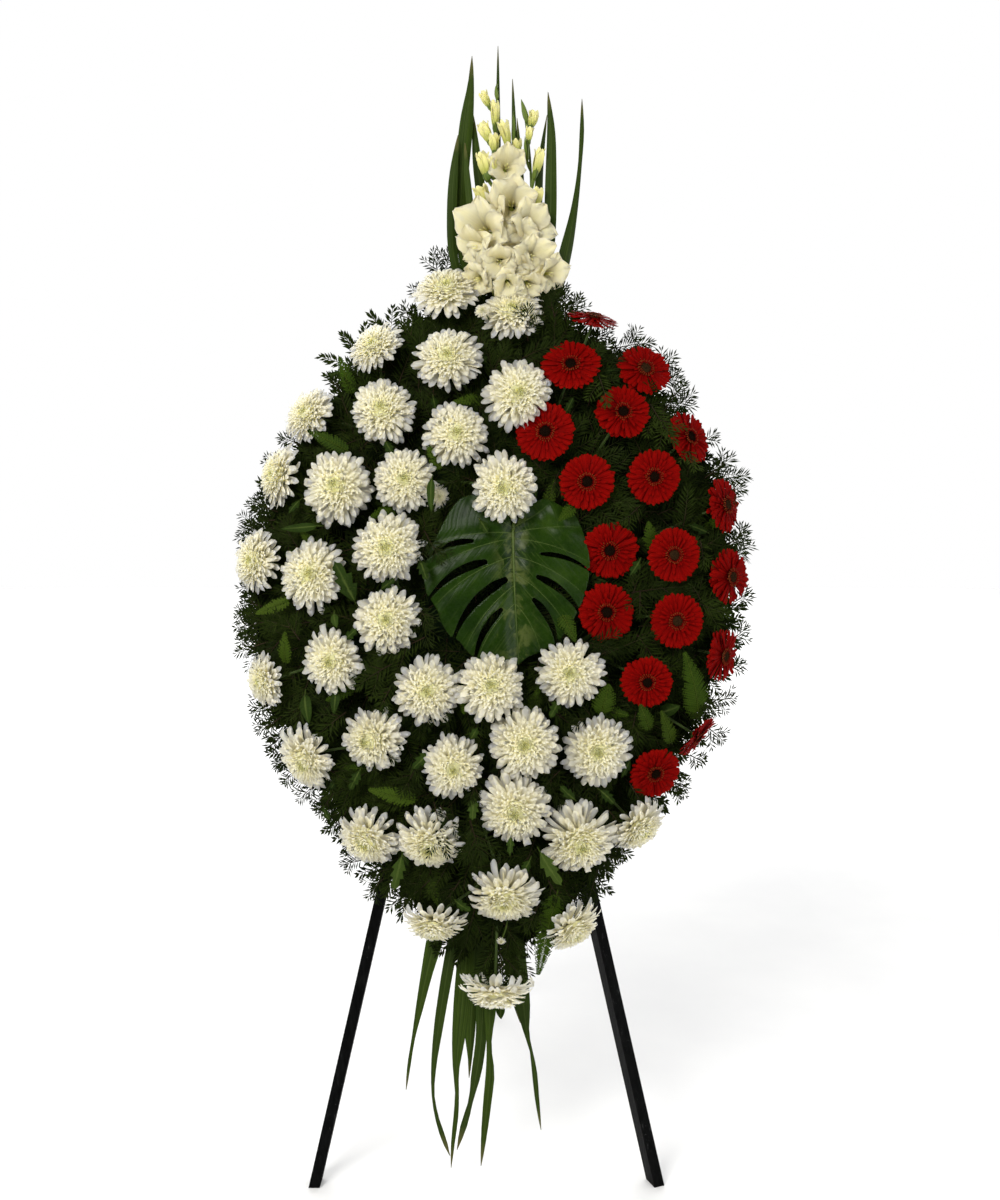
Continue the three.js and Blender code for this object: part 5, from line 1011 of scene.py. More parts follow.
GERB_HABIT = {1: (1.3, 0.4), 3: (1.6, 0.3), 4: (1.8, 0.1), 6: (1.9, 0.3), 9: (2.0, 0.4), 10: (1.6, 0.0), 12: (1.8, 0.4), 13: (1.7, 0.0), 15: (2.0, 0.4), 17: (1.5, 0.0)}
for k, h in enumerate(GERBERAS, 1):
    rng = np.random.default_rng(2000 + k)
    soup = Soup()
    loose, flop = GERB_HABIT.get(k, (1.0, 0.0))
    gerbera_head(soup, h[:3], h[3:6], h[6], rng, loose, flop)
    foot = foot_in(h[0], h[1])
    tube(soup, bowed(back_of(h, 0.23 * h[6]), foot, rng.normal(0, 2.0, 3)), np.linspace(2.4, 2.9, 7), 7, rng.random(), (0, 0.3, 0), 3)
    o = soup.build("gerbera_head_%02d" % k, [M_GERB, M_RING, M_EYE_OPEN if k in (1, 3, 9, 11, 12, 14, 15) else M_EYE, M_GREEN])
    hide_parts("gerbera_%02d" % k)


# ------------------------------------------------------------------ greenery
M_FIR = mat_leafy("fir needles", (0.0013, 0.0033, 0.0005), (0.0108, 0.0188, 0.0022), (0.042, 0.061, 0.010), 0.50, 0.02, 0.02)
M_TWIG = mat_twig()
M_FERN = mat_leafy("fern leaflets", (0.0060, 0.0165, 0.0012), (0.024, 0.048, 0.0034), (0.075, 0.112, 0.012), 0.55, 0.03, 0.05)
M_LOBED = mat_leafy("chrysanthemum leaf", (0.0050, 0.0125, 0.0016), (0.027, 0.050, 0.0070), (0.095, 0.130, 0.028), 0.6, 0.03, 0.06, 0.6)

HEADS = np.array([h for h in MUMS + GERBERAS])
HEAD_TOP = np.array([30.0] * len(MUMS) + [10.0] * len(GERBERAS))


def slope_at(a, b):
    """The way out of the flower crown at (a, b)."""
    x, y = a - CENTRE[0], b - CENTRE[1]
    r = rho_of(a, b)
    g = 140 * r / math.sqrt(1.15 - min(r, 1.0) ** 2) / outline(math.atan2(y, x))
    d = math.hypot(x, y) + 1e-6
    return unit(np.array([x / d * g, y / d * g, 1.0]))


def clear_of_heads(P, margin=1.0, below=4.0):
    """True where no point of P stands in front of, or inside, a flower head."""
    P = np.asarray(P, float).reshape(-1, 1, 3)
    d = P - HEADS[None, :, :3]
    N = unit(HEADS[:, 3:6])
    h = np.sum(d * N, -1)
    r = np.linalg.norm(d - h[..., None] * N, axis=-1)
    return not np.any((r < HEADS[:, 6] * margin) & (h > -below) & (h < 70))


def inside_leaf(a, b, grow=0.0):
    return ((a - 38) / (150 + grow)) ** 2 + ((b - 1090) / (158 + grow)) ** 2 < 1


def needles_on(rng, pts, nrm, length, spacing, size, lift, top=0.35, first=0.10, tip=True):
    """Needles in two combed rows, with some on top, along a twig through pts."""
    n = max(4, int(length * (1 - first) / spacing))
    t = np.linspace(first, 1.0, n)
    k = (len(pts) - 1) * t
    i = np.minimum(k.astype(int), len(pts) - 2)
    f = (k - i)[:, None]
    P = pts[i] * (1 - f) + pts[i + 1] * f
    T = unit(pts[i + 1] - pts[i])
    S = unit(np.cross(nrm, T))
    U = np.cross(T, S)
    out = []
    ang0 = np.radians(np.interp(t, [0, 0.6, 0.9, 1.0], [58, 50, 36, 20]))
    prof = np.interp(t, [0, 0.2, 0.7, 0.92, 1.0], [0.70, 1.0, 0.96, 0.78, 0.62])
    for side in (-1, 1):
        ang = ang0 + rng.normal(0, 0.07, n)
        el = np.radians(lift) + rng.normal(0, 0.17, n)
        D = (T * np.cos(ang)[:, None] + side * S * (np.sin(ang) * np.cos(el))[:, None] + U * (np.sin(ang) * np.sin(el))[:, None])
        L = size * prof * (1 + rng.normal(0, 0.08, n))
        out.append((P + T * (rng.uniform(-.4, .4, n) * spacing)[:, None], D, np.cross(D, U), L))
    m = int(n * top)
    if m > 1:
        j = np.sort(rng.choice(n, m, replace=False))
        az = rng.uniform(-1.2, 1.2, m)
        D = T[j] * 0.85 + U[j] * (0.45 * np.cos(az))[:, None] + S[j] * (0.55 * np.sin(az))[:, None]
        out.append((P[j], unit(D), -S[j], size * 0.78 * prof[j] * (1 + rng.normal(0, 0.1, m))))
    return out


def fir_sprig(soup, base, D, nrm, length, rng, spacing=2.6, size=16.0, hw=0.95, lift=12.0, side=2, top=0.35, droop=0.10, young=0.0, twig=1.5, tone=None):
    base = np.asarray(base, float)
    D, nrm = unit(D), unit(nrm)
    nrm = unit(nrm - D * (nrm @ D))
    S = np.cross(nrm, D)
    sway = rng.normal(0, 0.10) * length
    t = np.linspace(0, 1, 7)[:, None]
    pts = base + D * length * t + S * sway * t**2 - nrm * droop * length * t**2
    tubes = [(pts, twig, 0.4 * twig)]
    groups = needles_on(rng, pts, nrm, length, spacing, size, lift, top)
    for j in range(side):
        f = 0.12 + 0.60 * (j + rng.uniform(0.2, 0.8)) / max(side, 1)
        s = 1 if j % 2 else -1
        i = int(f * 6)
        p0 = pts[i] + (pts[i + 1] - pts[i]) * (f * 6 - i)
        T = unit(pts[i + 1] - pts[i])
        L = length * (0.72 - f * 0.58) * rng.uniform(0.85, 1.15)
        a = math.radians(rng.uniform(40, 54))
        d = unit(T * math.cos(a) + s * unit(np.cross(nrm, T)) * math.sin(a))
        tt = np.linspace(0, 1, 4)[:, None]
        q = p0 + d * L * tt + T * 0.16 * L * tt**2 - nrm * droop * 0.6 * L * tt**2
        tubes.append((q, twig * 0.55, twig * 0.3))
        groups += needles_on(rng, q, nrm, L, spacing, size * 0.86, lift, top * 0.8, 0.16)
    B, DD, SS, LL = (np.concatenate([g[k] for g in groups]) for k in range(4))
    r0 = rng.random() if tone is None else tone
    rnd = np.clip(r0 + rng.normal(0, 0.09, len(B)), 0, 1)
    pk = np.stack([np.zeros(len(B)), np.clip(young + rng.normal(0, 0.08, len(B)), 0, 1), np.zeros(len(B))], -1)
    kites(soup, B, DD, SS, LL, hw * (1 + rng.normal(0, 0.1, len(B))), hw * 0.35, rnd, 0, pk, 0.52)
    for q, ra, rb in tubes:
        tube(soup, q, np.linspace(ra, rb, len(q)), 3, r0, (0, 0, 0), 1)


def sector_of(a, b):
    return int(((math.atan2(b - CENTRE[1], a - CENTRE[0]) + math.pi) / (2 * math.pi) * 12) % 12)


FIR = {}


def fir_soup(a, b, layer):
    key = (layer, sector_of(a, b))
    if key not in FIR:
        FIR[key] = Soup()
    return FIR[key]


# deep branches that cover the pad all over, given darker tones as painted shade
rng = np.random.default_rng(31)
step = 70.0
row = 0
b = 430.0
while b < 1680:
    a = -470.0 + (step / 2 if row % 2 else 0)
    while a < 490:
        aa, bb = a + rng.uniform(-20, 20), b + rng.uniform(-18, 18)
        a += step
        r = rho_of(aa, bb)
        if r > 0.90:
            continue
        phi = math.atan2(bb - CENTRE[1], aa - CENTRE[0]) + rng.normal(0, 0.55 if r > 0.35 else 1.6)
        n = slope_at(aa, bb)
        d = np.array([math.cos(phi), math.sin(phi), 0.0])
        d = unit(d - n * (d @ n)) + n * rng.uniform(0.02, 0.30)
        L = rng.uniform(105, 145) * (1 - 0.35 * smooth(r, 0.7, 0.95))
        far = rho_of(aa + unit(d)[0] * L * 0.65, bb + unit(d)[1] * L * 0.65)
        if far > 0.93:
            L *= 0.93 / far * 0.8
            aa, bb = CENTRE[0] + (aa - CENTRE[0]) * 0.93 / far, CENTRE[1] + (bb - CENTRE[1]) * 0.93 / far
        c = crown(r) - 66 + rng.uniform(-6, 10)
        start = np.array([aa, bb, c]) - unit(d) * L * 0.35
        fir_sprig(fir_soup(aa, bb, "deep"), start, d, n, L, rng, 4.6, 26.0, 1.45, 10.0, 3, 0.20, 0.06, 0.0, 1.8, 0.8 * rng.random() ** 1.3)
    b += step * 0.86
    row += 1

# shorter tips that come up between the flowers
rng = np.random.default_rng(32)
made = 0
for _ in range(2600):
    if made >= 240:
        break
    phi0 = rng.uniform(-math.pi, math.pi)
    r = math.sqrt(rng.uniform(0.01, 0.90))
    R = outline(phi0)
    aa, bb = CENTRE[0] + R * r * math.cos(phi0), CENTRE[1] + R * r * math.sin(phi0)
    phi = phi0 + rng.normal(0, 0.7 if r > 0.35 else 1.8)
    n = slope_at(aa, bb)
    d = np.array([math.cos(phi), math.sin(phi), 0.0])
    d = unit(unit(d - n * (d @ n)) + n * rng.uniform(0.15, 0.55))
    L = rng.uniform(64, 100)
    c = crown(r) - 44 + rng.uniform(-8, 8)
    start = np.array([aa, bb, c])
    tip = start + d * L
    probe = np.stack([start + d * L * q for q in (0.3, 0.55, 0.8, 1.08)])
    if not clear_of_heads(probe, 1.05, 10.0):
        continue
    if inside_leaf(tip[0], tip[1], 10) or inside_leaf((start + d * L * .5)[0], (start + d * L * .5)[1], 5):
        continue
    if tip[1] > 1640 and abs(tip[0] - 40) < 60 or rho_of(tip[0], tip[1]) > 0.90:
        continue
    fir_sprig(fir_soup(aa, bb, "front"), start, d, n, L, rng, 4.6, 25.0, 1.35, 8.0, int(rng.integers(0, 4)), 0.15, 0.12, 0.25 * rng.random() ** 2, 1.2)
    made += 1

# the rim: tips that stand out all round, seen from both sides
rng = np.random.default_rng(33)
for k in range(132):
    phi0 = -math.pi + (k + rng.uniform(-0.4, 0.4)) * 2 * math.pi / 132
    R = outline(phi0)
    L = rng.uniform(85, 125)
    reach = rng.uniform(0.86, 0.94) if k % 3 else rng.uniform(0.78, 0.86)
    turn = rng.normal(0, 0.30)
    c1 = rng.uniform(28, 92)
    tip = np.array([CENTRE[0] + R * reach * math.cos(phi0), CENTRE[1] + R * reach * math.sin(phi0), c1])
    d = unit(np.array([math.cos(phi0 + turn), math.sin(phi0 + turn), rng.uniform(-0.20, 0.22)]))
    n = unit(np.array([0.35 * math.cos(phi0), 0.35 * math.sin(phi0), 1.0]))
    start = tip - d * L
    start[2] = min(start[2], crown(rho_of(start[0], start[1])) - 40)
    d = unit(tip - start)
    if abs(tip[0] - 10.6) > 462 or not clear_of_heads(np.stack([start + d * L * q for q in (0.6, 0.8, 1.05)]), 1.0, 8.0):
        continue
    fir_sprig(fir_soup(tip[0], tip[1], "rim"), start, d, n, L, rng, 4.4, 25.0, 2.0, 8.0, 3, 0.2, 0.05, 0.0, 1.7, 0.6 * rng.random())

# short branches that close the edge behind the rim, given dark tones as painted shade
rng = np.random.default_rng(35)
for k in range(64):
    phi0 = -math.pi + (k + rng.uniform(-0.3, 0.3)) * 2 * math.pi / 64
    R = outline(phi0)
    L = rng.uniform(80, 105)
    reach = rng.uniform(0.86, 0.93)
    tip = np.array([CENTRE[0] + R * reach * math.cos(phi0), CENTRE[1] + R * reach * math.sin(phi0), rng.uniform(40, 66)])
    d = unit(np.array([math.cos(phi0 + rng.normal(0, 0.2)), math.sin(phi0 + rng.normal(0, 0.2)), rng.uniform(-0.1, 0.15)]))
    if abs(tip[0] - 10.6) > 458:
        continue
    n = unit(np.array([0.25 * math.cos(phi0), 0.25 * math.sin(phi0), 1.0]))
    fir_sprig(fir_soup(tip[0], tip[1], "rim"), tip - d * L, d, n, L, rng, 5.0, 26.0, 2.4, 6.0, 2, 0.1, 0.0, 0.0, 1.8, 0.35 * rng.random())

# the back: branches laid flat against the pad, stems inwards
rng = np.random.default_rng(34)
for k in range(60):
    phi0 = -math.pi + (k + rng.uniform(-0.3, 0.3)) * 2 * math.pi / 60
    R = outline(phi0)
    r0 = rng.uniform(0.66, 0.73)
    r1 = rng.uniform(0.90, 0.975)
    s = np.array([CENTRE[0] + R * r0 * math.cos(phi0), CENTRE[1] + R * r0 * math.sin(phi0), rng.uniform(33, 40)])
    e = np.array([CENTRE[0] + R * r1 * math.cos(phi0 + rng.normal(0, 0.05)), CENTRE[1] + R * r1 * math.sin(phi0 + rng.normal(0, 0.05)), rng.uniform(26, 40)])
    L = np.linalg.norm(e - s)
    fir_sprig(fir_soup(s[0], s[1], "back"), s, e - s, (0, 0, -1), L, rng, 4.6, 24.0, 2.3, 8.0, 4, 0.25, 0.0, 0.0, 2.0)

# the stalks and cut leaves under the branches
def lumps(phi, r, seed, amp):
    g = np.random.default_rng(seed)
    h = np.zeros_like(phi)
    for _ in range(26):
        p, q = g.uniform(3, 26), g.uniform(2, 11)
        h = h + np.sin(np.round(p) * phi + g.uniform(0, 6.28) + q * r * 6) / 26**0.5 * g.uniform(0.4, 1)
    return h * amp


def mound(name, r0, r1, low, top_drop, rings, sectors, mats, node, seed, amp):
    """A lumpy closed ring or pad between two radii of the oval."""
    phi = np.linspace(-math.pi, math.pi, sectors, endpoint=False)
    rr = np.linspace(r0, r1, rings)
    P, Rr = np.meshgrid(phi, rr)
    top = crown(Rr) - top_drop + lumps(P, Rr, seed, amp)
    edge = np.clip(np.minimum((Rr - r0) if r0 > 0.01 else 1, (r1 - Rr)) / 0.05, 0, 1)
    top = low + 14 + (top - low - 14) * np.sqrt(edge)
    out = outline(P) * Rr * (1 + 0.012 * lumps(P, Rr, seed + 1, 1.0))
    X, Y = CENTRE[0] + out * np.cos(P), CENTRE[1] + out * np.sin(P)
    bot = low + 1.5 + lumps(P, Rr, seed + 2, 1.2)
    soup = Soup()
    V = np.concatenate([np.stack([X, Y, top], -1).reshape(-1, 3), np.stack([X, Y, bot], -1).reshape(-1, 3)])
    idx = np.arange(rings * sectors).reshape(rings, sectors)
    off = rings * sectors
    j2 = np.roll(np.arange(sectors), -1)
    F = [np.stack([idx[:-1], idx[1:], idx[1:][:, j2], idx[:-1][:, j2]], -1).reshape(-1, 4),
         np.stack([idx[:-1], idx[:-1][:, j2], idx[1:][:, j2], idx[1:]], -1).reshape(-1, 4) + off,
         np.stack([idx[-1], idx[-1] + off, idx[-1][j2] + off, idx[-1][j2]], -1),
         np.stack([idx[0], idx[0][j2], idx[0][j2] + off, idx[0] + off], -1)]
    pt = np.stack([Rr, P / math.pi, 0 * P + 0.5], -1).reshape(-1, 3)
    soup.add(V, F, np.concatenate([pt, pt]))
    o = soup.build(name, mats)
    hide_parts(node)
    return o


def mat_packing():
    n = Nodes("packed leaves and stalks")
    a = n.noise(70.0, 5.0, 0.6, None, 1.5)
    v = n.node("ShaderNodeTexVoronoi", {"Vector": n.coords(), "Scale": 120.0})
    col = n.ramp(a, [(0.3, (0.0015, 0.0030, 0.0010)), (0.5, (0.0040, 0.0075, 0.0020)), (0.72, (0.011, 0.017, 0.004))])
    col = n.mix(n.map(v.outputs[0], 0.2, 0.8, 0.0, 0.7), (0.0015, 0.003, 0.001), col)
    n.bump(n.math("ADD", a, v.outputs[0]), 1.0, 0.004)
    return n.set(color=col, rough=n.map(a, 0.3, 0.7, 0.75, 0.95), spec=0.03)


def mat_foam():
    n = Nodes("wet floral foam darkened as painted shade")
    p = n.node("ShaderNodeTexVoronoi", {"Vector": n.coords(), "Scale": 420.0})
    a = n.noise(25.0, 5.0, 0.6)
    fine = n.noise(900.0, 4.0)
    # the foam is coloured a very dark green, partly wet foam and partly painted shade for where it shows in the gaps
    # between the flowers
    col = n.ramp(a, [(0.3, (0.0040, 0.0095, 0.0030)), (0.7, (0.0085, 0.0180, 0.0060))])
    col = n.mix(n.map(p.outputs[0], 0.45, 0.1, 0.0, 0.75), col, (0.002, 0.005, 0.002))
    n.bump(n.math("ADD", p.outputs[0], n.math("MULTIPLY", fine, 0.6)), 0.9, 0.0015)
    return n.set(color=col, rough=n.map(fine, 0.3, 0.7, 0.8, 0.97), spec=0.03)


mound("packing_ring", 0.60, 0.90, 34, 80, 14, 96, [mat_packing()], "greenery_bed", 5, 5.0)
mound("floral_foam_pad", 0.004, 0.615, 32, 102, 22, 96, [mat_foam()], "foam_pad", 9, 2.0)


# ------------------------------------- sprigs, fronds and leaves in the front
def outward(P):
    return slope_at(P[0], P[1])


rng = np.random.default_rng(41)
for row in SPRIGS:
    s, e = np.array(row[:3]), np.array(row[3:6])
    side, size, young, tone = row[6:]
    e[0] = np.clip(e[0], 10.6 - 462, 10.6 + 462)
    L = float(np.linalg.norm(e - s))
    n = outward((s + e) / 2)
    if rho_of(e[0], e[1]) > 0.93:
        n = unit(n * np.array([0.4, 0.4, 1.0]))
    droop = 0.05
    e2 = e + n * droop * L
    fir_sprig(fir_soup(s[0], s[1], "spray"), s, e2 - s, n, L, rng, 4.4, size * 1.50, 1.4, 6.0, int(side), 0.15, droop, young, 1.4, tone)

for (layer, sector), soup in sorted(FIR.items()):
    o = soup.build("fir_%s_%02d" % (layer, sector + 1), [M_FIR, M_TWIG])
    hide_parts("greenery_bed")


def frond(soup, s, e, n, half, rng, young):
    """A fern frond: a curved stalk with toothed leaflets down both sides."""
    L = float(np.linalg.norm(e - s))
    D = unit(e - s)
    n = unit(n - D * (n @ D))
    S = np.cross(n, D)
    t = np.linspace(0, 1, 12)[:, None]
    pts = s + (e - s) * t + n * 0.07 * L * 4 * t * (1 - t) + S * rng.normal(0, 0.04) * L * t**2
    tube(soup, pts, np.linspace(1.1, 0.4, 12), 5, 0.5, (0, 0.6, 0), 0)
    k = max(8, int(L / 4.8))
    tt = np.linspace(0.06, 0.99, k)
    prof = np.interp(tt, [0, 0.12, 0.3, 0.65, 0.9, 1.0], [0.35, 0.8, 1.0, 0.72, 0.32, 0.12])
    B, DD, SS, LL, HW = [], [], [], [], []
    for q, w in zip(tt, prof):
        i = min(int(q * 11), 10)
        p = pts[i] + (pts[i + 1] - pts[i]) * (q * 11 - i)
        T = unit(pts[i + 1] - pts[i])
        A = unit(np.cross(n, T))
        for side in (-1, 1):
            a = math.radians(66 - 22 * q) + rng.normal(0, 0.05)
            d = unit(T * math.cos(a) + side * A * math.sin(a) - n * rng.uniform(0.05, 0.22))
            ll = half * w * rng.uniform(0.9, 1.06)
            c = max(2, int(ll / 4.0))
            for j in range(c):
                f = (j + 0.6) / c
                b = p + d * ll * f
                m = unit(np.cross(n, d))
                z = (1 - 0.55 * f) * min(4.6, 0.24 * half + 1.4)
                for u in (-1, 1):
                    B.append(b)
                    DD.append(unit(d * 0.62 + u * m * 0.8 + n * 0.05))
                    SS.append(d)
                    LL.append(z)
                    HW.append(0.34 * z + 0.35)
            B.append(p)
            DD.append(d)
            SS.append(np.cross(d, n))
            LL.append(ll)
            HW.append(2.5 * w + 0.5)
    B, DD, SS, LL, HW = map(np.array, (B, DD, SS, LL, HW))
    SS = np.cross(DD, n)
    kites(soup, B, DD, SS, LL, HW, 0.25, np.clip(rng.random() + rng.normal(0, 0.1, len(B)), 0, 1), 0,
          np.stack([0 * LL, np.clip(young + 0 * LL, 0, 1), 0 * LL], -1), 0.45)


def lobed(soup, s, e, n, half, rng, tone, lobes):
    """A soft leaf with forward lobes, or a plain pointed one."""
    L = float(np.linalg.norm(e - s))
    D = unit(e - s)
    n = unit(n - D * (n @ D))
    S = np.cross(n, D)
    k = 4 * lobes + 4 if lobes else 9
    t = np.linspace(0, 1, k)
    C = s + (e - s) * t[:, None] + n * (0.10 * L * 4 * t * (1 - t))[:, None] + S * (rng.normal(0, 0.07) * L * t**2)[:, None]
    env = np.sin(np.pi * np.clip(t, 0, 1) ** 0.75) ** 0.8
    if lobes:
        f = (t * (lobes + 0.45)) % 1.0
        w = half * (env * (0.42 + 0.58 * f**1.1) + 0.03)
        fwd = -0.42
    else:
        w = half * (env + 0.03)
        fwd = 0.0
    w[-1] = 0.6
    rip = (np.sin(t * 9 + rng.uniform(0, 6))[None, :, None] * 0.9 * np.array([1, .2, 0, .2, 1])[None, None, :]) * min(1.6, half * 0.14)
    strips(soup, C[None], S[None, None, :], w[None], np.full((1, k), 0.35), 0.16 + rng.normal(0, 0.08), 5, [tone],
           np.array([[0, max(0.0, tone - 0.75), 0]]), np.full((1, k), fwd), rip, 0)
    tube(soup, np.array([s - D * 9 - n * 6, s - D * 3 - n * 1.5, s + D * 1.0]), [1.3, 1.1, 0.9], 5, tone, (0, 0.4, 0), 0)


rng = np.random.default_rng(42)
ferns = Soup()
for row in FRONDS:
    s, e = np.array(row[:3]), np.array(row[3:6])
    frond(ferns, s, e, outward((s + e) / 2), row[6], rng, row[7])
# smaller fronds between the heads
made = 0
for _ in range(900):
    if made >= 16:
        break
    phi0, r = rng.uniform(-math.pi, math.pi), math.sqrt(rng.uniform(0.02, 0.85))
    R = outline(phi0)
    aa, bb = CENTRE[0] + R * r * math.cos(phi0), CENTRE[1] + R * r * math.sin(phi0)
    n = slope_at(aa, bb)
    phi = phi0 + rng.normal(0, 1.0)
    d = unit(np.array([math.cos(phi), math.sin(phi), 0.0]) + n * 0.35)
    s = np.array([aa, bb, crown(r) - 34])
    e = s + d * rng.uniform(50, 70)
    if inside_leaf(e[0], e[1], 12) or e[1] > 1600 or not clear_of_heads(np.stack([s + (e - s) * q for q in (0.3, 0.6, 0.85, 1.1)]), 1.05, 10.0):
        continue
    frond(ferns, s, e, n, rng.uniform(13, 19), rng, rng.uniform(0, 0.3))
    made += 1
o = ferns.build("fern_fronds", [M_FERN])
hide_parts("greenery_bed")

soft = Soup()
for row in LEAVES:
    s, e = np.array(row[:3]), np.array(row[3:6])
    lobed(soft, s, e, outward((s + e) / 2), row[6], rng, row[7], int(row[8]))
made = 0
for _ in range(1500):
    if made >= 26:
        break
    phi0, r = rng.uniform(-math.pi, math.pi), math.sqrt(rng.uniform(0.02, 0.88))
    R = outline(phi0)
    aa, bb = CENTRE[0] + R * r * math.cos(phi0), CENTRE[1] + R * r * math.sin(phi0)
    n = slope_at(aa, bb)
    phi = rng.uniform(-math.pi, math.pi)
    d = unit(np.array([math.cos(phi), math.sin(phi), 0.0]) + n * 0.5)
    s = np.array([aa, bb, crown(r) - 30])
    e = s + d * rng.uniform(30, 46)
    if inside_leaf(e[0], e[1], 10) or e[1] > 1600 or not clear_of_heads(np.stack([s + (e - s) * q for q in (0.3, 0.7, 1.1)]), 1.05, 10.0):
        continue
    lobed(soft, s, e, n, rng.uniform(8, 13), rng, rng.uniform(0.0, 0.40), int(rng.choice([0, 2, 3, 3])))
    made += 1
# small closed heads on their own stalks
for (ba, bb, bc, br), foot in zip(BUDS, BUD_FEET):
    at = np.array([ba, bb, bc])
    q = spline([foot, (np.array(foot) + at) / 2 + np.array([2.0, 0, 3.0]), at], 7)
    tube(soft, q, 1.2, 6, 0.5, (0, 0.4, 0), 0)
o = soft.build("chrysanthemum_leaves", [M_LOBED])
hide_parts("greenery_bed")


# ------------------------------------------------------------- the split leaf
def closed_spline(P, n):
    P = np.asarray(P, float)
    k = len(P)
    t = np.linspace(0, k, n, endpoint=False)
    i = np.floor(t).astype(int)
    f = (t - i)[:, None]
    p0, p1, p2, p3 = P[(i - 1) % k], P[i % k], P[(i + 1) % k], P[(i + 2) % k]
    return 0.5 * (2 * p1 + (p2 - p0) * f + (2 * p0 - 5 * p1 + 4 * p2 - p3) * f**2 + (3 * p1 - p0 - 3 * p2 + p3) * f**3)


def bezier2(p, q, r, n):
    t = np.linspace(0, 1, n)[:, None]
    return (1 - t) ** 2 * np.asarray(p, float) + 2 * t * (1 - t) * np.asarray(q, float) + t**2 * np.asarray(r, float)


def seg_dist(X, Y, L):
    """Distance from points to a polyline, and how far along it."""
    best = np.full(X.shape, 1e9)
    where = np.zeros(X.shape)
    for i in range(len(L) - 1):
        ax, ay = L[i]
        dx, dy = L[i + 1] - L[i]
        t = np.clip(((X - ax) * dx + (Y - ay) * dy) / (dx * dx + dy * dy + 1e-9), 0, 1)
        d = np.hypot(X - ax - t * dx, Y - ay - t * dy)
        m = d < best
        best = np.where(m, d, best)
        where = np.where(m, (i + t) / (len(L) - 1), where)
    return best, where


def inside_poly(X, Y, L):
    ins = np.zeros(X.shape, bool)
    for i in range(len(L)):
        x0, y0 = L[i]
        x1, y1 = L[(i + 1) % len(L)]
        c = ((y0 > Y) != (y1 > Y)) & (X < (x1 - x0) * (Y - y0) / (y1 - y0 + 1e-12) + x0)
        ins ^= c
    return ins


MIDRIB = bezier2((49.2, 1190), (50.5, 1075), (59.5, 950), 24)
VEIN_ENDS = {
    -1: [(1189, (-26, 1238)), (1184, (-84, 1166)), (1168, (-106, 1108)), (1143, (-90, 1050)), (1086, (-36, 972)), (1062, (-14, 955))],
    1: [(1189, (112, 1230)), (1184, (165, 1190)), (1168, (184, 1128)), (1143, (174, 1072)), (1108, (145, 1012)), (1062, (98, 970))],
}


def vein_lines():
    out = []
    for side, rows in VEIN_ENDS.items():
        for k, (b0, end) in enumerate(rows):
            i = int(np.argmin(abs(MIDRIB[:, 1] - b0)))
            p = MIDRIB[i]
            e = np.array(end, float)
            m = (p + e) / 2
            nrm = np.array([-(e - p)[1], (e - p)[0]])
            nrm = nrm / np.linalg.norm(nrm) * (1 if nrm[1] > 0 else -1)
            m = m + nrm * np.linalg.norm(e - p) * (-0.06, 0.08, 0.12, 0.14, 0.15, 0.14)[k]
            out.append(bezier2(p, m, e, 14))
    return out


VEINS = vein_lines()


def leaf_height(X, Y):
    c = 165 - 9 * ((X - 38) / 145) ** 2 - 7 * ((Y - 1120) / 160) ** 2
    d, _ = seg_dist(X, Y, MIDRIB)
    c = c - 3.4 * np.exp(-(d / 9) ** 2) + 1.6 * smooth(d, 8, 30)
    q = np.full(X.shape, 1e9)
    for L in VEINS:
        q = np.minimum(q, seg_dist(X, Y, L)[0])
    c = c + 1.7 * (1 - np.exp(-(q / 9) ** 2)) * smooth(d, 4, 22)
    # the upper right lobe is puckered, the lower lobes curl down at their rims
    c = c + 4.5 * smooth(X, 60, 130) * smooth(Y, 1150, 1215) * np.sin((X * 0.82 + Y * 0.57) / 9.5)
    c = c + 2.2 * np.sin(X / 23 + 1.1) * np.sin(Y / 31 + 0.4)
    return c


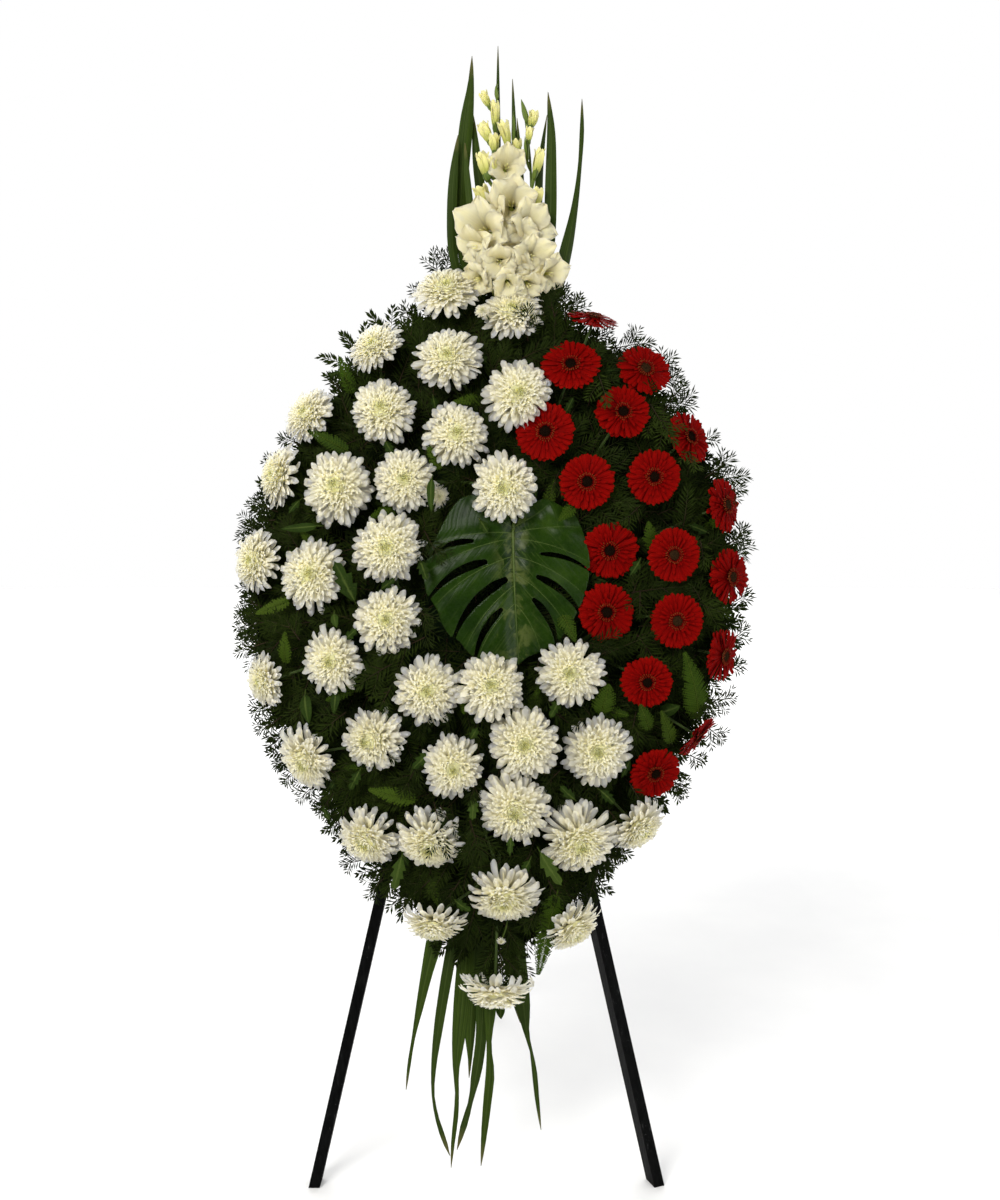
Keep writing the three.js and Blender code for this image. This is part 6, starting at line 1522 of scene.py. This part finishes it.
def split_leaf():
    L = closed_spline(LEAF_OUTLINE, 240)
    cell = 3.4
    xs = np.arange(L[:, 0].min() - 6, L[:, 0].max() + 6, cell)
    ys = np.arange(L[:, 1].min() - 6, L[:, 1].max() + 6, cell)
    X, Y = np.meshgrid(xs, ys, indexing="ij")
    d, _ = seg_dist(X, Y, np.concatenate([L, L[:1]]))
    f = np.where(inside_poly(X, Y, L), d, -d)
    for (outer, inner, w) in LEAF_CUTS:
        o, i = np.array(outer, float), np.array(inner, float)
        o = o + (o - i) * 0.06
        nrm = np.array([-(i - o)[1], (i - o)[0]])
        nrm = nrm / np.linalg.norm(nrm) * (1 if nrm[1] > 0 else -1)
        C = bezier2(o, (o + i) / 2 + nrm * np.linalg.norm(i - o) * 0.15 * 2 * 0.72, i, 16)
        dd, t = seg_dist(X, Y, C)
        half = w * (0.20 + 0.42 * smooth(t, 0.0, 0.75) - 0.22 * smooth(t, 0.85, 1.0))
        f = np.minimum(f, dd - half)
    nx, ny = X.shape
    ins = f > 0
    vid = {}
    pos = []

    def vertex(key, x, y):
        if key not in vid:
            vid[key] = len(pos)
            pos.append((x, y))
        return vid[key]

    polys, border = [], []
    cor = [(0, 0), (1, 0), (1, 1), (0, 1)]
    cells = np.argwhere(ins[:-1, :-1] | ins[1:, :-1] | ins[:-1, 1:] | ins[1:, 1:])
    for i, j in cells:
        poly, cross = [], []
        for k in range(4):
            i0, j0 = i + cor[k][0], j + cor[k][1]
            i1, j1 = i + cor[(k + 1) % 4][0], j + cor[(k + 1) % 4][1]
            f0, f1 = f[i0, j0], f[i1, j1]
            if f0 > 0:
                poly.append((vertex((i0, j0), X[i0, j0], Y[i0, j0]), False))
            if (f0 > 0) != (f1 > 0):
                s = min(max(f0 / (f0 - f1), 0.04), 0.96)
                key = (min(i0, i1), min(j0, j1), "h" if j0 == j1 else "v")
                poly.append((vertex(key, X[i0, j0] + s * (X[i1, j1] - X[i0, j0]), Y[i0, j0] + s * (Y[i1, j1] - Y[i0, j0])), True))
        ids = [p[0] for p in poly]
        polys.append(ids)
        for k in range(len(poly)):
            p, q = poly[k], poly[(k + 1) % len(poly)]
            if p[1] and q[1]:
                border.append((p[0], q[0]))
    P = np.array(pos)
    Z = leaf_height(P[:, 0], P[:, 1])
    K = len(P)
    V = np.concatenate([np.column_stack([P, Z]), np.column_stack([P, Z - 0.9])])
    by = {}
    for ids in polys:
        by.setdefault(len(ids), []).append(ids)
    F = []
    for k, group in by.items():
        g = np.array(group)
        F.append(g)
        F.append(g[:, ::-1] + K)
    bo = np.array(border)
    F.append(np.stack([bo[:, 1], bo[:, 0], bo[:, 0] + K, bo[:, 1] + K], -1))
    soup = Soup()
    mr, mt = seg_dist(P[:, 0], P[:, 1], MIDRIB)
    side = np.sign(P[:, 0] - np.interp(P[:, 1], MIDRIB[::-1, 1], MIDRIB[::-1, 0]))
    q = np.full(K, 1e9)
    for Lv in VEINS:
        q = np.minimum(q, seg_dist(P[:, 0], P[:, 1], Lv)[0])
    pt = np.column_stack([mr / 150, mt, side])
    edge = np.minimum(1, seg_dist(P[:, 0], P[:, 1], np.concatenate([L, L[:1]]))[0] / 30)
    pk = np.column_stack([np.minimum(1, q / 20), edge, np.zeros(K)])
    soup.add(V, F, np.concatenate([pt, pt]), np.concatenate([pk, pk]))
    # midrib, side veins and stalk
    z = leaf_height(MIDRIB[:, 0], MIDRIB[:, 1]) + 0.5
    tube(soup, np.column_stack([MIDRIB, z]), np.linspace(2.5, 0.7, len(MIDRIB)), 8, 0.5, (0, 0, 1), 1)
    for Lv in VEINS:
        Lv = Lv[:-1]
        z = leaf_height(Lv[:, 0], Lv[:, 1]) - 0.15
        tube(soup, np.column_stack([Lv, z]), np.linspace(0.60, 0.30, len(Lv)), 6, 0.4, (0, 0, 1), 1)
    stalk = spline([[49.6, 1186, leaf_height(np.array(49.6), np.array(1186.0)) + 0.2], [50, 1196, 158], [51, 1196, 120], [52, 1172, 86], [52, 1150, 66]], 12)
    tube(soup, stalk, 3.4, 8, 0.5, (0, 0, 1), 1)
    return soup


def mat_split():
    n = Nodes("split leaf")
    away, along, side = n.attr("pt")
    q, edge, _ = n.attr("pk")
    big = n.noise(16.0, 3.0, 0.55)
    col = n.ramp(big, [(0.3, (0.0050, 0.0160, 0.0008)), (0.55, (0.0105, 0.0280, 0.0015)), (0.78, (0.0210, 0.0450, 0.0036))])
    # washed yellow-green along the rib and its veins
    near = n.map(away, 0.30, 0.02, 0.0, 1.0, True)
    patch = n.noise(34.0, 4.0, 0.6, None, 0.8)
    wash = n.math("MULTIPLY", near, n.map(patch, 0.48, 0.62, 0.0, 0.85, True))
    col = n.mix(wash, col, (0.070, 0.088, 0.022))
    # fine side veins running out from the rib
    vec = n.combine(n.math("MULTIPLY", away, 1.5), n.math("ADD", n.math("MULTIPLY", along, 26.0), n.math("MULTIPLY", away, -20.0)), side)
    lines = n.noise(1.3, 2.0, 0.5, vec)
    thin = n.math("MULTIPLY", n.map(lines, 0.57, 0.60, 0.0, 1.0, True), n.map(lines, 0.64, 0.61, 0.0, 1.0, True))
    col = n.mix(n.math("MULTIPLY", thin, n.map(away, 0.75, 0.05, 0.1, 0.55)), col, (0.045, 0.070, 0.014))
    col = n.mix(n.map(q, 0.12, 0.0, 0.0, 0.45, True), col, (0.035, 0.060, 0.012))
    mott = n.noise(120.0, 4.0)
    col = n.mix(n.map(mott, 0.6, 0.78, 0.0, 0.35), col, (0.036, 0.058, 0.012))
    n.bump(n.math("ADD", n.math("MULTIPLY", lines, 0.8), n.math("MULTIPLY", mott, 0.25)), 0.35, 0.002)
    return n.set(color=col, rough=n.map(mott, 0.3, 0.7, 0.22, 0.34), spec=0.09)


def mat_rib():
    n = Nodes("leaf rib")
    g = n.noise(160.0, 4.0)
    v, u, r = n.attr("pt")
    col = n.mix(n.map(g, 0.3, 0.7), (0.040, 0.068, 0.010), (0.075, 0.105, 0.020))
    col = n.mix(n.map(v, 0.2, 1.0, 0.0, 0.6), col, (0.024, 0.048, 0.007))
    n.bump(g, 0.3, 0.0005)
    return n.set(color=col, rough=n.map(g, 0.3, 0.7, 0.3, 0.5), spec=0.2)


o = split_leaf().build("split_leaf", [mat_split(), mat_rib()])
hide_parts("monstera_leaf")


# --------------------------------------------------------------- sword leaves
def mat_sword():
    n = Nodes("sword leaf")
    v, u, r = n.attr("pt")
    line = n.noise(1.0, 2.0, 0.5, n.combine(n.math("MULTIPLY", v, 2.2), n.math("MULTIPLY", u, 10.0), n.math("MULTIPLY", r, 21.0)))
    rib = n.map(n.math("ABSOLUTE", u), 0.16, 0.0, 0.0, 1.0, True)
    col = n.mix(n.map(line, 0.3, 0.7), (0.0135, 0.0265, 0.0024), (0.039, 0.066, 0.0070))
    col = n.mix(n.math("MULTIPLY", r, 0.55), col, (0.018, 0.032, 0.0055))
    col = n.mix(n.math("MULTIPLY", rib, 0.35), col, (0.062, 0.092, 0.020))
    dry = n.math("MULTIPLY", n.map(v, 0.93, 1.0), 0.8)
    col = n.mix(dry, col, (0.14, 0.12, 0.045))
    g = n.noise(60.0, 4.0)
    col = n.mix(n.map(g, 0.58, 0.8, 0.0, 0.4), col, (0.055, 0.075, 0.018))
    n.bump(line, 0.55, 0.0012)
    return n.set(color=col, rough=n.map(g, 0.3, 0.7, 0.38, 0.55), spec=0.06, sub=0.03, subr=(0.3, 0.6, 0.1), subs=0.002)


M_SWORD = mat_sword()
M_TIE = None


def sword_fan(name, tie, blades, seed):
    rng = np.random.default_rng(seed)
    soup = Soup()
    for k, rows in enumerate(blades):
        P = np.array(rows, float)
        n = 30 if len(rows) > 6 else 24
        Q = spline(P, n)
        C = Q[:, :3]
        w = np.maximum(Q[:, 3] / 2, 0.8)
        w[-1] = 0.5
        if name == "sword_leaves_lower_right" and k == 1:
            w[-1] = 7.6
        t = np.linspace(0, 1, n)
        tw = rng.normal(0, 0.18) + rng.normal(0, 0.35) * np.sin(t * math.pi * rng.uniform(0.8, 1.6) + rng.uniform(0, 1))
        S = np.stack([np.cos(tw), 0 * tw, np.sin(tw)], -1)
        if C[-1, 1] < C[0, 1]:
            S = -S
        fold = np.interp(t, [0, 0.3, 1.0], [0.34, 0.20, 0.10]) * (1 + 0.3 * rng.normal())
        strips(soup, C[None], S[None], w[None] / np.maximum(np.cos(tw), 0.75)[None], np.full((1, n), 0.42), -fold[None], 5, [rng.random()], None, None, None, 0)
    o = soup.build(name + "_blades", [M_SWORD])
    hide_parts(name)


for s, (name, fan) in enumerate(FANS.items()):
    sword_fan(name, fan["tie"], fan["blades"], 300 + s)


# ------------------------------------------------------------------ gladioli
def mat_glad():
    n = Nodes("gladiolus petal")
    v, u, r = n.attr("pt")
    kind, throat, _ = n.attr("pk")
    col = n.ramp(v, [(0.0, (0.49, 0.44, 0.14)), (0.20, (0.60, 0.53, 0.23)), (0.42, (0.675, 0.605, 0.345)), (1.0, (0.69, 0.625, 0.405))])
    rib = n.map(n.math("ABSOLUTE", u), 0.14, 0.0, 0.0, 1.0, True)
    col = n.mix(n.math("MULTIPLY", rib, n.map(v, 0.9, 0.1, 0.0, 0.45)), col, (0.66, 0.62, 0.26))
    line = streaks(n, v, u, r, 12.0, 1.5)
    col = n.mix(n.map(line, 0.4, 0.75, 0.0, 0.35), col, (0.76, 0.68, 0.42))
    rim = n.math("MULTIPLY", n.map(n.math("ABSOLUTE", u), 0.8, 1.0), n.map(r, 0.5, 1.0, 0.0, 0.5))
    col = n.mix(rim, col, (0.66, 0.54, 0.30))
    g = n.noise(90.0, 4.0)
    col = n.mix(n.map(g, 0.55, 0.8, 0.0, 0.3), col, (0.74, 0.67, 0.42))
    n.bump(n.math("ADD", line, n.math("MULTIPLY", g, 0.4)), 0.4, 0.0009)
    return n.set(color=col, rough=n.map(g, 0.3, 0.7, 0.45, 0.62), sub=0.55, subr=(1.0, 0.88, 0.55), subs=0.006, spec=0.14)


def mat_bud():
    n = Nodes("gladiolus bud")
    v, u, r = n.attr("pt")
    line = streaks(n, v, u, r, 8.0, 2.0)
    col = n.ramp(v, [(0.0, (0.13, 0.20, 0.022)), (0.35, (0.42, 0.44, 0.095)), (0.65, (0.74, 0.69, 0.27)), (1.0, (0.84, 0.78, 0.42))])
    col = n.mix(n.map(line, 0.35, 0.7, 0.0, 0.5), col, (0.50, 0.50, 0.14))
    g = n.noise(140.0, 3.0)
    n.bump(n.math("ADD", line, g), 0.4, 0.0007)
    return n.set(color=col, rough=n.map(g, 0.3, 0.7, 0.45, 0.60), sub=0.25, subr=(0.7, 0.8, 0.3), subs=0.004, spec=0.15)


M_GLAD, M_BUD = mat_glad(), mat_bud()
M_CALYX = mat_leafy("gladiolus sheath", (0.045, 0.085, 0.012), (0.115, 0.165, 0.026), (0.22, 0.27, 0.060), 0.45, 0.14, 0.06)


def tepals(soup, at, F, r, count, phi0, rng, prof, widths, ruffle, mat, n=8, m=7, hood=0.0, point=0.75, grow0=None):
    """Petals round the third axis of F following prof (rows of out, along)."""
    phi = phi0 + np.arange(count) * 2 * math.pi / count + rng.normal(0, 0.10, count)
    P = spline(np.column_stack([np.asarray(prof, float), np.zeros(len(prof))]), n)[:, :2] * r
    s = np.linspace(0, 1, n)
    er = np.stack([np.cos(phi), np.sin(phi), 0 * phi], -1)
    ep = np.stack([-np.sin(phi), np.cos(phi), 0 * phi], -1)
    grow = 1 + rng.normal(0, 0.08, count)
    C = er[:, None, :] * P[None, :, 0:1] * grow[:, None, None] + np.array([0, 0, 1.0]) * P[None, :, 1:2]
    up = np.array([0, 1.0, 0]) @ F.T
    rise = (np.cos(phi) * up[0] + np.sin(phi) * up[1])
    bendz = rng.normal(0, 0.10, count) + hood * np.where(rise > 0, rise * 0.95, rise * 0.7)
    C = C + np.array([0, 0, 1.0]) * (bendz[:, None] * (s**2.2)[None, :] * r)[..., None]
    C = C + ep[:, None, :] * (rng.normal(0, 0.09, count)[:, None] * (s**2)[None, :] * r)[..., None]
    w = np.interp(s, *widths) * r
    x = np.linspace(-1, 1, m)
    k, ph, p2 = rng.uniform(3.4, 5.4, count), rng.uniform(0, 6.28, count), rng.uniform(0, 6.28, count)
    X = x[None, None, :]
    side = np.where(X > 0, 1.0, 0.0) * p2[:, None, None]
    rip = np.sin(k[:, None, None] * s[None, :, None] * 2 + ph[:, None, None] + side) * (abs(X)**1.6) * (s[None, :, None] ** 1.1) * ruffle * r
    rip = rip + np.sin(7.0 * X + p2[:, None, None]) * (s**4)[None, :, None] * ruffle * 0.75 * r
    cup = np.interp(s, [0, 0.35, 0.7, 1], [0.75, 0.42, 0.05, -0.22])[None, :] + rng.normal(0, 0.10, count)[:, None] * s[None, :]
    round_ = np.interp(s, [0, 0.7, 0.86, 1], [0, 0, 0.22 * point, point])[None, :]
    strips(soup, C @ F + at, (-ep @ F)[:, None, :], np.broadcast_to(w[None], (count, n)), 0.45, cup, m, rng.random(count),
           None, round_, rip, mat, s)


def floret(soup, at, facing, stem_at, r, rng, pointed):
    F = frame_of(facing, rng.uniform(0, 6.28))
    at = np.asarray(at, float)
    prof = [(0.10, -1.15), (0.16, -0.75), (0.34, -0.36), (0.68, -0.08), (0.98, -0.06), (1.16, -0.16)]
    inner = [(0.09, -1.15), (0.14, -0.75), (0.28, -0.32), (0.58, 0.02), (0.86, 0.10), (1.02, 0.06)]
    broad = ([0, .2, .42, .66, .86, 1], [.10, .20, .46, .66, .56, .20])
    sharp = ([0, .2, .42, .66, .86, 1], [.10, .20, .44, .54, .34, .05])
    p0 = rng.uniform(0, 6.28)
    tepals(soup, at, F, r, 3, p0, rng, prof, sharp if pointed else broad, 0.10, 0, 9, 9, 0.34, 0.1 if pointed else 0.8)
    tepals(soup, at, F, r, 3, p0 + math.pi / 3, rng, inner, broad, 0.13, 0, 9, 9, 0.44, 0.8)
    # stamens and style in the throat
    for k in range(4):
        a = p0 + k * 1.7
        e = np.array([0.12 * math.cos(a), 0.12 * math.sin(a), -0.02 + 0.10 * (k == 3)]) * r
        q = np.array([[0, 0, -0.9 * r], [e[0] * .5, e[1] * .5, -0.4 * r], e])
        tube(soup, q @ F + at, [0.7, 0.6, 0.9], 5, 0.4, (0, 0, 0), 1)
    back = (np.array([0, 0, -1.1 * r])) @ F + at
    q = spline([back + F[2] * 0.25 * r, back * 0.55 + np.asarray(stem_at) * 0.45 - F[2] * 0.1 * r, stem_at], 7)
    tube(soup, q, np.linspace(0.13 * r, 2.2, 7), 8, 0.4, (0, 0, 0), 1)
    sheaths(soup, stem_at, unit(back - np.asarray(stem_at) + np.array([0, 12.0, 0])), max(24.0, 0.9 * r), 5.5, rng)


def sheaths(soup, at, D, length, hw, rng, tone=None):
    """Two green leaves that clasp the foot of a bud."""
    at = np.asarray(at, float)
    F = frame_of(D, rng.uniform(0, 6.28))
    for k in (0, 1):
        a = k * math.pi
        e = np.array([math.cos(a), math.sin(a), 0.0])
        p = np.array([-math.sin(a), math.cos(a), 0.0])
        s = np.linspace(0, 1, 7)
        C = e * (np.interp(s, [0, .3, .7, 1], [.22, .62, .60, .25]) * hw)[:, None] + np.array([0, 0, 1.0]) * (s * length * (1 - 0.16 * k))[:, None]
        w = np.interp(s, [0, .25, .6, .85, 1], [.5, 1, .85, .45, .06]) * hw
        strips(soup, (C @ F + at)[None], (-p @ F)[None, None, :], w[None], 0.4, 0.55, 5, [rng.random() if tone is None else tone], None, None, None, 2)


def bud(soup, base, tip, R, green, stem_at, rng):
    base, tip, stem_at = (np.asarray(x, float) for x in (base, tip, stem_at))
    D = unit(tip - base)
    L = float(np.linalg.norm(tip - base))
    F = frame_of(D, rng.uniform(0, 6.28))
    if green:
        sheaths(soup, base, D, L * 1.02, R * 1.05, rng, 0.75)
        sheaths(soup, base + D * 0.12 * L, D, L * 0.80, R * 0.85, rng, 0.35)
    else:
        g = L / R
        prof = [(0.28, 0.0), (0.62, 0.25 * g), (0.82, 0.52 * g), (0.80, 0.78 * g), (1.22, 0.98 * g)]
        inner = [(0.20, 0.0), (0.48, 0.25 * g), (0.60, 0.52 * g), (0.55, 0.80 * g), (0.78, 1.03 * g)]
        wid = ([0, .25, .55, .85, 1], [.25, .75, .92, .72, .34])
        tepals(soup, base, F, R, 3, 0.3, rng, prof, wid, 0.10, 1, 8, 5)
        tepals(soup, base, F, R, 3, 0.3 + math.pi / 3, rng, inner, wid, 0.12, 1, 8, 5)
        sheaths(soup, base - D * 4.0, D, L * rng.uniform(0.55, 0.72), R * 0.95, rng)
    q = spline([base + D * 3, (base + stem_at) / 2, stem_at], 6)
    tube(soup, q, np.linspace(0.30 * R + 0.8, 2.0, 6), 7, 0.5, (0, 0, 0), 2)


for s, (name, spike) in enumerate(SPIKES.items()):
    rng = np.random.default_rng(500 + s)
    soup = Soup()
    stem = spline(spike["stem"], 40)
    tube(soup, stem, np.linspace(4.2, 1.8, 40), 9, 0.5, (0, 0, 0), 2)
    for a, b, c, r, fx, fy, fz, pointed in spike["florets"]:
        p = stem[int(np.argmin(abs(stem[:, 1] - (b - 1.0 * r))))]
        floret(soup, [a, b, c], [fx, fy, fz], p, r, rng, pointed)
    for a0, b0, c0, a1, b1, c1, R, green in spike["buds"]:
        p = stem[int(np.argmin(abs(stem[:, 1] - (b0 - 16.0 - 0.4 * abs(a0 - stem[-1, 0])))))]
        bud(soup, [a0, b0, c0], [a1, b1, c1], R, green, p, rng)
    o = soup.build(name + "_flowers", [M_GLAD, M_BUD, M_CALYX])
    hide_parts(name)


# ------------------------------------------------- easel, frame and fittings
def mat_easel():
    n = Nodes("worn black paint with painted sheen")
    co = n.coords()
    st = n.node("ShaderNodeMapping", {"Vector": co})
    st.inputs["Scale"].default_value = (1.0, 1.0, 0.10)
    grain = n.noise(170.0, 5.0, 0.6, st.outputs[0], 0.4)
    speck = n.noise(420.0, 3.0, 0.6)
    big = n.noise(9.0, 4.0)
    col = n.mix(n.map(grain, 0.35, 0.7), (0.0014, 0.0015, 0.0015), (0.0050, 0.0052, 0.0052))
    # pale streaks along the grain: scuffs in the paint and painted sheen from the light
    scuff_and_sheen = n.math("MULTIPLY", n.map(grain, 0.62, 0.72, 0.0, 1.0, True), n.map(big, 0.46, 0.62, 0.0, 0.7))
    col = n.mix(scuff_and_sheen, col, (0.055, 0.055, 0.056))
    rub = n.math("MULTIPLY", n.map(speck, 0.66, 0.72, 0.0, 1.0, True), n.map(big, 0.42, 0.62, 0.0, 0.6))
    col = n.mix(rub, col, (0.13, 0.13, 0.13))
    n.bump(n.math("ADD", grain, n.math("MULTIPLY", speck, 0.4)), 0.5, 0.0012)
    return n.set(color=col, rough=n.map(grain, 0.3, 0.75, 0.40, 0.62), spec=0.025)


def mat_lath():
    n = Nodes("planed lath")
    co = n.coords()
    st = n.node("ShaderNodeMapping", {"Vector": co})
    st.inputs["Scale"].default_value = (0.5, 3.0, 0.5)
    grain = n.noise(60.0, 6.0, 0.6, st.outputs[0], 1.2)
    ring = n.node("ShaderNodeTexWave", {"Vector": co, "Scale": 26.0, "Distortion": 6.0, "Detail": 3.0})
    col = n.ramp(grain, [(0.3, (0.30, 0.185, 0.085)), (0.5, (0.44, 0.29, 0.145)), (0.75, (0.56, 0.40, 0.22))])
    col = n.mix(n.map(ring.outputs[1], 0.3, 0.9, 0.0, 0.45), col, (0.27, 0.155, 0.07))
    n.bump(grain, 0.4, 0.0008)
    return n.set(color=col, rough=n.map(grain, 0.3, 0.7, 0.6, 0.8), spec=0.2)


def mat_steel():
    n = Nodes("zinc plated steel")
    g = n.noise(300.0, 4.0)
    b = n.noise(40.0, 3.0)
    col = n.mix(n.map(b, 0.35, 0.7), (0.40, 0.40, 0.41), (0.56, 0.56, 0.55))
    col = n.mix(n.map(g, 0.6, 0.75, 0.0, 0.4), col, (0.25, 0.23, 0.20))
    n.bump(g, 0.15, 0.0004)
    return n.set(color=col, rough=n.map(g, 0.3, 0.7, 0.25, 0.45), metal=1.0)


M_EASEL, M_LATH, M_STEEL = mat_easel(), mat_lath(), mat_steel()
HARD = {
    M_EASEL: ("easel_paint", ["head_block", "left_leg", "right_leg", "rear_leg"], 0.0012),
    M_LATH: ("frame_lath", ["frame_spine", "frame_rail_upper", "frame_rail_lower"], 0.0008),
    M_STEEL: ("easel_steel", ["hinge_plate_fixed", "hinge_plate_moving", "hinge_pin", "hinge_screw_1", "hinge_screw_2", "hinge_screw_3",
                              "hinge_screw_4", "left_leg_bolt", "right_leg_bolt", "wreath_peg_left", "wreath_peg_right"], 0.0003),
}
for m, (slotname, names, width) in HARD.items():
    for name in names:
        o = frame["nodes"][name]
        o.data.materials.clear()
        o.data.materials.append(m)
        for p in o.data.polygons:
            p.material_index = 0
        bev = o.modifiers.new("edge", "BEVEL")
        bev.width = width
        bev.segments = 2
        bev.limit_method = "ANGLE"
        bev.angle_limit = math.radians(40)


# ------------------------------------------------ small heads between the rest
SMALL = [  # node, across, up, out, facing, radius
    ("chrysanthemum_spray_01", BUDS[0][:3], (-0.05, 0.35, 0.93), 13.5, 0),
    ("chrysanthemum_spray_13", BUDS[1][:3], (0.0, -0.55, 0.84), 8.0, 0),
    ("chrysanthemum_spray_05", (-84.0, 1246.0, 148.0), (0.45, -0.15, 0.88), 25.0, 1),
]
for k, (node, at, nrm, R, stalk) in enumerate(SMALL, 1):
    rng = np.random.default_rng(3000 + k)
    soup = Soup()
    mum_head(soup, at, nrm, R, rng, 1.1, 0.0, 0, 1, rows=MUM_ROWS[::2] if R < 20 else MUM_ROWS[::2] + MUM_ROWS[-1:])
    if stalk:
        e = back_of((*at, *nrm), 0.3 * R)
        tube(soup, bowed(e, foot_in(e[0], e[1]), (0, 0, 0)), 1.8, 6, 0.4, (0, 0, 0), 1)
    o = soup.build("chrysanthemum_side_head_%d" % k, [M_MUM, M_GREEN])
    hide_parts(node)


# ------------------------------------------------------- floor, light, camera
def mat_floor():
    n = Nodes("pale floor")
    g = n.noise(3.0, 4.0)
    f = n.noise(180.0, 3.0)
    col = n.mix(n.map(g, 0.3, 0.7), (0.80, 0.80, 0.80), (0.84, 0.84, 0.835))
    n.bump(f, 0.05, 0.0005)
    return n.set(color=col, rough=n.map(f, 0.3, 0.7, 0.75, 0.9), spec=0.15)


mesh = bpy.data.meshes.new("floor")
mesh.from_pydata([(-7, -7, 0), (7, -7, 0), (7, 7, 0), (-7, 7, 0)], [], [(0, 1, 2, 3)])
floor = bpy.data.objects.new("floor", mesh)
bpy.context.scene.collection.objects.link(floor)
mesh.materials.append(mat_floor())

scene = bpy.context.scene
w = bpy.data.worlds.new("room")
scene.world = w
w.use_nodes = True
# white all round and overhead, dim in front, where the room is
bg = w.node_tree.nodes["Background"]
wt = w.node_tree
tc = wt.nodes.new("ShaderNodeTexCoord")
dp = wt.nodes.new("ShaderNodeVectorMath")
dp.operation = "DOT_PRODUCT"
dp.inputs[1].default_value = (0.0, -0.93, 0.36)
mr = wt.nodes.new("ShaderNodeMapRange")
mr.interpolation_type = "SMOOTHSTEP"
wt.links.new(tc.outputs["Generated"], dp.inputs[0])
wt.links.new(dp.outputs["Value"], mr.inputs[0])
for i, x in ((1, 0.62), (2, 0.05), (3, 0.16), (4, 1.0)):
    mr.inputs[i].default_value = x
wt.links.new(mr.outputs[0], bg.inputs[1])
bg.inputs[0].default_value = (1.0, 1.0, 1.0, 1.0)


def area(name, at, to, size, power, colour=(1, 1, 1)):
    from mathutils import Vector
    d = bpy.data.lights.new(name, "AREA")
    d.shape = "RECTANGLE"
    d.size, d.size_y = size
    d.energy = power
    d.color = colour
    o = bpy.data.objects.new(name, d)
    o.location = at
    o.rotation_euler = (Vector(to) - Vector(at)).to_track_quat("-Z", "Y").to_euler()
    scene.collection.objects.link(o)
    return o


area("key", (-1.5, -2.7, 3.0), (0.0, -0.2, 1.15), (1.8, 1.4), 114.0, (1.0, 0.985, 0.955))
area("fill", (2.3, -2.9, 1.7), (0.0, -0.2, 1.1), (1.8, 1.8), 42.0, (0.98, 0.985, 1.0))
area("back", (0.0, 5.0, 4.4), (0.0, 4.6, 0.0), (7.0, 4.0), 330.0)

cam = bpy.data.cameras.new("camera")
cam.lens = 42.87
cam.sensor_width = 36.0
cam.sensor_fit = "AUTO"
cam.clip_end = 50
co = bpy.data.objects.new("camera", cam)
co.location = (0.0159, -2.7516, 1.463)
co.rotation_euler = (math.radians(81.0), 0.0, 0.0)
scene.collection.objects.link(co)
scene.camera = co
scene.view_settings.view_transform = "Standard"
scene.view_settings.look = "None"
